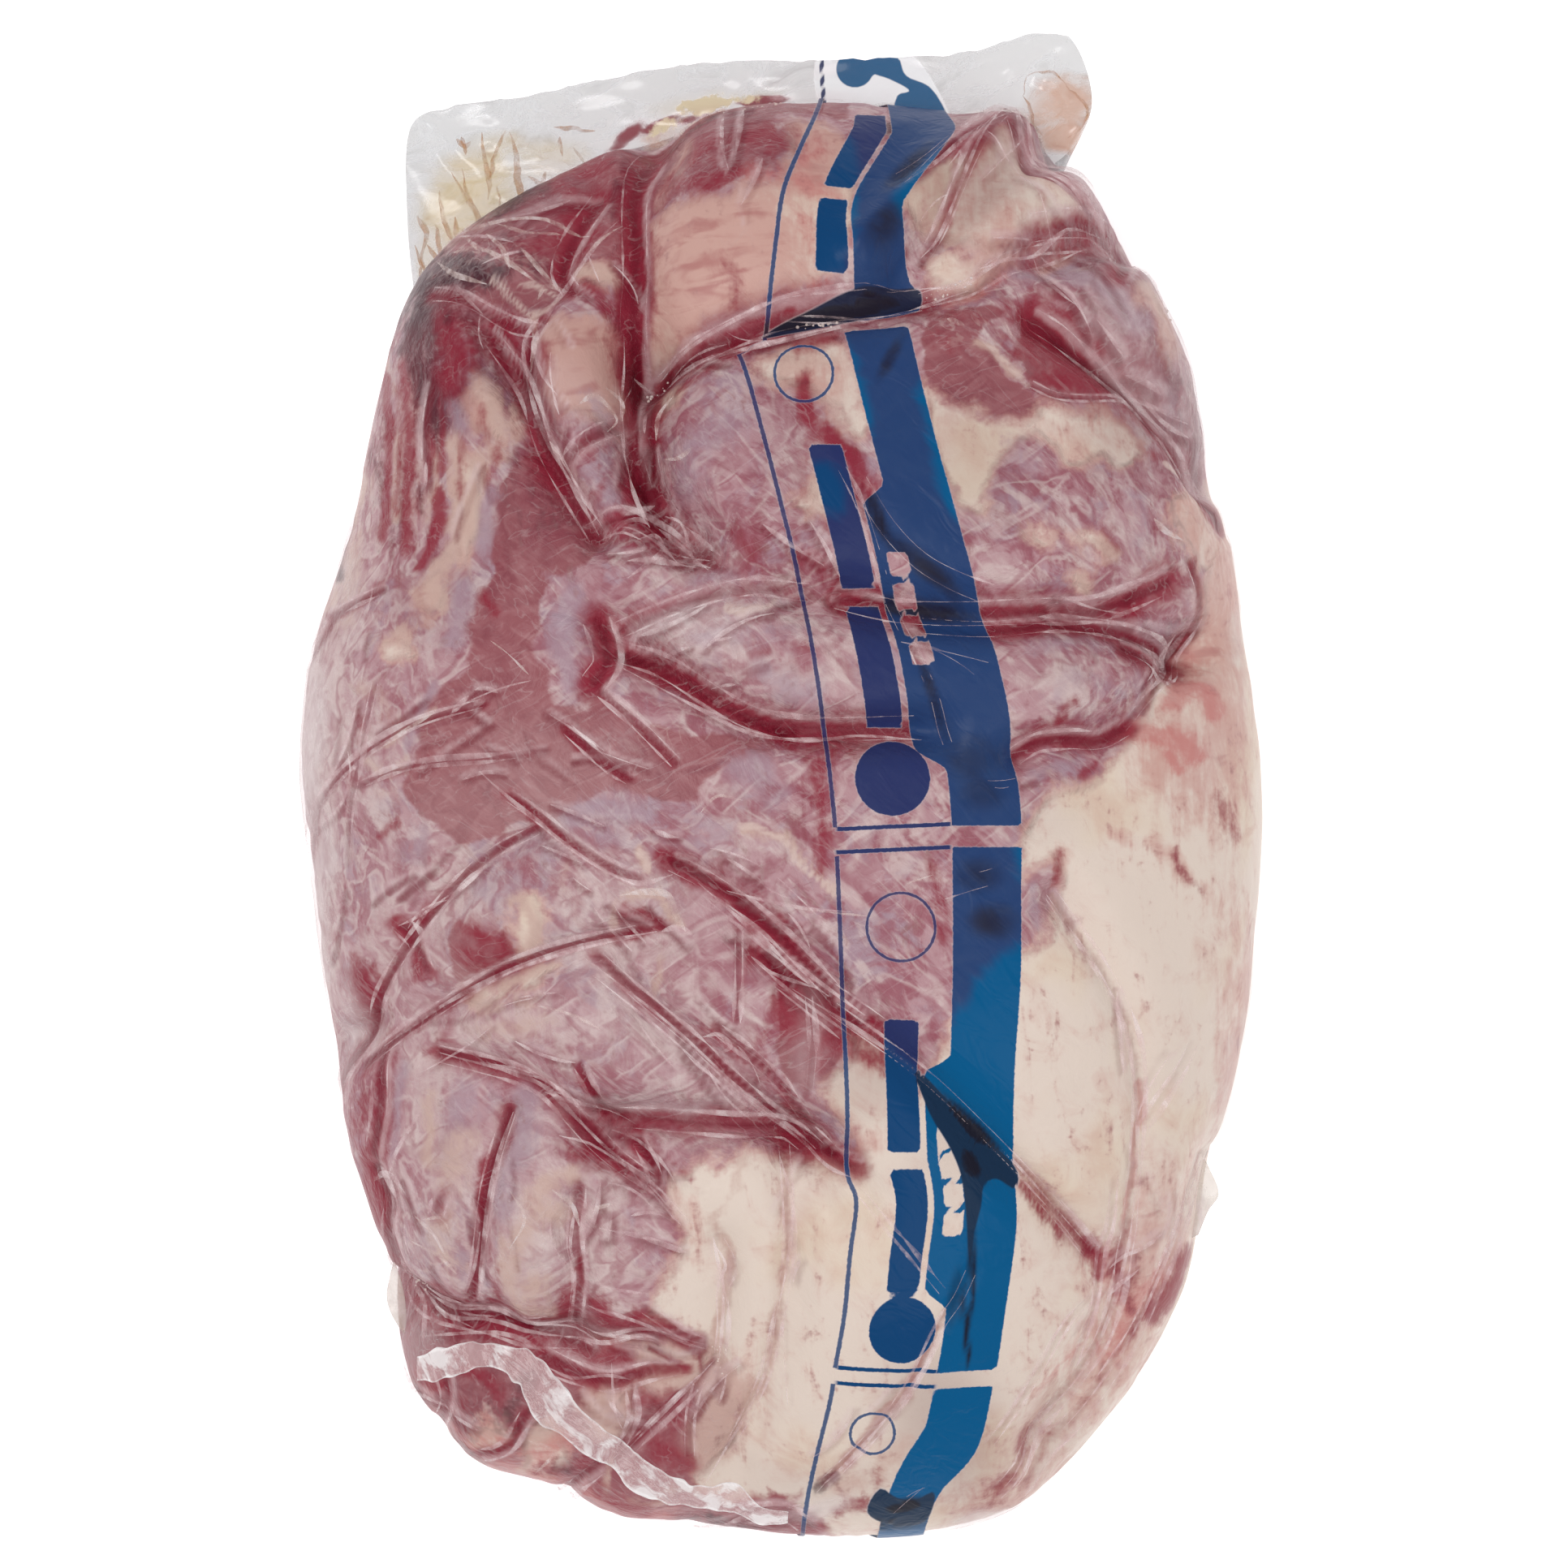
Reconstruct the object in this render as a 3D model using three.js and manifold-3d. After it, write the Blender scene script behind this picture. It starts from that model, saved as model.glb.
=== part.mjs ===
// A whole beef sirloin tip in a clear shrink bag, lying on its flatter side.
// Millimetres, +Z up. Seen from above, +Y points to the factory-sealed end of the bag
// and +X to the fat-covered side. The origin is on the floor, under the middle of the whole.
import * as THREE from "three";
import { mergeVertices } from "three/addons/utils/BufferGeometryUtils.js";
import Module from "manifold-3d";

// Driving dimensions of the packed meat
const HEIGHT = 104; // top of the dome, before its muscles and hollows
const WIDEST_Z = 36; // where the side wall bulges furthest out
const UNDERCUT = 21; // how far the flat underside stays inside the outline
const CENTRE = new THREE.Vector2(0, -9);
const DOME_PLAN_POWER = 2.3; // superellipse powers of the dome's section
const DOME_RISE_POWER = 2.1;
const MEAN_RADIUS = 140;
const BALL_DETAIL = 22; // the skin has 20 * (BALL_DETAIL + 1)^2 triangles
const UNDERSIDE_WEIGHT = 0.12; // share of the mesh density that the underside gets
const FLOOR_FADE = [3, 16]; // heights between which the relief dies out towards the floor

// The widest outline, seen from above, anticlockwise from the sealed end
const OUTLINE = [
  [7, 168], [-33, 160], [-65, 145], [-87, 125], [-99, 97], [-106, 65], [-116, 29], [-118, 3],
  [-115, -37], [-108, -73], [-98, -112], [-97, -132], [-90, -154], [-74, -167], [-41, -178],
  [0, -185], [33, -185], [59, -177], [82, -156], [98, -128], [106, -90], [115, -45], [118, 0],
  [113, 43], [105, 81], [97, 111], [83, 137], [63, 157], [36, 166],
];

// Muscles that stand proud: centre, radius and height
const MUSCLES = [
  { name: "round end of the thigh muscle", at: [68, 58], radius: 30, rise: 8 },
  { name: "muscle below the waist", at: [68, 24], radius: 15, rise: 4 },
  { name: "top middle", at: [-8, 136], radius: 24, rise: 7 },
  { name: "top corner", at: [54, 143], radius: 17, rise: 6 },
  { name: "left shoulder", at: [-72, 110], radius: 24, rise: 6 },
  { name: "shoulder knuckle", at: [-52, 104], radius: 11, rise: 4 },
  { name: "left flank", at: [-78, 22], radius: 36, rise: 5 },
  { name: "middle pad", at: [2, 66], radius: 22, rise: 5 },
  { name: "centre pad", at: [-12, 32], radius: 20, rise: 4 },
  { name: "heart", at: [-20, -8], radius: 32, rise: 5 },
  { name: "fat cap", at: [68, -58], radius: 42, rise: 8 },
  { name: "left lower pad", at: [-84, -98], radius: 17, rise: 5 },
  { name: "lower pad", at: [-60, -112], radius: 18, rise: 5 },
  { name: "fat fold pad", at: [18, -128], radius: 30, rise: 6 },
  { name: "foot of the tip", at: [-70, -156], radius: 13, rise: 7 },
  { name: "end pad", at: [-38, -170], radius: 14, rise: 4 },
];

// Hollows and folds: a path on the skin, half width and depth, where a negative depth is a ridge
const FOLDS = [
  { name: "waist", path: [[3, 46], [47, 41], [73, 40], [102, 34]], width: 7, depth: 7 },
  { name: "under the waist", path: [[58, 8], [75, 12], [91, 21], [102, 33]], width: 6, depth: 5 },
  { name: "heart fold", path: [[-40, 37], [-21, 23], [-1, 14], [36, 13]], width: 6, depth: 6 },
  { name: "heart upper fold", path: [[-44, 41], [-22, 46], [0, 50]], width: 6, depth: 3 },
  { name: "knot", path: [[-35, 106], [-38, 89], [-33, 73], [-23, 60]], width: 8.5, depth: 12 },
  { name: "knot arm", path: [[-71, 116], [-61, 85], [-45, 61]], width: 6, depth: 6 },
  { name: "shoulder furrow", path: [[-31, 160], [-35, 134], [-36, 106]], width: 7.5, depth: 6 },
  { name: "shoulder slit", path: [[-46, 146], [-56, 124], [-66, 98]], width: 6, depth: 4 },
  { name: "top fold", path: [[-33, 103], [-12, 110], [28, 119], [66, 130], [86, 136]], width: 7, depth: 6 },
  { name: "neck ridge", path: [[20, 131], [40, 150], [60, 163]], width: 6, depth: -5 },
  { name: "neck hollow", path: [[29, 128], [48, 144], [66, 156]], width: 6, depth: 5 },
  { name: "right shoulder", path: [[62, 114], [76, 106], [92, 94], [104, 76]], width: 6, depth: 6 },
  { name: "right strap", path: [[78, 128], [92, 108], [101, 86]], width: 6, depth: -3 },
  { name: "left slash", path: [[-60, -9], [-74, -19], [-90, -36], [-107, -63]], width: 6, depth: 3 },
  { name: "left arc", path: [[-108, -65], [-80, -52], [-60, -44], [-25, -36]], width: 6, depth: 4.5 },
  { name: "long pleat", path: [[-24, -23], [12, -52], [32, -70], [58, -97], [76, -117]], width: 6, depth: 4.5 },
  { name: "short pleat", path: [[-43, -48], [-28, -59], [-7, -77], [18, -100]], width: 6, depth: 4 },
  { name: "red trough", path: [[-45, -83], [-30, -82], [-1, -85], [9, -88]], width: 7, depth: 7 },
  { name: "left curl", path: [[-85, -68], [-72, -69], [-58, -75], [-46, -86], [-32, -98]], width: 6.5, depth: 4 },
  { name: "lower left gutter", path: [[-69, -82], [-73, -97], [-75, -118], [-72, -130]], width: 6.5, depth: 4 },
  { name: "lower middle gutter", path: [[-49, -104], [-51, -120], [-53, -134]], width: 6, depth: 4 },
  { name: "gathered end", path: [[-98, -128], [-77, -136], [-60, -139], [-36, -142]], width: 8, depth: 7 },
  { name: "fat crease", path: [[1, -90], [2, -110], [-2, -140], [-12, -167]], width: 6, depth: 4 },
  { name: "fat corner", path: [[-15, -113], [-16, -141], [-28, -154], [-39, -163]], width: 6, depth: 4 },
  { name: "fat seam", path: [[66, -27], [80, -50], [87, -80], [83, -124], [63, -163]], width: 6, depth: 4.5 },
  { name: "right seam", path: [[104, -92], [99, -112], [88, -136], [66, -164]], width: 6, depth: 3 },
];

// The empty end of the bag beyond the meat: two films pressed flat, joined inside the meat's end
const SKIRT_ROOT = [[-74, 92], [-62, 112], [-42, 126], [-16, 137], [12, 141], [36, 137], [54, 127], [62, 116]];
const SKIRT_EDGE = [
  [-91, 118], [-93, 140], [-92, 163], [-88, 166], [-65, 170], [-23, 178], [9, 179], [45, 181],
  [64, 186], [71, 184], [76, 171], [73, 157],
];
const SKIRT_THICK = 1.8;
const SKIRT_Z = [39, 26.6]; // its height where it leaves the meat, and at its edge
const SKIRT_WAVE = 1.6;
const SKIRT_STEPS = [36, 4];

// The sealed mouth of the bag, cut off short and folded back over the meat
const SEAL_PATH = [[-90, -144], [-78, -140], [-63, -142], [-50, -152], [-38, -163], [-22, -171], [-8, -176]];
const SEAL_WIDTH = 9;
const SEAL_THICK = 2.6;
const SEAL_STEPS = [34, 2];

// Edges shorter than this, left where the parts meet, are closed up
const SLIVER = 0.01;

// A closed or open smooth curve through plan points
const curveThrough = (points, closed = false) =>
  new THREE.CatmullRomCurve3(points.map(([x, y]) => new THREE.Vector3(x, y, 0)), closed, "centripetal");

const smoothstep = (low, high, x) => THREE.MathUtils.smoothstep(x, low, high);

// Value of y at x in a table of increasing xs
function lookup(xs, ys, x) {
  let i = 1;
  while (i < xs.length - 1 && xs[i] < x) i++;
  const share = (x - xs[i - 1]) / (xs[i] - xs[i - 1]);
  return THREE.MathUtils.lerp(ys[i - 1], ys[i], THREE.MathUtils.clamp(share, 0, 1));
}

// Distance from the centre to the outline, for a direction
const outlineTable = curveThrough(OUTLINE, true)
  .getPoints(720)
  .map((p) => ({ angle: Math.atan2(p.y - CENTRE.y, p.x - CENTRE.x), radius: Math.hypot(p.x - CENTRE.x, p.y - CENTRE.y) }))
  .sort((a, b) => a.angle - b.angle);
const outlineAngles = outlineTable.map((row) => row.angle);
const outlineRadii = outlineTable.map((row) => row.radius);
const outlineRadius = (angle) => lookup(outlineAngles, outlineRadii, angle);

// The section from the top of the dome, over the widest line, to the middle of the underside.
// Each row holds the share of the radius, the inset, the height, and the outward slope.
function sectionRows(steps = 160) {
  const rows = [];
  for (let i = 0; i <= steps; i++) {
    const turn = (i / steps) * (Math.PI / 2);
    const share = Math.sin(turn) ** (2 / DOME_PLAN_POWER);
    const rise = Math.max(Math.cos(turn), 0) ** (2 / DOME_RISE_POWER);
    rows.push({ share, inset: 0, z: WIDEST_Z + (HEIGHT - WIDEST_Z) * rise });
  }
  for (let i = 1; i <= steps; i++) {
    const turn = (i / steps) * (Math.PI / 2);
    rows.push({ share: 1, inset: UNDERCUT * (1 - Math.cos(turn)), z: WIDEST_Z * (1 - Math.sin(turn)) });
  }
  for (let i = 1; i <= steps; i++) rows.push({ share: 1 - i / steps, inset: UNDERCUT, z: 0 });
  const radius = (row) => row.share * (MEAN_RADIUS - row.inset);
  let area = 0;
  let beyond = 0;
  rows.forEach((row, i) => {
    const before = rows[Math.max(i - 1, 0)];
    const after = rows[Math.min(i + 1, rows.length - 1)];
    const run = radius(after) - radius(before);
    const drop = after.z - before.z;
    const length = Math.hypot(run, drop);
    row.outward = -drop / length;
    row.upward = run / length;
    const step = Math.hypot(radius(row) - radius(before), row.z - before.z);
    const weight = row.share < 1 && row.inset > 0 ? UNDERSIDE_WEIGHT : 1;
    area += step * (radius(row) + radius(before)) * weight;
    beyond += row.inset > 0 ? step : 0;
    row.area = area;
    row.beyond = beyond;
  });
  return rows;
}
const section = sectionRows();
const sectionAreas = section.map((row) => row.area / section.at(-1).area);
const sectionColumns = Object.fromEntries(
  ["share", "inset", "z", "outward", "upward", "beyond"].map((key) => [key, section.map((row) => row[key])]),
);

// How far a plan point is from a fold's path
const foldLines = FOLDS.map(({ path, width, depth }) => ({
  points: curveThrough(path).getPoints(path.length * 6),
  width,
  depth,
}));
function distanceTo(points, x, y) {
  let least = Infinity;
  for (let i = 1; i < points.length; i++) {
    const a = points[i - 1];
    const b = points[i];
    const [dx, dy] = [b.x - a.x, b.y - a.y];
    const share = THREE.MathUtils.clamp(((x - a.x) * dx + (y - a.y) * dy) / (dx * dx + dy * dy), 0, 1);
    least = Math.min(least, Math.hypot(x - a.x - share * dx, y - a.y - share * dy));
  }
  return least;
}

// Rise of the skin over the plain dome at a plan point
function relief(x, y) {
  let rise = 0;
  for (const { at, radius, rise: height } of MUSCLES)
    rise += height * Math.exp(-((x - at[0]) ** 2 + (y - at[1]) ** 2) / radius ** 2);
  for (const { points, width, depth } of foldLines)
    rise -= depth * Math.exp(-((distanceTo(points, x, y) / width) ** 2));
  return rise;
}

// Height of the top skin over a plan point
function topHeight(x, y) {
  const [dx, dy] = [x - CENTRE.x, y - CENTRE.y];
  const share = Math.min(Math.hypot(dx, dy) / outlineRadius(Math.atan2(dy, dx)), 1);
  const rise = (1 - share ** DOME_PLAN_POWER) ** (1 / DOME_RISE_POWER);
  return WIDEST_Z + (HEIGHT - WIDEST_Z) * rise + relief(x, y) * Math.sqrt(1 - share ** 4);
}

// Turns a closed geometry into a solid that can be joined
const wasm = await Module();
wasm.setup();
function solidOf(geometry) {
  const bare = geometry.clone();
  bare.deleteAttribute("normal");
  bare.deleteAttribute("uv");
  const merged = mergeVertices(bare, 1e-4);
  return new wasm.Manifold(
    new wasm.Mesh({
      numProp: 3,
      vertProperties: merged.attributes.position.array,
      triVerts: new Uint32Array(merged.index.array),
    }),
  );
}

// The film drawn tight over the meat: a ball whose points are moved onto the section and the outline
function meatSkin() {
  const ball = new THREE.IcosahedronGeometry(1, BALL_DETAIL);
  const at = ball.attributes.position;
  const point = new THREE.Vector3();
  for (let i = 0; i < at.count; i++) {
    point.fromBufferAttribute(at, i).normalize();
    const angle = Math.atan2(point.y, point.x);
    const depth = (1 - point.z) / 2;
    const row = Object.fromEntries(
      Object.entries(sectionColumns).map(([key, column]) => [key, lookup(sectionAreas, column, depth)]),
    );
    const [cos, sin] = [Math.cos(angle), Math.sin(angle)];
    const edge = outlineRadius(angle);
    const radius = row.share * (edge - row.inset);
    const onSkin = row.inset > 0 ? edge + row.beyond : radius;
    const lift = relief(CENTRE.x + onSkin * cos, CENTRE.y + onSkin * sin) * smoothstep(...FLOOR_FADE, row.z);
    const out = radius + lift * row.outward;
    at.setXYZ(i, CENTRE.x + out * cos, CENTRE.y + out * sin, Math.max(row.z + lift * row.upward, 0));
  }
  return solidOf(ball);
}

// A thin slab over a grid: place(along, across) gives its middle, and thick its thickness
function slab([alongSteps, acrossSteps], thick, place) {
  const box = new THREE.BoxGeometry(1, 1, 1, alongSteps, acrossSteps, 1);
  const at = box.attributes.position;
  for (let i = 0; i < at.count; i++) {
    const middle = place(at.getX(i) + 0.5, at.getY(i) + 0.5);
    at.setXYZ(i, middle.x, middle.y, middle.z + at.getZ(i) * thick);
  }
  return solidOf(box);
}

// The empty end of the bag, rippled and drooping a little
function skirt() {
  const root = curveThrough(SKIRT_ROOT);
  const edge = curveThrough(SKIRT_EDGE);
  return slab(SKIRT_STEPS, SKIRT_THICK, (along, across) => {
    const middle = root.getPoint(1 - along).lerp(edge.getPoint(1 - along), across);
    const ripple = Math.sin(along * 34 + across * 2.5) + 0.6 * Math.sin(along * 71 - across * 4);
    middle.z = THREE.MathUtils.lerp(...SKIRT_Z, across) + SKIRT_WAVE * ripple * across;
    return middle;
  });
}

// The sealed mouth, a flat band that lies on the skin
function sealBand() {
  const path = curveThrough(SEAL_PATH);
  return slab(SEAL_STEPS, SEAL_THICK, (along, across) => {
    const middle = path.getPoint(along);
    const tangent = path.getTangent(along);
    const aside = (across - 0.5) * SEAL_WIDTH;
    const [x, y] = [middle.x - tangent.y * aside, middle.y + tangent.x * aside];
    return new THREE.Vector3(x, y, topHeight(x, y) + 0.3);
  });
}

// One solid as a named mesh
function meshOf(name, solid, material) {
  const { numProp, vertProperties, triVerts } = solid.getMesh();
  const positions = new Float32Array((vertProperties.length / numProp) * 3);
  for (let i = 0; i < positions.length / 3; i++)
    positions.set(vertProperties.subarray(i * numProp, i * numProp + 3), i * 3);
  const geometry = new THREE.BufferGeometry()
    .setAttribute("position", new THREE.BufferAttribute(positions, 3))
    .setIndex(new THREE.BufferAttribute(new Uint32Array(triVerts), 1));
  geometry.computeVertexNormals();
  const mesh = new THREE.Mesh(geometry, material);
  mesh.name = name;
  return mesh;
}

const baggedMeat = new THREE.MeshStandardMaterial({ color: 0xb8898c, roughness: 0.25, metalness: 0 });
const pack = new THREE.Group();
const whole = meatSkin().add(skirt()).add(sealBand()).asOriginal().simplify(SLIVER);
pack.add(meshOf("sealed_bag", whole, baggedMeat));

export default pack;
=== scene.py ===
"""A whole beef sirloin tip in a printed, clear shrink bag, seen from straight above.

The solid of the frame is replaced by the meat and by the film round it, both made from the same
outline, section, muscles and folds. Plan places are millimetres on the unrolled skin: the plan
itself over the dome, and further out by the length of the wall below the widest line.
"""
import math

import bmesh
import bpy
import mathutils
import numpy as np
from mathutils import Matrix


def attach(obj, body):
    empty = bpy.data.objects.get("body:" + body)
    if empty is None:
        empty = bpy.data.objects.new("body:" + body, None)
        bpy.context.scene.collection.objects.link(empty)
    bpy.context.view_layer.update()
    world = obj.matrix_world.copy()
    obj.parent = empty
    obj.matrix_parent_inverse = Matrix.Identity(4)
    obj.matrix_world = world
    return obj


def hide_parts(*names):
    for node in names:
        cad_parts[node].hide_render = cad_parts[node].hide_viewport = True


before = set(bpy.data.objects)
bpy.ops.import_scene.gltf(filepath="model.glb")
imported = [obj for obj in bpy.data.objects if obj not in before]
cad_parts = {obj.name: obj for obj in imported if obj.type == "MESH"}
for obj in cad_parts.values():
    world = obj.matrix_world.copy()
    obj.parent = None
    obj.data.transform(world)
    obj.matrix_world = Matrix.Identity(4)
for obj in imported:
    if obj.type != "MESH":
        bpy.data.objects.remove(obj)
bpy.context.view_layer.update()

NODE = "sealed_bag"
MM = 0.001

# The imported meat: the solid's own driving sizes, in millimetres, and the outline of its film
HEIGHT = 104
WIDEST_Z = 36
UNDERCUT = 21
CENTRE = np.array([0.0, -9.0])
DOME_PLAN_POWER = 2.3
DOME_RISE_POWER = 2.1
MEAN_RADIUS = 140
FLOOR_FADE = (3, 16)
OUTLINE = [
    (7, 168), (-33, 160), (-65, 145), (-87, 125), (-99, 97), (-106, 65), (-116, 29), (-118, 3), (-115, -37),
    (-110.4, -71), (-106.6, -90), (-99, -111), (-96.6, -132), (-91.2, -149), (-79, -159.4), (-61, -170),
    (-40, -178.4), (0, -185), (33, -185), (59, -177), (82, -155), (97, -129), (101, -117), (104.8, -92),
    (113.6, -45), (118, 0), (112, 43), (104, 81), (96, 110), (83, 137), (63, 157), (36, 166),
]

# Mesh density: points along a side of the dome's grid, rings down the wall, rings over the underside
# as shares of the way out, and steps along each part of the section; and the film's gap to the meat
DOME_GRID = 276
WALL_RINGS = 15
BASE_SHARES = (0.92, 0.7, 0.4)
FILM_GAP = 0.45
SECTION_STEPS = 160

# Muscles that stand proud: place, radius, height
MUSCLES = [
    ((68, 58), 30, 8), ((68, 24), 15, 4), ((-8, 136), 24, 7), ((54, 143), 17, 6), ((-72, 110), 24, 6),
    ((-52, 104), 11, 4), ((-78, 22), 36, 5), ((2, 66), 22, 5), ((-12, 32), 20, 4), ((-20, -8), 32, 5),
    ((68, -58), 42, 8), ((-84, -98), 17, 5), ((-60, -112), 18, 5), ((18, -128), 30, 6),
    ((-70, -156), 13, 7), ((-38, -170), 14, 4),
]

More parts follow.
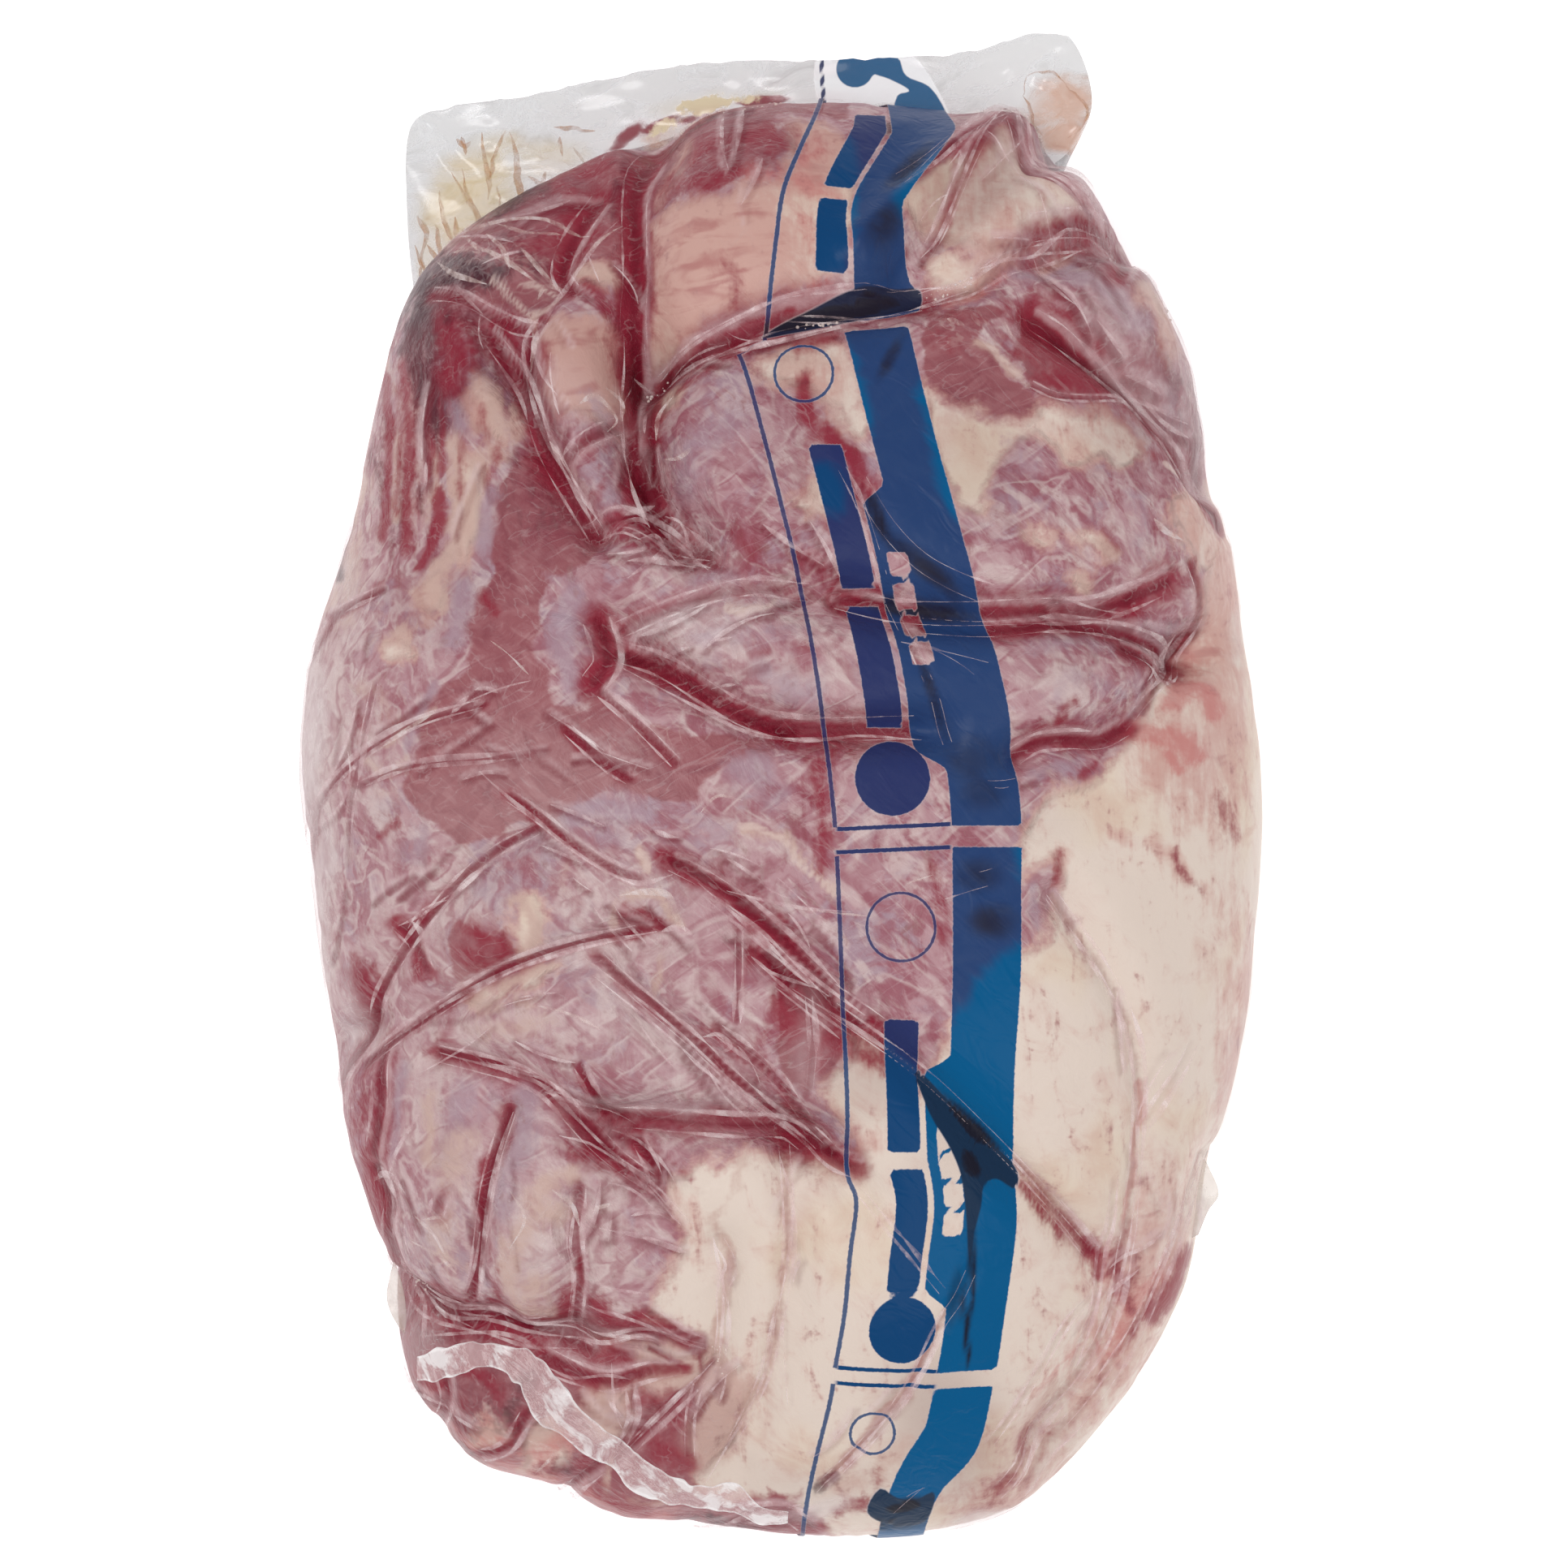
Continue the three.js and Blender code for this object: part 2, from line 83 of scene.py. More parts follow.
# Folds of the skin: path, half width, depth, and how red the juice in it is
FOLDS = [
    # between the round end of the thigh muscle and what lies below it
    ([(13, 46), (25, 43), (38, 42), (62, 42), (74, 42), (84, 45), (93, 49)], 3.2, 6, 1.0),
    ([(34, 39), (50, 38), (66, 39), (80, 38), (95, 35), (101, 33)], 2.4, 4, 1.0),
    ([(84, 34), (92, 31), (97, 28), (101, 32), (102, 38)], 2.6, 4, 1.0),
    ([(57, 7), (62, 10), (70, 11), (78, 11), (84, 14)], 2.6, 4, 0.9),
    ([(84, 14), (92, 23), (98, 28), (102, 33), (103, 39), (100, 48), (97, 54)], 1.2, 2, 0.45),
    ([(62, 116), (70, 111), (78, 104), (91, 89), (103, 73), (107, 63)], 2.6, 4, 0.95),
    ([(60, 97), (66, 94), (76, 93.5), (86, 95)], 1.0, 0.9, 0.5),
    ([(86, 137), (85, 130), (82, 124)], 3, 4, 0.9), ([(60, 135), (76, 139), (84, 137)], 2.6, 3.5, 0.75),
    ([(28, 146), (36, 150), (44, 156), (60, 164)], 2.4, 4, 0.7),
    ([(34, 130), (38, 136), (46, 152), (52, 159)], 1.8, 3, 0.6),
    ([(54, 158), (60, 152), (68, 146), (76, 141)], 2, 3, 0.5),
    # the transverse fold near the sealed end, two lips with juice between them
    ([(-35, 104), (-26, 106), (-4, 114), (8, 117), (34, 121)], 3.4, 6, 1.0),
    ([(34, 121), (45, 123), (54, 128), (64, 131), (74, 136)], 2.4, 4, 0.35),
    # the knot left of the middle and what runs into it
    ([(-33, 158), (-37, 150), (-37, 125), (-38, 113)], 3.4, 4.5, 0.8),
    ([(-38, 113), (-39, 97), (-39, 90), (-38, 83), (-36, 76)], 2.6, 9, 0.95),
    ([(-36, 84), (-35, 78), (-33, 72), (-30, 66)], 4.6, 7, 1.0),
    ([(-40, 92), (-50, 83), (-54, 79)], 2, 3, 0.7), ([(-30, 66), (-25, 62), (-17, 54)], 2.6, 3, 0.7),
    ([(-48, 62), (-40, 66), (-30, 62), (-24, 56)], 3, 2, 0.7),
    ([(-73, 111), (-64, 98), (-59, 83), (-51, 69), (-46, 61)], 2.6, 6, 0.9),
    ([(-46, 146), (-52, 136), (-55, 126), (-52, 120)], 2.6, 3, 0.8),
    ([(-58, 112), (-62, 107), (-62, 101)], 2, 2.5, 0.8),
    ([(-84, 117), (-74, 116), (-66, 112), (-60, 110)], 2, 2, 0.7),
    # the fold that crosses the heart of the cut
    ([(-39, 32), (-30, 29), (-14, 19), (-5, 15), (6, 13.5), (32, 14)], 3.2, 6.5, 1.0),
    ([(-46, 40), (-44, 35), (-43, 29), (-46, 24)], 3.6, 4, 0.8),
    ([(-41, 38), (-18, 46), (-6, 48), (6, 47)], 2.4, 2, 0.5),
    ([(-44, 22), (-38, 17), (-26, 5)], 1.6, 2.4, 0.6), ([(-52, 13), (-42, 4), (-37, 1)], 1.6, 3, 0.75),
    ([(14, 76), (18, 68), (26, 45), (37, 20), (40, 10)], 1.2, 1.6, 0.35),
    ([(18, 73), (25, 62), (33, 54), (42, 49), (50, 46)], 2.4, 2.6, 0.4),
    # the long diagonal
    ([(-66, -3), (-50, -15), (-42, -20), (-35, -23)], 1.8, 2.5, 0.55),
    ([(-27, -19), (-18, -24), (-8, -31), (2, -40), (12, -51)], 2.6, 4, 0.9),
    ([(-4, -42), (3, -48), (18, -59)], 3.4, 4, 1.0),
    ([(12, -55), (33, -70), (45, -81), (66, -103), (76, -116)], 1.8, 4, 0.6),
    ([(64, -101), (70, -108), (77, -117)], 2.6, 2, 0.7),
    # left side
    ([(-110, 41), (-104, 44), (-97, 47)], 1.2, 1.6, 0.9),
    ([(-116, 30), (-112, 36), (-109, 41)], 1.2, 1.2, 0.6),
    ([(-98, 24), (-103, 3), (-105, -5), (-107, -20)], 0.9, 1, 0.25),
    ([(-117, -22), (-116, -11), (-112, -3), (-104, 5), (-95, 11), (-86, 15), (-72, 19)], 1.1, 1.4, 0.6),
    ([(-104, -1), (-94, 3), (-84, 5), (-70, 6), (-57, 8)], 0.9, 0.8, 0.5),
    ([(-60, -11), (-70, -16), (-80, -24), (-95, -42), (-101, -52), (-106, -62)], 1.5, 2.4, 0.6),
    ([(-106, -62), (-109, -70), (-110, -78)], 2, 2, 0.8),
    ([(-94, -35), (-91, -40), (-88, -46)], 2.6, 1, 0.7),
    ([(-105, -70), (-98, -64), (-88, -57), (-70, -46), (-60, -42), (-50, -39), (-36, -36)], 1.7, 3.2, 0.75),
    # lower middle
    ([(-46, -43), (-28, -58), (-20, -65), (0, -84), (9, -91)], 2, 3.6, 0.8),
    ([(6, -87), (12, -92), (18, -94)], 3, 3, 1.0),
    ([(-16, -60), (-8, -66), (0, -74), (5, -82)], 1.8, 2, 0.6),
    ([(-45, -83.5), (-36, -83), (-12, -84.5), (0, -86), (5, -89)], 3, 6.5, 0.8),
    ([(-86, -67), (-76, -69), (-66, -72), (-58, -76), (-47, -88), (-33, -98)], 2.4, 4, 0.9),
    ([(-50, -69), (-47, -76), (-44, -84)], 1.6, 2.6, 0.8),
    ([(-36, -88), (-33, -93), (-31, -99)], 2, 3, 0.9), ([(-11, -36), (-11, -48), (-11.5, -58)], 1, 1, 0.5),
    ([(6, -52), (7, -62), (6, -76)], 1, 1, 0.5),
    # the lower left
    ([(-68, -81), (-71, -92), (-75, -117), (-78, -128)], 1.9, 3.6, 0.85),
    ([(-50, -98), (-51, -112), (-50, -120), (-53, -137)], 2, 3, 0.55),
    ([(-100, -94), (-97, -98), (-95, -103)], 3, 5, 0.9),
    ([(-95, -100), (-96, -112), (-94, -124), (-90, -130)], 2.2, 4, 0.95),
    ([(-100, -66), (-99, -78), (-100, -90)], 2.4, 1.5, 0.8), ([(-82, -99), (-83, -103)], 2, 1.5, 0.5),
    # where the mouth of the bag is gathered
    ([(-97, -127), (-90, -132), (-72, -136), (-62, -138), (-52, -139)], 3.6, 6, 1.0),
    ([(-52, -139), (-44, -139), (-36, -136), (-28, -136), (-20, -139)], 1.8, 3, 0.6),
    ([(-60, -143), (-52, -146), (-44, -148), (-36, -147), (-26, -144)], 2, 3, 0.8),
    ([(-34, -128), (-28, -132), (-20, -137)], 1.6, 2, 0.7),
    ([(-85, -143), (-82, -150), (-84, -156)], 2, 2.5, 0.7),
    ([(-62, -152), (-66, -158), (-72, -160)], 2, 2.5, 0.7),
    ([(-45, -166), (-50, -170), (-55, -176)], 2, 3, 0.7),
    ([(-38, -149), (-37, -155), (-40, -163)], 1.3, 2.6, 0.4),
    ([(-17, -143), (-24, -151), (-41, -166)], 1.4, 3, 0.5),
    ([(-20, -145), (-23, -155), (-23, -164)], 1.3, 2, 0.4),
    ([(-10, -180), (0, -179), (6, -183)], 2.6, 3, 0.9),
    # on the fat
    ([(-16, -112), (-13, -118), (-15, -124), (-15, -133), (-16, -142)], 1.6, 2.6, 0.18),
    ([(0, -90), (1, -102), (1, -115), (-1, -128), (-4, -142), (-8, -153), (-14, -165)], 1.5, 2.6, 0.22),
    ([(18, -99), (28, -110), (38, -122)], 1.1, 1.2, 0.1),
    ([(45, -118), (42, -124), (37.6, -130), (31, -144), (25.4, -153), (18, -162),
      (9.6, -171)], 1.5, 3, 0.4),
    ([(65, -27), (78, -47), (83, -58), (86, -72), (86, -110)], 2, 3, 0.2),
    ([(86, -110), (84, -125), (80, -140), (74, -150), (64, -163), (52, -174)], 2, 3, 0.35),
    ([(103, -92), (100, -105), (93, -125), (88, -137), (80, -150), (70, -163), (58, -174)], 1.8, 2.6, 0.3),
    ([(80, -96), (80, -110), (76, -134), (73, -148)], 1.3, 1.6, 0.25),
    ([(97, -62), (92, -74), (88, -84)], 1.3, 1.6, 0.12),
    ([(50, -162), (58, -151), (70, -131), (77, -126)], 1.2, 1.5, 0.2),
]

# Cream fat that shows, as closed outlines
FAT = [
    # the cap over the right and lower side, out over the wall
    [(103, 40), (101, 33), (97, 29), (93, 25), (90, 21), (88, 17), (84, 12), (82, 7), (77, 3), (73, 1),
      (67, -3), (61, -8), (58, -12), (58, -21), (64, -20), (67, -24), (66, -31), (60, -38), (52, -42),
      (44, -54), (38, -64), (34, -72), (28, -68), (21, -62), (16, -60), (14, -68), (10, -76), (18, -88),
      (16, -94), (8, -92), (-1, -92), (-9, -90), (-15, -92), (-20, -90), (-23, -94), (-28, -97),
      (-29, -100), (-26, -105), (-25, -108), (-27, -113), (-30, -120), (-31, -127), (-33, -131),
      (-27, -133), (-21, -136), (-18, -140), (-14, -147), (-12, -156), (-16, -165), (-24, -171),
      (-12, -176), (-2, -179), (8, -182), (20, -196), (60, -206), (100, -180), (130, -120), (146, -60),
      (150, 0), (140, 60), (120, 84), (108, 76), (106, 66), (104, 56), (101, 47)],
    # ragged edge of the round muscle
    [(34, 97), (41, 92), (50, 90), (57, 88), (60, 89), (63, 92), (67, 92), (70, 90), (75, 91), (80, 89),
      (85, 85), (89, 82), (86, 78), (83, 76), (80, 74), (77, 78), (73, 77), (70, 75), (67, 76), (66, 82),
      (60, 84), (55, 81), (51, 77), (48, 72), (49, 66), (46, 64), (42, 66), (38, 76), (36, 86)],
    [(104, 70), (100, 72), (96, 70), (93, 68), (92, 64), (94, 60), (97, 56), (99, 52), (103, 50), (108, 58),
      (108, 68)],
    [(69, 58), (72, 60), (76, 57), (75, 54), (71, 55)], [(70, 50), (74, 50), (74, 46), (71, 47)],
    [(60, 60), (64, 58), (63, 55), (60, 57)],
    # knob at the sealed end
    [(28, 140), (32, 146), (38, 150), (45, 153), (52, 156), (58, 152), (64, 147), (71, 142), (75, 139),
      (68, 137), (62, 134), (57, 131), (50, 130), (43, 132), (36, 134), (31, 136)],
    [(35, 131), (42, 130), (50, 129), (57, 130), (54, 127), (46, 124), (38, 124)],
    [(85, 118), (88, 122), (92, 116), (96, 106), (94, 104), (89, 111)],
    [(64, 133), (68, 134), (72, 133), (68, 129), (64, 128)],
    # top middle
    [(-34, 139), (-24, 141), (-12, 142), (-4, 144), (0, 150), (2, 159), (12, 160), (17, 150), (16, 140),
      (15, 130), (12, 124), (0, 120), (-10, 116), (-22, 110), (-31, 106), (-34, 112), (-34, 126)],
    [(-30, 146), (-28, 153), (-25, 157), (-23, 153), (-26, 148)],
    # shoulder
    [(-57, 111), (-50, 112), (-42, 112), (-41, 104), (-41, 96), (-40, 90), (-43, 88), (-49, 89), (-55, 91),
      (-58, 98)],
    [(-51, 122), (-48, 127), (-43, 127), (-42, 121), (-46, 120)],
    [(-33, 98), (-30, 100), (-26, 98), (-27, 94), (-32, 92)],
    # beside the ring below the transverse fold
    [(-8, 101), (0, 106), (10, 110), (15, 106), (18, 96), (20, 86), (16, 84), (12, 90), (6, 95), (0, 96)],
    [(1, 70), (6, 71), (10, 68), (5, 66)], [(8, 76), (12, 74), (13, 66), (9, 68)],
    # left streaks
    [(-79, 78), (-76, 80), (-73, 70), (-75, 58), (-79, 52), (-80, 60)],
    [(-89, 46), (-84, 52), (-80, 47), (-81, 41), (-87, 40)],
    [(-77, 96), (-72, 95), (-69, 88), (-70, 84), (-75, 86)], [(-95, 35), (-91, 36), (-89, 31), (-93, 30)],
    # lower left lumps
    [(-50, -148), (-44, -148), (-38, -149), (-38, -155), (-41, -160), (-46, -156), (-49, -152)],
    [(-37, -142), (-30, -139), (-22, -138.5), (-20, -142), (-21, -147), (-25, -150), (-31, -151.5),
      (-35, -148)],
    [(-50, -138.5), (-44, -138), (-38, -138), (-44, -140)],
    [(-76, -156), (-70, -152), (-65, -154), (-68, -159), (-74, -159)],
    [(-63, -155), (-57, -154), (-53, -158), (-52, -165), (-57, -169), (-62, -166), (-64, -160)],
    [(-63, -26), (-58, -30), (-59, -36), (-65, -42), (-66, -36)],
    [(-79, -52), (-74, -51), (-66, -48), (-70, -52), (-76, -55)],
    [(-64, -45), (-56, -45), (-58, -48), (-64, -50)],
]

# Bare muscle that shows, without silverskin
BARE = [
    [(-62, 84), (-57, 76), (-52, 68), (-46, 60), (-50, 52), (-57, 51), (-55, 49), (-58, 43), (-59, 35),
      (-57, 28), (-56, 21), (-47, 19), (-44, 23), (-36, 14), (-25, 13), (-12, 11), (-2, 9), (-8, 5),
      (-18, 0), (-22, -5), (-31, -4), (-42, -3), (-52, -7), (-60, -9), (-66, -10), (-68, -13), (-75, -14),
      (-81, -13), (-86, -10), (-90, -6), (-91, 0), (-87, 7), (-88, 13), (-86, 18), (-82, 23), (-77, 28),
      (-75, 32), (-76, 38), (-75, 44), (-72, 48), (-69, 51), (-70, 60), (-70, 70), (-67, 79)],
    [(33, 113), (35, 98), (41, 92), (50, 90), (57, 88), (61, 88), (63, 92), (60, 96), (54, 101), (50, 105),
      (46, 108), (48, 112), (56, 116), (50, 119), (40, 118)],
    [(58, 117), (66, 118), (74, 114), (82, 107), (89, 98), (86, 94), (76, 93), (66, 94), (60, 99)],
    [(-88, 116), (-82, 130), (-74, 140), (-63, 149), (-50, 158), (-34, 162), (-20, 166), (0, 170),
      (16, 172), (16, 164), (0, 162), (-2, 152), (-8, 145), (-34, 141), (-35, 118), (-41, 116), (-42, 128),
      (-50, 124), (-56, 113), (-60, 110), (-70, 116), (-80, 116)],
    [(-98, -127), (-75, -131), (-55, -133), (-35, -127), (-25, -136), (-19, -143), (-12, -150), (-16, -165),
      (-22, -172), (-8, -178), (0, -182), (0, -200), (-30, -200), (-70, -190), (-104, -166), (-112, -140)],
    [(87, 12), (92, 17), (97, 21), (101, 29), (104, 23), (106, 16), (102, 18), (98, 15), (99, 9), (96, 4),
      (91, 8)],
    [(-81, -33), (-74, -35), (-67, -39), (-68, -44), (-75, -47), (-80, -48)],
    [(-40, -36), (-38, -29), (-32, -30), (-27, -34), (-34, -37)],
    [(0, -46), (12, -55), (13, -68), (8, -74), (0, -72), (-2, -58)],
]

# Soft tints, as ellipses: place, radii, turn in degrees, strength
ROSE = [
    ((-58, 90), (8, 8), 0, 0.6), ((94, 90), (8, 10), 30, 0.8), ((82, 130), (8, 8), 0, 0.9),
    ((80, 92), (10, 7), 0, 0.6), ((-58, 72), (10, 18), 0, 0.7), ((-58, 147), (16, 8), 20, 0.8),
    ((-84, 60), (6, 16), 0, 0.5), ((104, 106), (5, 12), 20, 0.7), ((30, 70), (4, 10), 0, 0.3),
    ((-82, 94), (9, 14), 0, 0.9), ((2, 110), (12, 5), 15, 0.9), ((-6, 154), (20, 7), 0, 0.9),
    ((-100, -100), (5, 20), 0, 1.0), ((80, 90), (8, 5), 0, 0.5), ((-98, -118), (4, 12), 0, 0.9),
    ((-58, 56), (8, 14), 0, 0.4), ((-70, 56), (6, 10), 0, 0.5), ((-20, 152), (18, 8), 10, 0.9),
    ((-60, 138), (26, 10), 30, 0.8), ((-70, 100), (6, 14), 20, 0.7), ((-88, 90), (6, 26), -5, 0.55),
    ((-98, 92), (3, 22), -5, 0.6), ((-46, 118), (6, 6), 0, 0.6), ((-62, 92), (4, 12), 20, 0.8),
    ((-30, 62), (16, 8), -20, 0.75), ((-8, 60), (7, 14), 0, 0.5), ((5, 92), (5, 8), -20, 0.8),
    ((13, 80), (4, 10), 20, 0.75), ((4, 55), (8, 10), 0, 0.4), ((10, 4), (6, 9), 0, 0.7),
    ((6, -6), (6, 14), 0, 0.6), ((0, 8), (20, 4), 0, 0.5), ((66, 14), (10, 4), 10, 0.6),
    ((88, 30), (8, 6), 20, 0.7), ((82, 44), (12, 4), 10, 0.6), ((80, 58), (8, 9), 0, 0.5),
    ((96, 78), (5, 6), 0, 0.7), ((42, 112), (8, 6), 0, 0.4), ((92, 104), (3, 10), 25, 0.35),
    ((80, 132), (8, 5), -20, 0.5), ((52, 137), (8, 3), 20, 0.35), ((-104, -52), (3, 14), -12, 0.8),
    ((-92, -38), (4, 8), -30, 0.7), ((-100, -80), (4, 14), 0, 0.75), ((-76, -40), (8, 6), 0, 0.7),
    ((-34, -33), (7, 4), 0, 0.6), ((-14, -22), (12, 4), -20, 0.6), ((0, -42), (10, 8), -30, 0.6),
    ((6, -62), (7, 12), 0, 0.7), ((-46, -74), (6, 8), 0, 0.5), ((-25, -80), (22, 4), 0, 0.55),
    ((-33, -93), (5, 6), 0, 0.8), ((-48, -92), (14, 3), -20, 0.6), ((-83, -90), (8, 3), 0, 0.4),
    ((-66, -132), (20, 4), 0, 0.7), ((-44, -132), (12, 6), 0, 0.6), ((-88, -118), (5, 10), 0, 0.4),
    ((-116, -8), (3, 12), 0, 0.7), ((-109, 36), (3, 8), -20, 0.6), ((-104, 8), (4, 6), 0, 0.4),
    ((-96, -6), (8, 4), 20, 0.4), ((80, -120), (4, 7), 20, 0.7), ((97, -118), (3.4, 5), -30, 0.8),
    ((100, -6), (10, 6), 60, 0.3), ((111, -6), (3, 14), 0, 0.5), ((95, -20), (3, 9), 40, 0.5),
    ((82, -13), (5, 2.5), -40, 0.4), ((66, -20), (3, 5), 0, 0.55), ((104, -28), (3, 5), 30, 0.4),
    ((87, -122), (5, 8), 0, 0.4), ((88, -132), (5, 4), 0, 0.45), ((22, -86), (6, 3), 30, 0.4),
    ((20, -66), (8, 4), -35, 0.6), ((52, -176), (10, 5), 20, 0.5), ((62, -162), (4, 6), -40, 0.35),
    ((-12, -150), (6, 10), 15, 0.2), ((-8, 130), (26, 2), -8, 0.35), ((108, 60), (3, 18), 10, 0.4),
    ((106, 34), (3, 6), 0, 0.4), ((110, -60), (3, 30), -10, 0.3), ((40, 88), (4, 3), 0, 0.2),
    ((22, 4), (8, 6), 0, 0.35), ((36, -40), (4, 10), 0, 0.4),
]
BRUISE = [
    ((-84, 118), (8, 7), 30, 0.7), ((-82, 100), (9, 20), 0, 0.7), ((-98, 78), (3, 20), 0, 0.4),
    ((-80, 104), (12, 14), 0, 0.6), ((-66, 76), (5, 12), 0, 0.35), ((-84, 110), (8, 10), 0, 0.8),
    ((-70, 146), (14, 4), 25, 0.6), ((-72, 142), (9, 5), 25, 0.9), ((-84, 121), (9, 10), 40, 0.95),
    ((-74, 125), (9, 5), -10, 0.8), ((-90, 108), (4, 16), 10, 0.75), ((-94, 66), (4, 20), 0, 0.45),
    ((-38, 146), (6, 8), 0, 0.7), ((-37, 122), (4, 10), 0, 0.6), ((-62, 70), (8, 14), 25, 0.3),
    ((94, 96), (7, 18), 30, 0.5), ((100, 84), (4, 12), 30, 0.5), ((-80, -136), (14, 4), 0, 0.5),
    ((-66, -155), (10, 6), 10, 0.3), ((-20, -184), (20, 5), 0, 0.5), ((-84, 96), (6, 8), 0, 0.4),
    ((98, 40), (4, 5), 0, 0.35), ((82, 5), (5, 3), 30, 0.3), ((-53, -168), (10, 6), -20, 0.3),
    ((80, 130), (6, 3), -30, 0.3),
]
# Broad stretches of painted shade, a little darker and redder than the rest, and of painted light, a little
# lighter
PAINTED_SHADE_SPOTS = [
    ((-66, 102), (24, 22), 0, 1.3), ((-30, 90), (24, 14), 0, 0.8), ((4, 92), (16, 26), 0, 0.9),
    ((-60, 66), (28, 16), 0, 0.8), ((44, 80), (16, 22), 0, 1.2), ((84, 88), (14, 16), 0, 1.7),
    ((82, 130), (12, 10), 0, 2.2), ((42, 149), (18, 15), 0, 2.4), ((-10, 152), (30, 12), 8, 1.0),
    ((-62, 148), (16, 10), 30, 1.8), ((6, 68), (12, 12), 0, 0.8), ((-84, 46), (12, 12), 0, 0.9),
    ((62, 30), (16, 8), 0, 0.6), ((60, -8), (14, 8), 0, 0.5), ((40, -158), (14, 24), 20, 2.0),
    ((20, -172), (34, 8), 0, 0.8), ((62, -164), (14, 12), 40, 0.5), ((38, -92), (10, 14), 0, 0.6),
    ((20, -70), (14, 12), 0, 1.6), ((-50, 88), (44, 34), 0, 0.5), ((-72, -151), (20, 11), 0, 1.1),
    ((-92, -134), (11, 10), 0, 1.1), ((2, 108), (10, 8), 0, 1.0), ((-40, 72), (12, 12), 0, 0.7),
]
PAINTED_LIGHT_SPOTS = [
    ((-60, 0), (22, 16), 0, 0.7), ((-34, -24), (24, 14), 0, 0.6), ((-84, -48), (14, 12), 0, 0.7),
    ((-12, -72), (16, 8), 0, 0.7), ((-80, -8), (14, 12), 0, 0.6), ((-26, 34), (18, 8), 0, 1.1),
    ((-60, -105), (30, 32), 0, 0.6), ((-34, -146), (18, 10), 0, 1.3), ((-78, -166), (18, 8), 0, 1.0),
    ((82, -112), (14, 14), 0, 1.0), ((102, 8), (8, 14), 0, 0.7), ((66, -30), (8, 8), 0, 0.5),
    ((102, 48), (6, 12), 0, 0.6), ((-42, 0), (20, 10), 0, 0.4), ((26, 16), (14, 12), 0, 0.7),
    ((44, 12), (10, 12), 0, 0.7), ((62, 110), (10, 10), 0, 0.2),
]
PALE = [
    ((-113, 10), (7, 46), 0, 0.8), ((-82, -36), (16, 12), 0, 0.6), ((-40, -34), (14, 10), 0, 0.5),
    ((-88, -74), (8, 20), 0, 0.7), ((-44, -104), (9, 18), 0, 0.6), ((-86, -112), (7, 12), 0, 0.5),
    ((-70, -154), (7, 4), 0, 0.7), ((-60, -10), (14, 10), 0, 0.5), ((-70, -90), (8, 12), 0, 0.5),
    ((-40, -32), (20, 14), 0, 0.7), ((-78, -28), (18, 12), 0, 0.6), ((-42, -54), (20, 12), -30, 0.6),
    ((-100, 8), (8, 16), 0, 0.6), ((-20, -70), (16, 10), -40, 0.5), ((-80, -100), (10, 18), 0, 0.6),
    ((-98, -30), (8, 16), 0, 0.6), ((-80, -60), (14, 10), 0, 0.5), ((-8, -12), (14, 10), 0, 0.4),
    ((-100, -46), (5, 10), 0, 0.5), ((20, 14), (10, 12), 0, 0.5), ((30, 32), (8, 10), 0, 0.4),
    ((-110, 20), (7, 50), 0, 0.8), ((-112, -30), (5, 34), -6, 0.8), ((-102, 60), (5, 30), 12, 0.6),
    ((-20, 38), (18, 8), 5, 0.5), ((-2, 27), (14, 6), -8, 0.6), ((12, 26), (8, 8), 0, 0.6),
    ((-26, 51), (16, 4), 25, 0.45), ((-6, 68), (10, 3), 10, 0.35), ((-24, -48), (9, 10), 0, 0.5),
    ((-62, -58), (22, 8), 0, 0.6), ((-36, -66), (16, 8), -20, 0.45), ((-84, -82), (6, 12), 0, 0.5),
    ((-60, -112), (9, 18), -5, 0.75), ((-40, -112), (9, 14), 0, 0.45), ((-50, -96), (16, 4), -6, 0.6),
    ((-82, -110), (6, 12), 0, 0.35), ((-42, -24), (14, 4), -30, 0.35), ((-72, -24), (14, 8), 10, 0.35),
    ((-8, -2), (6, 6), 0, 0.25), ((62, 20), (8, 5), 30, 0.1), ((86, 52), (8, 6), 0, 0.35),
    ((-88, 40), (10, 16), 0, 0.4), ((-94, 8), (6, 10), 0, 0.4), ((-72, 60), (4, 10), 0, 0.5),
    ((-20, -88), (12, 3), 0, 0.5), ((2, -66), (3, 10), 0, 0.3), ((-24, 118), (8, 10), 0, 0.25),
    ((26, -24), (10, 6), 0, 0.3), ((-14, -46), (4, 10), 0, 0.3), ((-70, 136), (10, 2), 20, 0.5),
    ((-62, 122), (10, 3), -30, 0.55), ((74, 66), (4, 4), 0, 0.3),
]
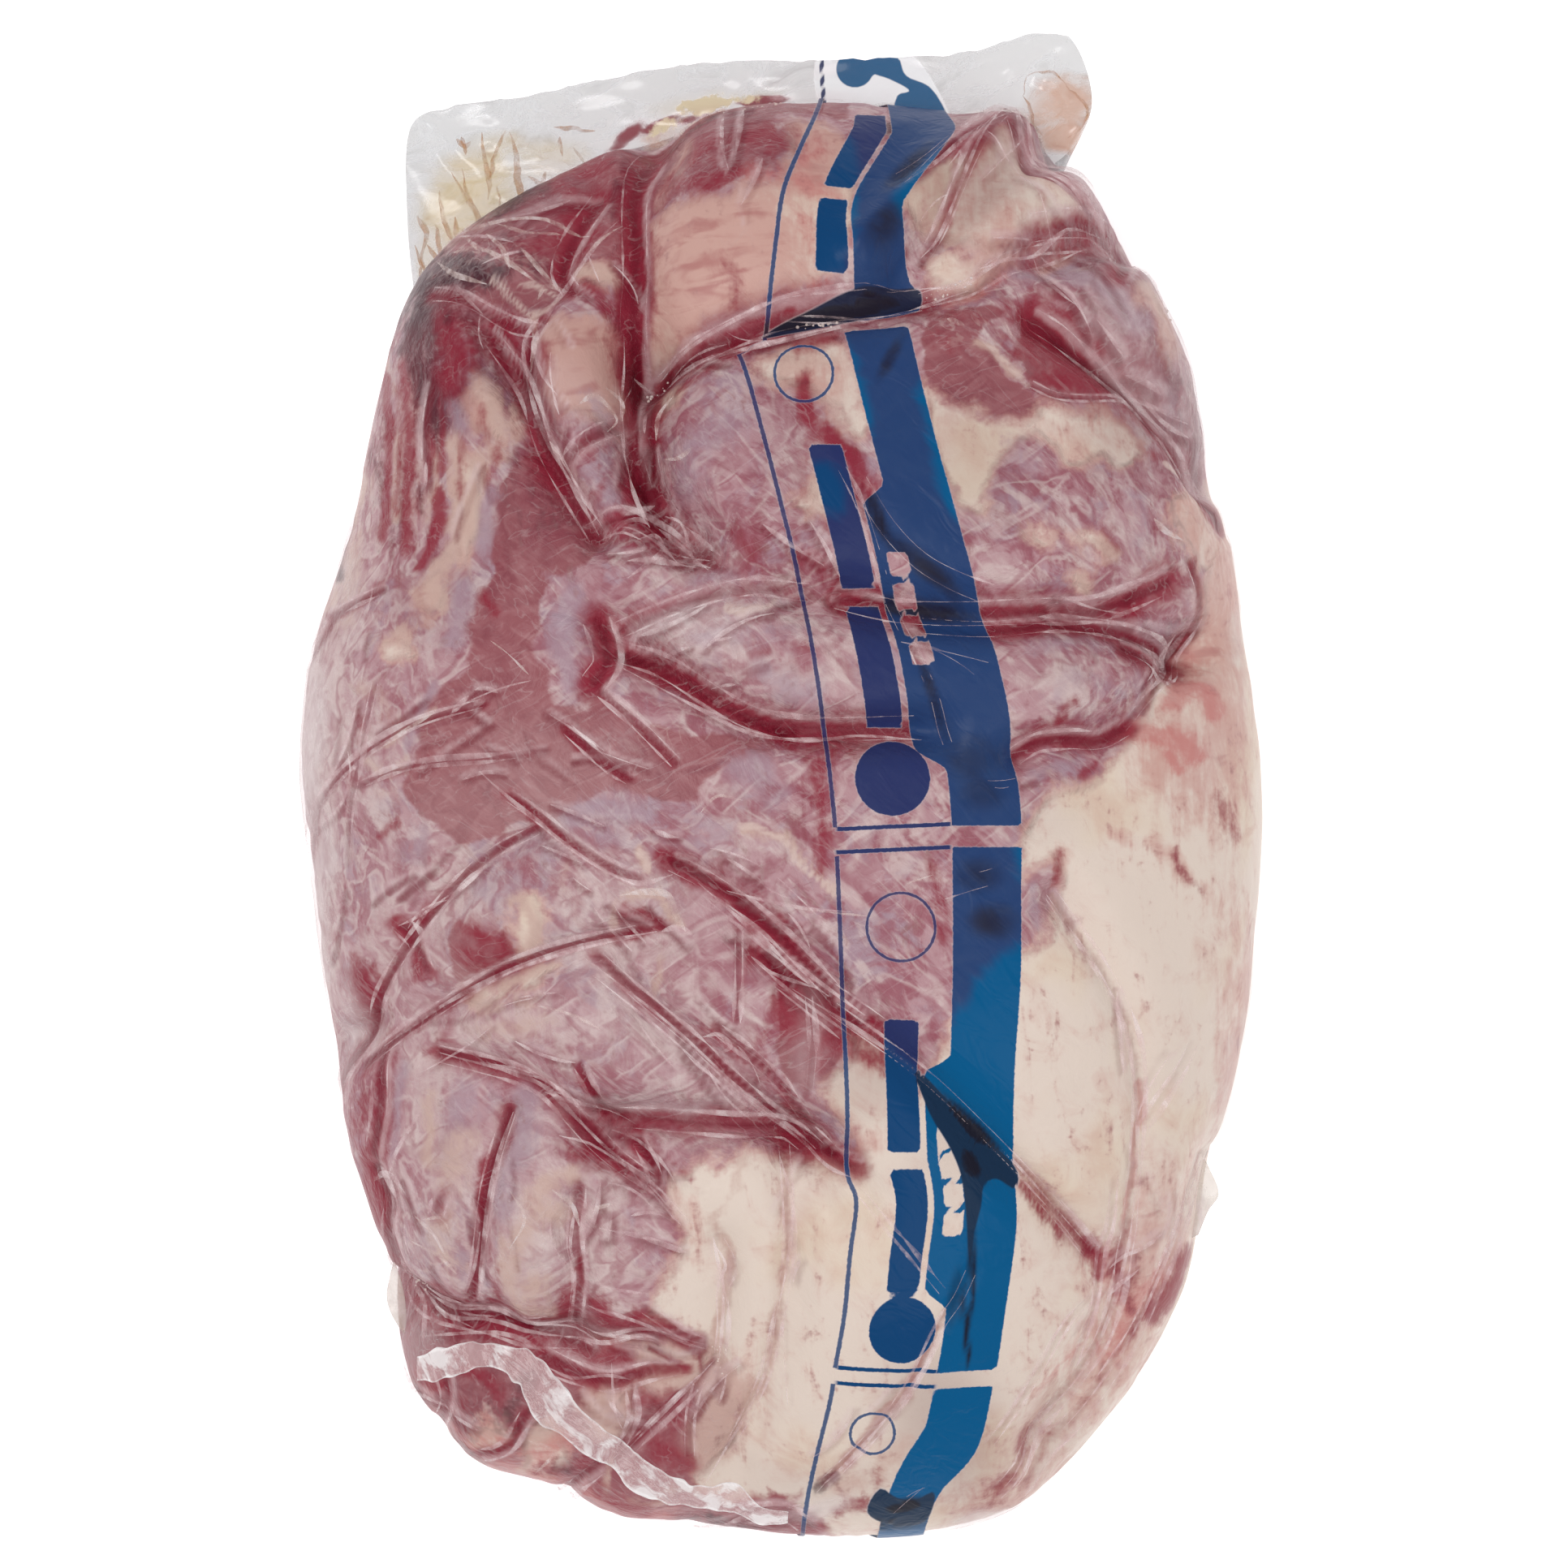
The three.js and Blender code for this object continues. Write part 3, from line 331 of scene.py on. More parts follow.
# Local colours of the tissue, and painted shade in a few folds on the fat, as brush strokes: path, half
# width, strength
STROKES = {
    "crimson": [
        ([(-63, 87), (-60, 78), (-56, 72)], 2.6, 0.9), ([(4, 108), (12, 110)], 2.4, 0.8),
        ([(-4, 108), (-14, 106)], 2, 0.7), ([(-99, -84), (-100, -94), (-99, -104)], 3.0, 1.1),
        ([(-98, -112), (-98, -122), (-95, -130)], 2.4, 1.0), ([(-66, 150), (-56, 153), (-44, 154)], 3, 0.8),
        ([(-24, 152), (-14, 155), (-2, 156)], 3, 0.8), ([(20, -177), (14, -179)], 2, 0.7),
        ([(62, -160), (58, -166)], 1.4, 0.6), ([(-98, -88), (-103, -92), (-101, -100)], 2.6, 1.0),
        ([(-104, -78), (-106, -86)], 2, 0.8), ([(62, 113), (74, 105), (84, 99)], 7.5, 1.1),
        ([(72, 102), (78, 100), (85, 97)], 7.5, 1.05), ([(-94, 96), (-94, 80), (-95, 66)], 1.2, 0.7),
        ([(-86, 90), (-87, 78), (-89, 66)], 1.2, 0.7), ([(-70, 84), (-72, 74)], 1.2, 0.6),
        ([(-78, 82), (-79, 70)], 1.2, 0.6), ([(62, 130), (70, 134), (78, 134), (86, 128)], 2.2, 0.8),
        ([(-14, 108), (6, 113), (14, 115)], 2.6, 0.7), ([(-24, 151), (-12, 152), (2, 156)], 3.4, 0.6),
        ([(-92, -134), (-80, -137), (-66, -139), (-50, -140)], 2.4, 0.6),
        ([(-88, -142), (-90, -150)], 2.4, 0.8), ([(16, -65), (24, -68), (30, -72)], 2.4, 0.8),
        ([(-99, -86), (-100, -96), (-98, -108)], 2.4, 0.8),
        # sealed end and shoulder
        ([(-36, 157), (-37, 130), (-37, 116), (-39, 107)], 3.8, 1.0),
        ([(-56, 126), (-50, 135), (-47, 138)], 2.6, 1.0), ([(-66, 131), (-60, 132), (-56, 134)], 2.6, 0.6),
        ([(-66, 152), (-50, 146), (-44, 146)], 3.2, 0.7), ([(-60, 140), (-52, 139), (-45, 137)], 2.2, 0.5),
        ([(-40, 158), (-20, 162), (-8, 164)], 1.4, 0.9), ([(-49, 121), (-46, 119), (-43, 116)], 2.4, 0.7),
        ([(-28, 149), (-24, 146), (-18, 145), (-12, 147)], 3.2, 0.8),
        ([(-22, 155), (-16, 156), (-8, 156), (0, 158)], 3.0, 0.7),
        ([(-14, 125), (-11, 122), (-11, 116)], 1.8, 0.55), ([(-58, 104), (-58, 96), (-59, 89)], 1.8, 0.85),
        ([(-42, 110), (-41, 102), (-41, 94)], 1.2, 0.7), ([(-54, 90), (-52, 85), (-48, 82)], 2.0, 0.6),
        ([(-38, 102), (-37, 93), (-37, 84)], 2.6, 1.0), ([(-33, 100), (-32, 93), (-34, 86)], 2.4, 0.9),
        ([(-36, 84), (-36, 76), (-32, 63)], 3.8, 1.15), ([(-46, 79), (-44, 74), (-47, 70)], 1.4, 0.7),
        ([(-40, 68), (-34, 66), (-22, 59)], 2.6, 0.9), ([(-30, 106), (-20, 108), (-10, 110)], 1.8, 0.9),
        ([(-26, 98), (-18, 102), (-8, 106)], 1.3, 0.7), ([(-70, 111), (-63, 97), (-60, 84)], 3.2, 1.0),
        ([(-63, 86), (-63, 79)], 2.6, 0.6),
        # left flank
        ([(-88, 108), (-88, 97), (-87, 88)], 3.0, 0.75), ([(-80, 112), (-79, 104), (-81, 97)], 4.0, 0.95),
        ([(-97, 99), (-97, 70), (-98, 60)], 1.3, 1.0), ([(-92, 102), (-92, 70), (-92, 57)], 1.5, 0.95),
        ([(-84, 92), (-83, 84), (-84, 76)], 1.2, 0.75), ([(-84, 71), (-84, 65), (-89, 53)], 1.3, 1.1),
        ([(-73, 91), (-72, 84)], 1.3, 0.7), ([(-95, 58), (-93, 48)], 1.6, 0.45),
        ([(-104, 17), (-101, 13)], 1.6, 0.45), ([(-107, 4), (-104, 1)], 1.4, 0.5),
        ([(-98, -13), (-94, -10)], 1.4, 0.8), ([(-96, 15), (-90, 13)], 1.4, 0.5),
        ([(-116, -14), (-114, -6)], 1.4, 0.6), ([(-115, -35), (-111, -37)], 1.8, 0.6),
        ([(-72, 45), (-70, 41)], 1.3, 0.9),
        # heart of the cut
        ([(-52, 13), (-44, 6), (-38, 1)], 1.4, 0.9),
        ([(-44, 39), (-42, 34), (-42, 30), (-45, 26)], 3.2, 1.0),
        ([(-38, 41), (-32, 43), (-26, 46)], 1.4, 0.7),
        ([(-38, 31), (-18, 20), (-8, 15), (2, 12)], 2.0, 0.9), ([(-8, 30), (0, 33), (8, 34)], 1.4, 0.5),
        ([(-68, -3), (-57, -11), (-50, -16)], 1.2, 0.7), ([(-28, -18), (-16, -25), (-10, -28)], 2.3, 1.0),
        ([(-46, 62), (-38, 60), (-30, 56)], 2.0, 0.5), ([(-12, 60), (-8, 56), (-6, 50)], 2.0, 0.5),
        ([(-24, 40), (-16, 42), (-10, 46)], 1.2, 0.5), ([(-4, -2), (0, 2), (6, 0)], 2.2, 0.45),
        ([(8, 6), (10, -14), (9, -21)], 2.3, 0.8), ([(12, 8), (20, 9)], 2.6, 0.7),
        ([(36, -20), (38, -28), (38, -37)], 2.0, 0.65),
        # lower left
        ([(-95, -35), (-92, -40), (-91, -47)], 2.0, 0.85), ([(-88, -31), (-91, -36)], 1.8, 0.7),
        ([(-106, -42), (-107, -52), (-108, -60)], 2.0, 0.8),
        ([(-102, -46), (-104, -52), (-105, -58)], 1.8, 0.7),
        ([(-99, -74), (-99, -82), (-100, -92)], 1.6, 0.9),
        ([(-105, -72), (-106, -80), (-106, -90)], 1.3, 0.55),
        ([(-83, -57), (-84, -64), (-81, -69)], 1.5, 0.6),
        ([(-77, -35), (-72, -37), (-69, -41), (-74, -45), (-78, -41)], 3.0, 0.75),
        ([(-38, -31), (-33, -32), (-30, -34), (-34, -36), (-39, -37)], 1.7, 0.8),
        ([(-48, -74), (-46, -80), (-46, -86)], 2.0, 0.95), ([(-43, -86), (-38, -88), (-34, -92)], 2.4, 1.0),
        ([(-52, -90), (-44, -91), (-38, -95)], 1.3, 0.85),
        ([(-73, -92), (-74, -104), (-76, -117)], 1.5, 0.9),
        ([(-55, -83), (-53, -88), (-52, -92)], 1.1, 0.5), ([(-28, -92), (-25, -94), (-22, -96)], 1.2, 0.7),
        ([(-12, -26), (-6, -27)], 1.1, 0.6), ([(-9, -31), (-4, -35), (1, -39)], 2.6, 0.95),
        ([(-9, -42), (-3, -44), (2, -47)], 2.6, 0.9), ([(-2, -52), (0, -58)], 2.2, 0.8),
        ([(-5, -62), (-6, -70), (0, -76)], 1.7, 0.6), ([(-20, -60), (-14, -64), (-10, -68)], 1.6, 0.7),
        ([(-84, -101), (-87, -103)], 1.2, 0.5), ([(-99, -98), (-96, -99), (-94, -98)], 1.9, 0.95),
        ([(-98, -104), (-97, -120), (-95, -127)], 1.7, 0.95),
        ([(-94, -100), (-94, -110), (-95, -118)], 1.0, 0.8),
        ([(-86, -125), (-90, -127), (-87, -128)], 2.6, 1.0), ([(-78, -128), (-84, -124)], 1.7, 0.6),
        ([(-92, -132), (-86, -134), (-78, -136)], 2.4, 0.95),
        ([(-78, -133), (-68, -135), (-60, -137)], 2.2, 0.95),
        ([(-72, -129), (-66, -132), (-58, -134)], 1.8, 0.9),
        ([(-53, -124), (-54, -130), (-56, -136)], 1.7, 0.9),
        ([(-69, -118), (-70, -126), (-68, -132)], 1.2, 0.6), ([(-50, -116), (-49, -124)], 1.2, 0.9),
        ([(-46, -127), (-42, -132), (-36, -134)], 2.8, 0.95),
        ([(-47, -142), (-42, -143), (-39, -146)], 2.4, 1.0),
        ([(-56, -143), (-50, -146), (-46, -148)], 1.3, 0.85),
        ([(-36, -129), (-30, -133), (-24, -137)], 1.9, 0.8), ([(-22, -139), (-21, -144)], 1.2, 0.8),
        ([(-34, -141), (-28, -142), (-25, -144)], 0.9, 0.85),
        ([(-34, -152), (-30, -154), (-26, -157)], 2.6, 0.7),
        ([(-34, -160), (-28, -163), (-24, -167)], 3.0, 0.7), ([(-28, -150), (-26, -155)], 2.0, 0.7),
        ([(-96, -138), (-94, -144), (-92, -150)], 2.0, 0.85), ([(-86, -148), (-84, -153)], 2.0, 0.8),
        ([(-78, -144), (-72, -146), (-68, -148)], 1.4, 0.85), ([(-77, -150), (-78, -157)], 1.4, 0.6),
        ([(-66, -158), (-72, -161), (-78, -160)], 1.3, 0.7),
        ([(-58, -166), (-52, -168), (-48, -166)], 2.0, 0.85),
        ([(-45, -172), (-40, -175), (-34, -177)], 2.2, 0.8),
        ([(-7, -182), (0, -184), (8, -183)], 2.6, 0.85), ([(-3, -176), (1, -175)], 1.2, 0.9),
        # middle and print side
        ([(5, 97), (6, 91), (9, 85)], 2.5, 0.9), ([(9, 86), (17, 77), (20, 72)], 2.2, 1.0),
        ([(6, 84), (5, 76), (5, 70)], 1.2, 0.5), ([(4, 66), (8, 65), (12, 62)], 1.8, 0.55),
        ([(5, 55), (12, 52), (24, 44)], 2.2, 0.75), ([(2, 58), (4, 52)], 1.6, 0.5),
        ([(10, -52), (22, -60), (28, -66)], 1.8, 1.0), ([(-2, -40), (5, -47), (11, -53)], 2.2, 1.0),
        ([(0, -56), (6, -59), (12, -63)], 4.0, 0.75), ([(8, -60), (8, -69)], 1.8, 0.9),
        ([(18, -61), (24, -66), (31, -71)], 2.1, 0.65), ([(0, -79), (6, -85), (12, -91)], 1.5, 0.95),
        ([(0, -88), (5, -92)], 3.2, 1.05),
        # round muscle and the side of the sealed end
        ([(40, 150), (50, 157), (54, 159)], 1.5, 0.95), ([(58, 133), (70, 138), (82, 137)], 1.4, 0.85),
        ([(58, 156), (64, 150), (76, 141)], 1.2, 0.7), ([(84, 134), (85, 128), (87, 124)], 1.6, 0.95),
        ([(34, 116), (40, 116), (46, 115)], 2.4, 0.45), ([(37, 110), (42, 107)], 3.0, 0.45),
        ([(50, 113), (54, 108)], 1.2, 0.5), ([(62, 116), (76, 106), (82, 102), (87, 97)], 3.6, 1.0),
        ([(64, 98), (72, 99), (80, 100)], 3.0, 0.9), ([(62, 108), (64, 103)], 3.0, 0.5),
        ([(85, 97), (90, 89), (96, 82), (104, 69), (107, 62)], 1.8, 1.05),
        ([(94, 84), (98, 77), (100, 72)], 1.6, 0.5), ([(86, 82), (92, 79)], 1.5, 0.55),
        ([(88, 66), (89, 60)], 1.4, 0.5), ([(78, 66), (76, 60), (80, 56)], 1.4, 0.45),
        ([(84, 45), (88, 36), (95, 35), (101, 33)], 1.7, 0.9), ([(98, 55), (98, 50)], 0.8, 0.85),
        ([(69, 18), (65, 12)], 1.8, 0.6), ([(86, 22), (84, 16)], 1.2, 0.5), ([(76, 5), (73, 3)], 0.9, 0.8),
        # fat cap
        ([(107, -3), (109, -8), (110, -14)], 2.2, 0.5), ([(94, -18), (96, -22), (102, -27)], 1.1, 0.55),
        ([(66, -17), (66, -24)], 1.4, 0.75), ([(58, -98), (66, -107), (69, -111)], 1.1, 0.85),
        ([(76, -113), (78, -117), (78, -122)], 1.7, 0.95), ([(83, -116), (82, -122), (84, -127)], 2.0, 0.6),
        ([(87, -122), (86, -128), (88, -132)], 1.8, 0.45),
        ([(101, -116), (95, -127), (92, -133)], 1.9, 1.0), ([(90, -134), (88, -139)], 1.2, 0.65),
        ([(62, -164), (60, -166)], 1.4, 0.6), ([(56, -170), (52, -176)], 2.8, 0.45),
        ([(22, -168), (24, -176)], 1.4, 0.5), ([(2, -178), (4, -174)], 1.2, 0.7),
    ],
    "plum": [
        ([(12, -169), (8, -173)], 1.2, 0.9), ([(-86, 120), (-80, 118), (-76, 122)], 3.2, 0.9),
        ([(-80, 126), (-74, 124), (-70, 123)], 3.2, 0.9), ([(-70, 143), (-66, 145), (-60, 147)], 2.6, 0.8),
        ([(-88, 115), (-88, 104), (-86, 87)], 3.0, 0.75), ([(-64, 128), (-60, 126)], 2.4, 0.5),
        ([(-70, 132), (-62, 134)], 2.6, 0.45), ([(-38, 153), (-38, 146)], 3.0, 0.85),
        ([(-38, 123), (-38, 114)], 2.6, 0.7), ([(-80, 112), (-74, 113)], 2.6, 0.5),
        ([(-56, 79), (-52, 72), (-48, 64)], 1.7, 1.1), ([(-62, 96), (-60, 88), (-58, 82)], 1.6, 0.6),
        ([(-38, 96), (-39, 88)], 1.6, 0.8), ([(-35, 80), (-35, 73)], 2.0, 0.7),
        ([(-88, 73), (-88, 66)], 1.2, 0.5), ([(-106, 68), (-108, 60), (-110, 50)], 0.5, 0.8),
        ([(-40, 158), (-24, 161), (-8, 164)], 1.4, 0.6), ([(24, 162), (34, 160)], 2.0, 0.8),
        ([(-78, -131), (-84, -136), (-76, -138)], 2.3, 0.65), ([(-66, -150), (-63, -155)], 2.2, 0.5),
        ([(-60, -145), (-63, -146)], 2.0, 0.6), ([(-54, -166), (-50, -170)], 2.2, 0.6),
        ([(-17, -182), (-8, -183)], 2.0, 0.8), ([(-80, -158), (-72, -163)], 1.8, 0.5),
        ([(-92, -148), (-88, -153)], 1.6, 0.5), ([(94, 83), (98, 77)], 1.5, 0.45),
        ([(84, 133), (84, 127)], 1.2, 0.9), ([(54, 160), (56, 157)], 1.3, 0.95),
        ([(50, 163), (56, 165), (62, 166)], 0.8, 0.8), ([(2, -180), (0, -178)], 1.4, 0.9),
    ],
    "lilac": [
        ([(-63, -78), (-66, -90), (-68, -100)], 4, 0.9), ([(-78, -76), (-79, -90)], 3.4, 0.8),
        ([(-96, 99), (-96, 91)], 1.4, 0.7), ([(-80, 91), (-78, 86)], 2.2, 0.8),
        ([(-70, 89), (-68, 86)], 1.4, 0.6), ([(-48, 94), (-45, 91), (-46, 87), (-51, 84)], 2.0, 0.85),
        ([(-46, 78), (-44, 73), (-40, 71)], 2.4, 1.0), ([(-42, 76), (-46, 72)], 1.8, 0.6),
        ([(-72, 56), (-73, 63), (-71, 71)], 2.0, 0.95), ([(-77, 47), (-78, 40), (-79, 33)], 2.2, 0.95),
        ([(-84, 23), (-88, 14), (-90, 8)], 1.5, 0.8), ([(-92, -1), (-91, -6)], 1.0, 0.8),
        ([(-51, 46), (-53, 40), (-53, 32), (-51, 24)], 2.8, 0.95),
        ([(-50, -8), (-42, -6), (-34, -8)], 3.4, 0.85), ([(-44, -12), (-36, -14)], 3.4, 0.75),
        ([(-10, 3), (-6, 4), (-2, -2)], 4.0, 0.85), ([(-22, -8), (-16, -12)], 2.6, 0.5),
        ([(-88, -12), (-90, -18)], 2.6, 0.65), ([(-62, -14), (-56, -18)], 3.4, 0.55),
        ([(-66, -24), (-74, -26)], 3.4, 0.55), ([(-26, 72), (-23, 77)], 4.4, 0.75),
        ([(-20, 83), (-12, 87)], 5.4, 0.65), ([(-64, -80), (-64, -87)], 2.1, 0.85),
        ([(-72, -78), (-76, -84)], 2.6, 0.5), ([(-66, -96), (-67, -104)], 2.0, 0.75),
        ([(-94, -70), (-95, -80), (-95, -88)], 1.5, 0.75), ([(-86, -108), (-88, -116)], 2.0, 0.5),
        ([(-6, 28), (0, 24), (8, 22)], 3.2, 0.7), ([(-20, 36), (-10, 36), (0, 34)], 3.4, 0.55),
        ([(-22, 50), (-12, 50)], 1.8, 0.6), ([(56, 82), (56, 76), (62, 78)], 3.8, 0.6),
        ([(84, 68), (87, 62), (84, 56)], 2.6, 0.6),
        ([(70, 125), (76, 122), (82, 116), (86, 110)], 2.1, 0.9),
        ([(56, 127), (64, 126), (72, 128)], 1.2, 0.85), ([(86, 104), (92, 98), (97, 89)], 2.0, 0.7),
        ([(101, 97), (103, 87), (105, 78)], 1.4, 0.7), ([(62, 126), (58, 121)], 1.6, 0.5),
        ([(84, 38), (92, 39), (98, 38)], 2.4, 0.75), ([(60, 33), (70, 34), (82, 34)], 2.4, 0.6),
        ([(86, 26), (88, 22)], 1.8, 0.6), ([(64, 20), (70, 24), (78, 22)], 2.6, 0.5),
        # The strokes from (66, -27) and (60, -24) are painted shade beside a fold on the fat
        ([(60, 2), (66, 3), (72, 6)], 1.6, 0.7), ([(66, -27), (70, -34)], 1.2, 0.75),
        ([(60, -24), (61, -35)], 1.2, 0.75), ([(22, -4), (18, -8)], 3.0, 0.5),
    ],
    "cream": [
        # The first three strokes and the one from (66, -28) lie in folds on the fat: painted shade
        ([(36.6, -131), (30, -144), (24.4, -153), (17, -162), (9, -171)], 1.2, 1.0),
        ([(-17, -106), (-14, -117), (-16, -130), (-17, -142), (-24, -151)], 1.3, 0.95),
        ([(0, -92), (1, -104), (1, -116), (-1, -129), (-4, -142), (-8, -153), (-15, -165)], 1.2, 0.85),
        ([(-17, -146), (-16, -154), (-19, -163)], 4.6, 1.1),
        ([(-12, -146), (-10, -156), (-14, -166)], 3, 0.6),
        ([(-10, -92), (-13, -100), (-18, -106)], 1.2, 0.7),
        ([(57, -166), (62, -160), (66, -152)], 4.4, 0.7), ([(14, -172), (24, -168), (29, -160)], 3.4, 0.6),
        ([(66, -28), (78, -47), (83, -60), (86, -76), (86, -110)], 1.2, 0.6),
        ([(-78, -86), (-80, -94)], 3.4, 0.8), ([(-84, -160), (-76, -166), (-66, -171)], 3, 0.7),
        ([(-50, 125), (-46, 125.5), (-42, 124)], 2.1, 1.0),
        ([(-74, 97), (-72, 94), (-70, 88), (-71, 80)], 2.6, 0.9), ([(-66, 93), (-66, 86)], 1.8, 0.95),
        ([(-96, 103), (-95, 95)], 1.3, 0.55), ([(-103, 86), (-104, 74), (-106, 64)], 1.6, 0.8),
        ([(-95, 85), (-95, 74), (-95, 64)], 1.0, 0.75), ([(-86, 79), (-85, 72), (-87, 64)], 1.2, 0.65),
        ([(-80, 82), (-79, 72), (-81, 63)], 2.2, 1.0), ([(-74, 80), (-75, 70), (-77, 61)], 1.9, 0.95),
        ([(-62, 114), (-60, 107), (-62, 101)], 0.6, 0.8), ([(-58, 85), (-55, 80), (-52, 76)], 0.7, 0.9),
        ([(-31, 98.5), (-28, 99), (-25, 97)], 1.8, 1.0), ([(-26, 155), (-25, 149)], 1.4, 0.55),
        ([(-106, 60), (-106, 50), (-107, 40)], 3.4, 0.65), ([(-112, 44), (-108, 48)], 2.4, 0.65),
        ([(-79, 64), (-81, 56), (-85, 49), (-82, 43)], 2.6, 1.0), ([(-90, 50), (-88, 44)], 1.6, 0.5),
        ([(-97, 34), (-92, 37), (-89, 32)], 1.7, 0.6), ([(-102, 24), (-96, 20), (-93, 14)], 2.4, 0.5),
        ([(-14, 43), (-10, 42.5), (-4, 43)], 0.9, 1.0), ([(-96, 9), (-90, 13), (-83, 17)], 0.6, 0.75),
        ([(-34, -16), (-33, -20)], 1.2, 1.0), ([(-102, 6), (-96, 3), (-90, 6)], 1.6, 0.5),
        ([(-98, -2), (-92, -2)], 1.6, 0.45), ([(-65, -28), (-61, -33), (-62, -39), (-65, -43)], 1.9, 0.95),
        ([(-79, -51), (-75, -54), (-72, -55)], 1.9, 0.85), ([(-70, -50), (-64, -47), (-58, -45)], 1.3, 0.9),
        ([(-66, -52), (-62, -54)], 1.6, 0.6), ([(-40, -29), (-41, -34), (-42, -37)], 0.8, 0.85),
        ([(-37, -27), (-32, -26), (-29, -28), (-28, -32), (-25, -34)], 0.8, 1.0),
        ([(-31, -44), (-32, -51)], 1.0, 0.75), ([(-52, -20), (-53, -25)], 1.2, 0.5),
        ([(-87, -76), (-86, -84), (-85, -91)], 1.5, 0.75),
        ([(-52, -95), (-58, -97), (-60, -101), (-55, -104)], 2.4, 0.9),
        ([(-61, -105), (-64, -112), (-66, -121)], 2.2, 0.8),
        ([(-60, -58), (-66, -60), (-73, -60)], 3.4, 0.5),
        ([(-74, -152), (-70, -154), (-67, -152)], 1.6, 0.6), ([(-62, -158), (-58, -156)], 2.0, 0.85),
        ([(-62, -162), (-63, -167)], 1.6, 0.65), ([(-44, -150), (-45, -155), (-41, -158)], 3.4, 1.1),
        ([(-38, -149), (-37, -156)], 0.9, 0.95),
        ([(-36, -146), (-30, -146), (-26, -147), (-21, -144)], 3.4, 1.1),
        ([(-48, -138.6), (-42, -138), (-38, -138)], 0.8, 1.0), ([(-30, -140), (-22, -139)], 1.2, 0.75),
        ([(-60, -120), (-61, -128), (-58, -132)], 3.2, 0.75),
        ([(-68, -112), (-66, -122), (-62, -132)], 2.6, 0.75),
        ([(-82, -104), (-84, -112), (-80, -118)], 2.0, 0.5), ([(-36, -174), (-30, -176)], 1.6, 0.55),
        ([(-98, -117), (-97, -123)], 0.7, 0.75), ([(-42, -167), (-43, -173)], 0.7, 0.85),
        ([(-28, -172), (-22, -174)], 1.6, 0.6), ([(46, 107), (50, 106), (57, 100)], 1.3, 0.9),
        ([(74, 57), (78, 55)], 1.3, 0.9), ([(72, 49.5), (74, 47)], 1.0, 0.9),
        ([(0, 100), (4, 104), (10, 104)], 2.4, 0.8), ([(8, 76), (8, 68), (6, 64)], 1.4, 0.7),
        ([(88, 120), (91, 114)], 1.6, 0.7), ([(60, 64), (58, 58), (64, 56)], 1.6, 0.45),
        ([(66, 2), (72, 0)], 1.2, 0.5), ([(2, -14), (8, -22), (13, -27)], 0.9, 0.9),
        ([(-10, -10), (-4, -12), (1, -12)], 0.7, 0.9),
    ],
    "salmon": [
        ([(95, -122), (88, -132), (82, -142)], 3, 0.7), ([(78, -118), (82, -128)], 3, 0.6),
        ([(62, -150), (68, -146), (76, -140)], 2, 0.5), ([(-72, -154), (-64, -158), (-58, -164)], 3.4, 0.7),
        ([(-90, -148), (-72, -162), (-50, -173), (-30, -180)], 3.6, 0.7),
        ([(-64, -164), (-52, -160)], 3, 0.6), ([(86, 13), (98, 10), (100, 7)], 2.5, 1.0),
        ([(96, 20), (101, 24), (104, 20), (105, 17)], 2.2, 1.0), ([(94, 8), (96, 4)], 1.7, 1.0),
        ([(86.3, -74), (86.3, -98), (85, -108)], 1.0, 0.9), ([(106, 28), (106, 34)], 1.8, 0.5),
        ([(40, 120), (48, 122), (54, 126)], 1.3, 0.7), ([(100, 30), (102, 26)], 1.8, 0.5),
        ([(-8, 146), (6, 144), (12, 140)], 2.6, 0.6), ([(4, 150), (8, 154)], 2.8, 0.6),
        ([(6, 134), (10, 128)], 2.2, 0.5), ([(66, 131), (72, 134)], 1.4, 0.5),
        ([(0, 116), (6, 120), (12, 122)], 1.4, 0.7),
    ],
    "strand": [
        ([(-11, -9), (-4, -11), (0, -13), (5, -20), (13, -27)], 1.0, 1.0),
        ([(-71, 122), (-68, 118), (-64, 115), (-59, 115), (-56, 118), (-60, 121), (-65, 120)], 1.1, 0.8),
        ([(-84, 130), (-78, 132), (-72, 134)], 1.2, 0.5), ([(-74, 128), (-70, 124), (-66, 120)], 1.2, 0.5),
        ([(93, 78), (96, 76), (100, 76)], 1.0, 1.0), ([(50, 106), (54, 104), (60, 97)], 1.1, 0.9),
        ([(-72, -150), (-68, -152), (-66, -156)], 1.1, 0.7), ([(-35, 16), (-32, 13), (-28, 17)], 1.3, 0.5),
        ([(-14, 43), (-10, 42), (-4, 43), (-2, 45)], 1.0, 1.0),
        ([(-34, -17), (-32, -18), (-33, -20)], 1.2, 1.0),
    ],
}
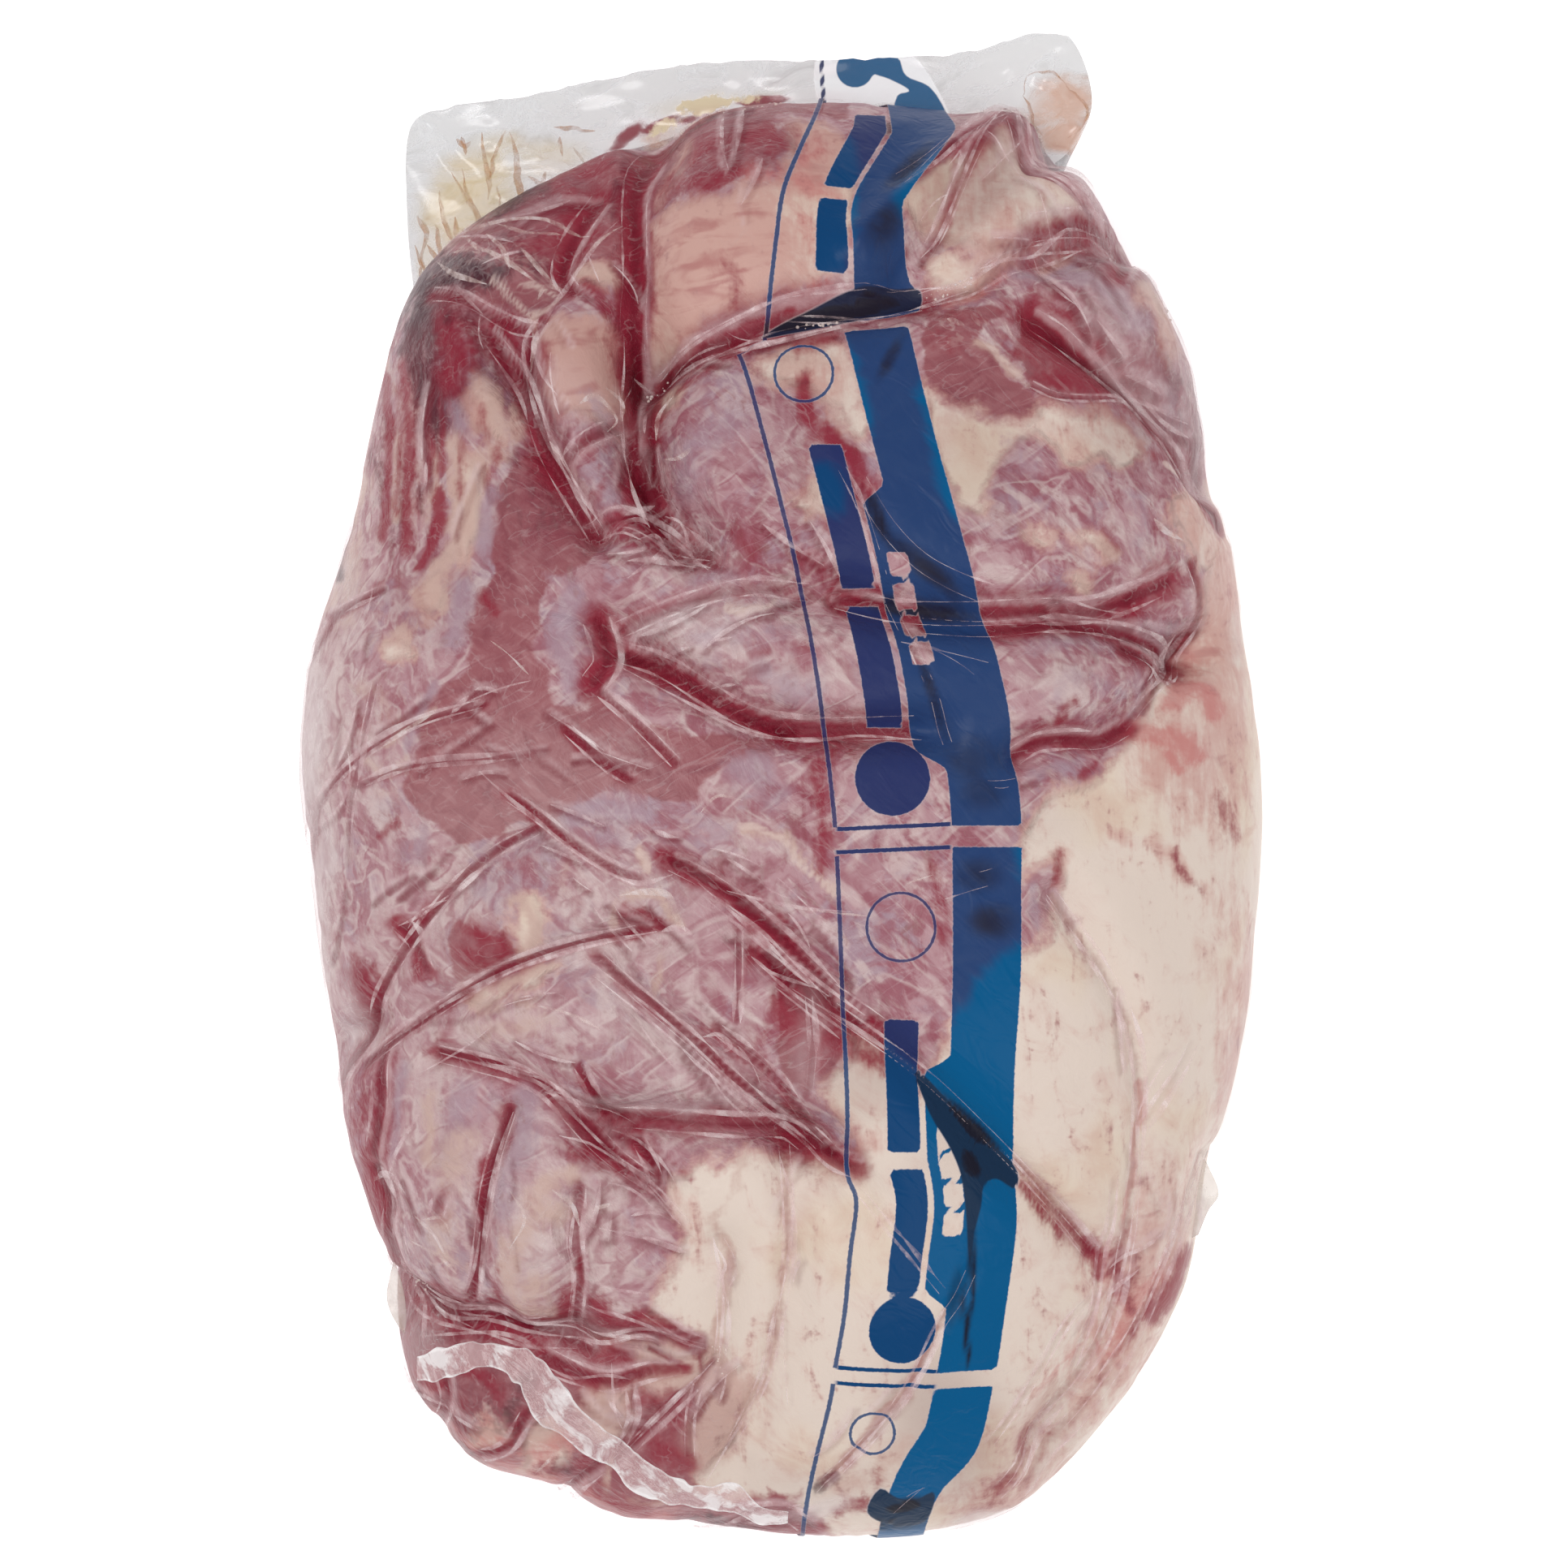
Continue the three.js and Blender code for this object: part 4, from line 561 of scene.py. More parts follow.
# Thin threads of pale tissue: path and width
THREADS = [
    ([(-40, -27), (-33, -26), (-28, -27), (-26, -33), (-24, -36)], 1.0),
    ([(-82, 132), (-68, 137), (-58, 138), (-48, 136)], 0.8), ([(-80, 128), (-74, 129), (-60, 122)], 0.8),
    ([(-78, 136), (-76, 131), (-72, 128)], 1.0), ([(-72, 133), (-68, 129), (-66, 124)], 0.7),
    ([(-64, 130), (-60, 126), (-56, 122)], 0.7), ([(-70, 136), (-62, 134), (-54, 136)], 0.7),
    ([(-84, 126), (-79, 122), (-72, 121)], 0.8), ([(-60, 118), (-58, 122), (-54, 121)], 0.7),
    ([(-48, 131), (-44, 135), (-40, 139)], 0.6), ([(-50, 92), (-46, 95), (-42, 92), (-44, 88)], 0.8),
    ([(-41, 92), (-41, 97), (-44, 98)], 0.8), ([(-88, -103), (-84, -108), (-82, -115)], 0.7),
    ([(-86, -104), (-82, -104), (-80, -110)], 0.6), ([(-90, -110), (-84, -114), (-80, -120)], 0.6),
    ([(-62, -157), (-56, -162), (-60, -167)], 0.8), ([(40, 114), (44, 112)], 0.7),
    ([(54, 113), (56, 109)], 0.7), ([(88, 63), (91, 60), (96, 58)], 0.8),
    ([(-20, -7), (-16, -3), (-10, -4)], 0.6), ([(30, -24), (36, -22)], 0.6),
    ([(2, -30), (10, -31), (20, -32)], 0.6), ([(-70, 34), (-66, 31), (-61, 26)], 0.7),
    ([(-96, 9), (-90, 13), (-83, 17)], 0.7), ([(-62, 114), (-60, 107), (-62, 101)], 0.8),
    ([(-58, 85), (-55, 80), (-52, 76)], 0.8), ([(-30, 81), (-26, 80), (-22, 82)], 0.8),
    ([(-27, 96), (-31, 92), (-32, 86)], 0.8), ([(-60, -54), (-52, -56), (-44, -60)], 0.6),
    ([(-66, -98), (-62, -104), (-66, -112)], 0.6), ([(-56, -98), (-52, -102), (-50, -108)], 0.8),
    ([(-47, -104), (-42, -102)], 0.8),
]
# Where the flank is drawn into upright streaks, where the fat is curdled, and where the film is
# puckered, with painted highlight lines and painted sheen on it: place, radii, turn, strength;
# and likewise where the fat is rosier and where pale fibres net the meat
FLANK = [
    ((-90, 78), (15, 34), 4, 1.0), ((-80, 62), (10, 22), 0, 0.9), ((-98, 40), (10, 20), 0, 0.4),
    ((-92, 104), (8, 16), 10, 0.6),
]
# Stretches of short creases in the film: place, half length, half width, heading in degrees, how many
WRINKLED = [
    ((-30, 60), (18, 9), -15, 12), ((-38, 66), (8, 6), 30, 4), ((-16, 42), (24, 9), 18, 16),
    ((-10, 30), (20, 6), 8, 10), ((-76, 128), (14, 11), -25, 8), ((-60, 136), (14, 8), 25, 8),
    ((-20, 106), (16, 4), 14, 14), ((10, 113), (14, 3), 12, 12), ((-10, 152), (16, 7), 85, 14),
    ((-46, 118), (8, 14), -50, 8), ((-56, 90), (14, 6), -60, 12), ((-38, 92), (14, 6), 80, 12),
    ((-80, 78), (26, 12), 88, 8), ((-98, 30), (26, 6), 80, 5), ((-82, 8), (22, 12), 22, 14),
    ((-58, 14), (18, 12), -30, 12), ((-84, -22), (20, 10), 42, 14), ((-40, -4), (24, 10), -20, 14),
    ((-44, -24), (22, 8), -38, 14), ((-6, -26), (20, 7), -25, 16), ((6, -46), (16, 8), -42, 14),
    ((-30, -52), (26, 10), -42, 16), ((-72, -58), (26, 8), 22, 14), ((-12, -74), (14, 8), -50, 10),
    ((-60, -72), (16, 6), -30, 14), ((-40, -92), (18, 6), -28, 16), ((-72, -104), (22, 7), 88, 12),
    ((-52, -114), (18, 10), 86, 12), ((-36, -114), (10, 12), -8, 10), ((-88, -110), (16, 7), -70, 12),
    ((-74, -133), (24, 5), -8, 16), ((-44, -139), (18, 5), -4, 16), ((-46, -158), (12, 8), -50, 12),
    ((-26, -152), (14, 6), 50, 10), ((-80, -154), (12, 8), -20, 12), ((-4, -180), (14, 3), 5, 10),
    ((26, -178), (10, 5), 40, 8), ((40, 142), (20, 6), 48, 14), ((58, 150), (14, 8), -40, 12),
    ((66, 132), (18, 5), 8, 16), ((80, 112), (26, 8), -50, 16), ((98, 90), (24, 5), -62, 14),
    ((94, 92), (14, 5), -56, 10), ((36, 30), (24, 8), -30, 10), ((50, 2), (8, 6), 20, 8),
    ((50, -26), (8, 7), 10, 8), ((80, 38), (20, 6), 0, 10), ((94, 28), (8, 10), 50, 8),
    ((84, -70), (36, 5), -80, 8), ((82, -130), (30, 8), 62, 10), ((-16, -130), (24, 4), 88, 8),
    ((0, -120), (26, 4), 84, 8), ((20, -154), (16, 5), 50, 8), ((-110, -10), (30, 4), 86, 8),
    ((-66, 104), (14, 6), -60, 10), ((4, 60), (24, 6), -55, 10),
]
BLUSH = [
    ((-17, 127), (26, 22), 0, 0.95), ((-48, 102), (12, 20), 0, 0.95), ((-2, 152), (20, 12), 0, 1.1),
    ((-46, 124), (8, 6), 0, 0.7), ((50, 144), (26, 14), 30, 0.35), ((66, 128), (20, 10), 0, 0.9),
    ((-76, 90), (8, 14), 0, 0.7), ((92, 108), (8, 20), 20, 0.8), ((107, 30), (9, 44), 0, 0.6),
    ((96, 6), (12, 12), 0, 0.6), ((86, -130), (14, 40), -20, 0.5), ((-44, -150), (34, 16), 0, 0.7),
    ((60, -176), (24, 12), 20, 0.4), ((110, -60), (7, 40), 0, 0.4), ((8, 98), (10, 10), 0, 0.5),
    ((-26, -104), (6, 12), 0, 0.3), ((96, 64), (8, 14), 0, 0.6), ((70, 82), (20, 8), 0, 0.3),
    ((-84, 48), (10, 30), 0, 0.6),
]
NETTED = [
    ((-76, 128), (18, 11), -10, 0.7), ((-46, 92), (8, 8), 0, 0.7), ((-84, -110), (9, 14), 0, 0.8),
    ((-62, -160), (16, 8), 0, 0.7), ((44, 112), (12, 5), 0, 0.5), ((92, 60), (10, 12), 0, 0.6),
    ((-30, 78), (10, 12), 0, 0.5), ((-60, -104), (10, 12), 0, 0.5), ((-30, 14), (10, 6), 0, 0.4),
    ((96, 108), (4, 16), 20, 0.6), ((-92, 10), (10, 8), 0, 0.4),
]
CURD = [
    ((98, 64), (7, 14), 0, 1.0), ((72, 84), (18, 8), -20, 0.5), ((104, 40), (6, 22), 0, 0.5),
    ((96, 6), (12, 14), 0, 0.3), ((-24, -98), (10, 8), 0, 0.5), ((-68, -154), (12, 8), 0, 0.8),
    ((-34, -150), (10, 6), 0, 0.5), ((8, 100), (8, 8), 0, 0.4),
]
PUCKERED = [
    ((-30, 60), (20, 9), -10, 0.9), ((-14, 38), (26, 12), 10, 0.8), ((-76, 128), (14, 12), -20, 0.8),
    ((-10, 152), (18, 8), 5, 0.5), ((-70, -136), (28, 7), -8, 0.9), ((-40, -98), (16, 6), -15, 0.6),
    ((-30, -22), (14, 6), -20, 0.6), ((-88, -112), (9, 14), 0, 0.8), ((-46, 80), (8, 14), -20, 0.7),
    ((30, 130), (26, 6), 20, 0.5), ((70, 134), (20, 6), 10, 0.6), ((84, 108), (8, 22), 40, 0.4),
    ((-62, -112), (12, 18), 0, 0.5), ((0, -26), (22, 5), -20, 0.4), ((-96, -10), (10, 18), 0, 0.5),
    ((-74, 8), (20, 10), 15, 0.3), ((-48, -160), (16, 10), 0, 0.5), ((52, 0), (10, 8), 0, 0.5),
    ((50, -24), (9, 8), 0, 0.4), ((-34, 12), (12, 12), 0, 0.4),
]

# Pleats and tension lines of the film that catch the light: path and width
PLEATS = [
    ([(-41, 140), (-48, 130), (-58, 112), (-62, 103)], 0.9),
    ([(-64, 101), (-60, 88), (-53, 75), (-46, 62)], 1.1),
    ([(-34, 106), (-24, 109), (-2, 118), (9, 121), (20, 123), (34, 124)], 1.0),
    ([(34, 124), (44, 124), (53, 129), (62, 131), (70, 137), (80, 138)], 1.3),
    ([(-32, 102), (-22, 105), (0, 109), (26, 117), (46, 123)], 1.1),
    ([(64, 166), (48, 160), (36, 151), (29, 144)], 1.2),
    ([(52, 160), (46, 152), (38, 135), (34, 131)], 1.0),
    ([(54, 161), (58, 155), (74, 143), (82, 138)], 1.2), ([(57, 160), (62, 154), (76, 147)], 0.8),
    ([(82, 139), (83, 134), (81, 131)], 1.0), ([(84, 138), (88, 130), (93, 114)], 0.8),
    ([(-39, 28), (-20, 18), (-10, 13), (0, 11), (10, 11), (18, 12), (34, 11)], 1.1),
    ([(-44, 60), (-40, 64), (-36, 66), (-34, 65)], 0.9), ([(-45, 61), (-40, 62), (-35, 60)], 0.9),
    ([(-36, 60), (-32, 62), (-30, 58), (-34, 53), (-38, 50)], 0.8),
    ([(-30, 68), (-26, 66), (-22, 55), (-18, 53)], 0.8), ([(-39, 106), (-36, 105), (-30, 101)], 1.1),
    ([(-73, 3), (-60, -9), (-43, -21), (-35, -24), (-27, -22)], 1.0),
    ([(-101, -66), (-90, -58), (-70, -47), (-50, -40), (-31, -36)], 1.1),
    ([(-30, -36), (-26, -35), (-22, -37)], 1.0), ([(-21, -24), (-5, -38), (3, -46), (11, -52)], 1.0),
    ([(-19, -28), (-1, -43), (6, -49)], 0.8), ([(-14, -26), (4, -30), (16, -31)], 0.8),
    ([(-8, -42), (-3, -46), (8, -50)], 0.8),
    ([(2, -50), (21, -62), (32, -70), (45, -81), (56, -92), (76, -115)], 1.0),
    ([(-49, -43), (-28, -59), (-10, -76), (0, -85), (8, -91)], 0.9),
    ([(-47, -47), (-28, -62), (-12, -77), (-6, -82)], 0.8),
    ([(-20, -62), (-16, -61), (-13, -64), (-16, -66)], 0.8),
    ([(-86, -67), (-66, -72), (-58, -76), (-47, -88), (-33, -97)], 1.0),
    ([(-75, -69), (-66, -71), (-58, -74), (-52, -79), (-49, -84)], 0.8),
    ([(-55, -86), (-48, -89), (-30, -100), (-22, -107)], 0.8),
    ([(-67, -81), (-70, -91), (-74, -117), (-76, -128)], 1.0),
    ([(-100, -97), (-97, -94.5), (-94, -94.5), (-90, -98)], 1.2),
    ([(-95, -94), (-93, -88), (-88, -79)], 0.9), ([(-51, -103), (-52, -113), (-51, -118)], 0.8),
    ([(-51, -119), (-52, -127), (-54, -136)], 0.9), ([(-45, -108), (-38, -109), (-30, -111)], 0.8),
    ([(-48, -121), (-40, -123), (-33, -124)], 0.8),
    ([(-48, -128), (-40, -130), (-26, -136), (-19, -139)], 0.8),
    ([(-98, -127), (-92, -133), (-90, -139)], 1.1),
    ([(-95, -128), (-86, -135), (-76, -136), (-54, -140)], 1.0),
    ([(-92, -130), (-84, -133), (-74, -133), (-68, -135)], 0.8),
    ([(-90, -138), (-68, -139), (-60, -142)], 1.0),
    ([(-54, -140), (-44, -140), (-36, -137), (-31, -137)], 0.8),
    ([(-60, -144), (-52, -147), (-44, -147), (-38, -148)], 0.8),
    ([(-37, -149), (-37, -155), (-41, -163)], 0.8), ([(-17, -142), (-24, -150), (-40, -165)], 0.8),
    ([(-15, -119), (-15, -130), (-16, -142)], 0.8), ([(-1, -92), (2, -103), (1, -116), (-2, -130)], 0.8),
    ([(-2, -130), (-4, -142), (-8, -153), (-14, -164), (-20, -172)], 0.8),
    ([(36, -137), (30, -147), (24, -155), (16, -165), (8, -173)], 1.1),
    ([(104, -92), (97, -114), (88, -137), (80, -150), (70, -163)], 0.8),
    ([(81, -95), (81, -110), (77, -134), (74, -148)], 0.8),
    ([(64, -27), (77, -47), (82, -58), (85, -72), (87, -88), (87, -106)], 0.8),
    ([(87, -106), (86, -117), (80, -140), (74, -151), (64, -163), (54, -173)], 0.9),
]

# Print of the bag, repeated along it: the right edge of its band and the line on its left, above
# and below the transverse fold, where the print is out of step
BAND_RIGHT_FAR = [
    (28, 190), (34, 178), (38, 168), (40.6, 162), (41.2, 157.4), (38.2, 152.2), (33.4, 145.8),
    (30.4, 141.6), (28.4, 138.4), (29.2, 134.4), (31.4, 126), (33.4, 123.2), (34.4, 112),
]
LINE_LEFT_FAR = [(11, 192), (9.8, 178), (9.2, 168), (3.8, 153), (-0.2, 141), (-2.2, 127), (-5, 108)]
BAND_RIGHT = [
    (29, 124), (30.2, 113.8), (35.9, 87.4), (40.4, 69.6), (45.2, 51.8), (49.6, 38.4), (51.6, 29.4),
    (55.4, 11.6), (57.3, -6.8), (57, -25), (56.2, -45), (55, -65), (55, -80), (56.2, -95), (56.6, -103),
    (53.8, -127.2), (50.6, -148.4), (47, -163), (38, -174), (34, -186), (30, -215),
]
LINE_LEFT = [
    (-15, 116), (-9.6, 101.2), (-5.2, 85.2), (-0.2, 65.2), (3.8, 49.2), (6.8, 33.2), (9.8, 13.2),
    (12.4, -11.2), (14, -46), (15.4, -80), (15.6, -96), (17.6, -101), (16, -112), (14.4, -127),
    (12, -141.6), (11.6, -146), (6, -173), (4, -190), (0, -215),
]
PRINT_STEP = [
    (-60, 96), (-31, 102.5), (-20, 105.5), (-10, 107), (0, 109.5), (12, 112.2), (31, 112.6), (35, 118),
    (45, 123), (60, 130),
]
# The strip without print between the band's end and the transverse fold
PRINT_CUT = [(10, 112), (31.4, 112.8), (36, 114), (36, 117.6), (27, 116.4), (14, 113.8)]
# Where the film is doubled or stands in the shade, the ink is nearly black: place, radii, turn, strength
DARK_INK = [
    ((10, 116), (26, 3), 14, 1.0), ((24, 121), (11, 2), 3, 0.9), ((30, 149), (9, 3), 45, 0.6),
    ((24, 134), (8, 4), 50, 0.6), ((46, -84), (14, 2.4), -45, 1.0), ((45, -92), (6, 4), -60, 0.9),
    ((45.4, -116), (0.9, 14), 0, 0.9), ((41, -124), (2.5, 9), -10, 0.5), ((34, 43), (16, 3), -8, 0.8),
    ((34, 53), (14, 3), -38, 0.7), ((22, 66), (2.2, 12), 22, 0.7), ((36, 22), (1.8, 14), 20, 0.6),
    ((46, 6), (8, 7), 0, 0.5), ((48, -2), (7, 6), 0, 0.45), ((47, -22), (7, 5), 0, 0.5),
    ((50, -33), (7, 5), 0, 0.6), ((26, 104), (2, 8), -28, 0.6), ((44, -132), (0.9, 12), 4, 0.9),
    ((29, -177), (7, 2.5), 10, 0.9), ((24, -181), (14, 3), 0, 0.7),
]
# Stretches of doubled print, nearly black, as closed outlines: between the lips of the transverse
# fold, along the long diagonal, and where the sealed end of the band is gathered
DOUBLED_INK = [
    [(-3, 112.5), (6, 117), (16, 121.5), (24, 123.3), (34, 124), (34.3, 119.8), (27, 117.8), (20, 115.6),
      (14, 114), (4, 111.4), (-6, 110)],
    [(31.5, -69), (39.6, -76.6), (48.4, -85.5), (57.2, -94.6), (56.7, -98.8), (51.4, -95.9), (48.4, -96.8),
      (47.6, -101.5), (46, -108), (45.6, -118), (45, -118), (43.8, -103), (42.6, -94.5), (40, -88),
      (36.4, -82), (33.6, -76)],
    [(20.3, -178.6), (23.6, -171.8), (27.4, -174.4), (32.5, -175), (36.8, -173.4), (34.8, -181),
      (26.8, -182)],
]

# The solid's own hollows and folds, which the film follows: path, half width, depth
HOLLOWS = [
    ([(3, 46), (47, 41), (73, 40), (102, 34)], 7, 7), ([(58, 8), (75, 12), (91, 21), (102, 33)], 6, 5),
    ([(-40, 37), (-21, 23), (-1, 14), (36, 13)], 6, 6), ([(-44, 41), (-22, 46), (0, 50)], 6, 3),
    ([(-35, 106), (-38, 89), (-33, 73), (-23, 60)], 8.5, 12), ([(-71, 116), (-61, 85), (-45, 61)], 6, 6),
    ([(-31, 160), (-35, 134), (-36, 106)], 7.5, 6), ([(-46, 146), (-56, 124), (-66, 98)], 6, 4),
    ([(-33, 103), (-12, 110), (28, 119), (66, 130), (86, 136)], 7, 6),
    ([(20, 131), (40, 150), (60, 163)], 6, -5), ([(29, 128), (48, 144), (66, 156)], 6, 5),
    ([(62, 114), (76, 106), (92, 94), (104, 76)], 6, 6), ([(78, 128), (92, 108), (101, 86)], 6, -3),
    ([(-60, -9), (-74, -19), (-90, -36), (-107, -63)], 6, 3),
    ([(-108, -65), (-80, -52), (-60, -44), (-25, -36)], 6, 4.5),
    ([(-24, -23), (12, -52), (32, -70), (58, -97), (76, -117)], 6, 4.5),
    ([(-43, -48), (-28, -59), (-7, -77), (18, -100)], 6, 4),
    ([(-45, -83), (-30, -82), (-1, -85), (9, -88)], 7, 7),
    ([(-85, -68), (-72, -69), (-58, -75), (-46, -86), (-32, -98)], 6.5, 4),
    ([(-69, -82), (-73, -97), (-75, -118), (-72, -130)], 6.5, 4),
    ([(-49, -104), (-51, -120), (-53, -134)], 6, 4),
    ([(-98, -128), (-77, -136), (-60, -139), (-36, -142)], 8, 7),
    ([(1, -90), (2, -110), (-2, -140), (-12, -167)], 6, 4),
    ([(-15, -113), (-16, -141), (-28, -154), (-39, -163)], 6, 4),
    ([(66, -27), (80, -50), (87, -80), (83, -124), (63, -163)], 6, 4.5),
    ([(104, -92), (99, -112), (88, -136), (66, -164)], 6, 3),
]

# Milky places, where the film stands off the meat or is doubled, and a few whitish veils of painted sheen:
# place, radii, turn, strength
HAZE_AND_SHEEN = [
    ((-115, 8), (5, 26), 0, 1.0), ((-114, -30), (4, 28), -6, 0.8), ((-110, -62), (3, 22), -10, 0.6),
    ((-108, 52), (4, 26), 14, 0.4), ((-30, -79), (22, 2.6), 2, 0.5), ((100, 92), (3, 26), 22, 0.5),
    ((92, 116), (3, 16), 34, 0.4), ((112, 50), (3, 40), 6, 0.4), ((88, 100), (5, 14), 38, 0.35),
    ((80, 113), (4, 12), 42, 0.35), ((-20, 41), (16, 5), 12, 0.35), ((-52, 92), (10, 8), 0, 0.15),
    ((6, -64), (4, 14), 0, 0.35), ((110, -60), (3, 40), -10, 0.35), ((9, -178), (7, 3), 20, 0.8),
    ((50, -180), (11, 2.5), 12, 0.8), ((70, 150), (3, 10), 30, 0.5), ((-92, -140), (8, 6), 0, 0.4),
    ((-40, -58), (10, 30), 40, 0.15),
]

# The empty end of the bag beyond the meat: two films pressed flat
SKIRT_ROOT = [(-74, 92), (-62, 112), (-42, 126), (-16, 137), (12, 141), (36, 137), (54, 127), (62, 116)]
SKIRT_EDGE = [
    (-91, 118), (-93, 140), (-92, 163), (-88, 166), (-65, 170), (-23, 178), (9, 179), (45, 181), (64, 186),
    (71, 184), (76, 168), (71.5, 157.5), (67, 154),
]
SKIRT_Z = (39, 26.6)
SKIRT_THICK = 0.5
SKIRT_STEPS = (300, 96)

# The sealed mouth of the bag, cut off short and folded back over the meat: path and half widths
SEAL_PATH = [
    (-90, -143.4), (-84, -142.6), (-78, -141.5), (-71, -141.5), (-63, -144), (-57, -150), (-50, -156),
    (-43, -161.5), (-38, -165.5), (-30, -169), (-24, -172), (-18, -174), (-12, -175), (-6, -179),
    (1, -179.5),
]
SEAL_HALF_WIDTHS = [2.6, 2.8, 2.2, 1.7, 2.4, 3.5, 3.7, 3.2, 2.8, 3.0, 2.8, 2.4, 2.8, 2.2, 1.4]
SEAL_THICK = 0.45
SEAL_STEPS = (260, 14)

# Corners of the film that stand out from the wall: inner edge, outer edge, height above the floor
TABS = [
    ([(101, -90), (101.5, -97), (100.5, -104), (98, -113)], [(104, -93), (107, -101), (104.5, -105),
      (102, -111)], 40),
    ([(-96, -117), (-94, -123), (-93, -129), (-93, -136)], [(-97.0, -121), (-97.8, -126), (-96.8, -130),
      (-94.6, -134)], 42),
]
TAB_THICK = 0.6

# Little bubbles of juice and air under the film: corners of a patch, bubbles in it, radius
BUBBLES = [
    ([(-27, 161.5), (-24, 162), (-24, 164), (-27, 164)], 12, 0.75),
    ([(-24, 163), (-15, 165.5), (-15, 168), (-24, 165)], 22, 0.5),
    ([(-15, 163), (0, 166), (0, 169), (-15, 167)], 26, 0.35),
    ([(35, 121), (47, 123), (47, 126), (35, 124)], 16, 0.3),
    ([(90, 112), (95, 112), (94, 120), (90, 120)], 12, 0.4),
    ([(-96, -124), (-88, -124), (-88, -130), (-96, -130)], 8, 0.3),
    ([(-18, -138), (-13, -138), (-13, -146), (-18, -146)], 8, 0.3),
    ([(2, 112), (15, 113.5), (15, 115), (2, 113.5)], 12, 0.35),
    ([(-36, 100), (-29, 100), (-29, 105), (-36, 105)], 10, 0.35),
]


def smooth_path(points, closed=False, steps=8):
    """Points of a centripetal curve through the given ones."""
    given = np.array(points, float)
    if closed:
        stops = np.vstack([given[-1:], given, given[:2]])
    else:
        stops = np.vstack([2 * given[0] - given[1], given, 2 * given[-1] - given[-2]])
    before, start, end, after = stops[:-3], stops[1:-2], stops[2:-1], stops[3:]
    pairs = ((before, start), (start, end), (end, after))
    reach = [np.sqrt(np.linalg.norm(b - a, axis=1))[:, None] for a, b in pairs]
    leave = (start - before) / reach[0] - (end - before) / (reach[0] + reach[1]) + (end - start) / reach[1]
    arrive = (end - start) / reach[1] - (after - start) / (reach[1] + reach[2]) + (after - end) / reach[2]
    leave, arrive = leave * reach[1], arrive * reach[1]
    share = (np.arange(steps) / steps)[None, :, None]
    start, end, leave, arrive = (part[:, None, :] for part in (start, end, leave, arrive))
    line = (start + leave * share + (3 * (end - start) - 2 * leave - arrive) * share**2
            + (2 * (start - end) + leave + arrive) * share**3).reshape(-1, given.shape[1])
    return line if closed else np.vstack([line, given[-1]])


def smoothstep(low, high, value):
    """0 below low, 1 above high, and a soft step between."""
    share = np.clip((value - low) / (high - low), 0, 1)
    return share * share * (3 - 2 * share)


PLACES_AT_ONCE = 4000


def distance_to(line, places, reach):
    """Distance of each place from an open line, and reach where it is further than that."""
    least = np.full(len(places), float(reach))
    near = np.flatnonzero(np.all((places > line.min(0) - reach) & (places < line.max(0) + reach), axis=1))
    start, step = line[:-1], np.diff(line, axis=0)
    length = np.maximum((step**2).sum(1), 1e-12)
    for part in np.array_split(near, len(near) // PLACES_AT_ONCE + 1):
        away = places[part][:, None, :] - start
        share = np.clip((away * step).sum(2) / length, 0, 1)
        gap = np.linalg.norm(away - share[..., None] * step, axis=2).min(1)
        least[part] = np.minimum(gap, reach)
    return least


def inside(outline, places):
    """Whether each place lies inside a closed outline."""
    found = np.zeros(len(places), bool)
    near = np.flatnonzero(np.all((places > outline.min(0)) & (places < outline.max(0)), axis=1))
    x, y = places[near].T
    odd = np.zeros(len(near), bool)
    for (ax, ay), (bx, by) in zip(outline, np.roll(outline, -1, axis=0)):
        if ay == by:
            continue
        crosses = ((ay > y) != (by > y)) & (x < (bx - ax) * (y - ay) / (by - ay) + ax)
        odd ^= crosses
    found[near] = odd
    return found


def depth_in(outlines, places, reach=8):
    """How far inside the nearest outline each place is, negative outside, in millimetres."""
    deepest = np.full(len(places), -float(reach))
    for outline in outlines:
        line = smooth_path(outline, closed=True, steps=4)
        gap = distance_to(np.vstack([line, line[:1]]), places, reach)
        deepest = np.maximum(deepest, np.where(inside(line, places), gap, -gap))
    return deepest


def soft_spots(spots, places):
    """Strength of soft elliptic spots at each place."""
    most = np.zeros(len(places))
    for (x, y), (wide, long), turn, strength in spots:
        cos, sin = math.cos(math.radians(turn)), math.sin(math.radians(turn))
        dx, dy = places[:, 0] - x, places[:, 1] - y
        away = ((dx * cos + dy * sin) / wide) ** 2 + ((dy * cos - dx * sin) / long) ** 2
        most = np.maximum(most, strength * np.exp(-(away**1.5)))
    return most


LUMP_CELLS = 97


def lumps(places, size, seed):
    """Smooth random heights between -1 and 1 that change over about the given size."""
    table = np.random.default_rng(seed).uniform(-1, 1, (LUMP_CELLS, LUMP_CELLS))
    cell = places / size
    corner = np.floor(cell).astype(int)
    blend = cell - corner
    blend = blend * blend * (3 - 2 * blend)
    value = 0
    for right in (0, 1):
        for up in (0, 1):
            share = (blend[:, 0] if right else 1 - blend[:, 0]) * (blend[:, 1] if up else 1 - blend[:, 1])
            row, column = (corner[:, 0] + right) % LUMP_CELLS, (corner[:, 1] + up) % LUMP_CELLS
            value = value + share * table[row, column]
    return value


def waves(table, places):
    """The sum of several sets of lumps, each by its height and size in millimetres and its seed."""
    return sum(height * lumps(places, size, seed) for height, size, seed in table)


# Random shifts that make painted edges ragged, across and along the bag: height, size, seed
WANDER = ([(1.7, 8, 61), (1.0, 3.4, 62)], [(1.7, 8, 63), (1.0, 3.4, 64)])


def wandered(places, share=1.0):
    """Places shifted a little at random, so that what is drawn from them has ragged edges."""
    return places + share * np.column_stack([waves(table, places) for table in WANDER])


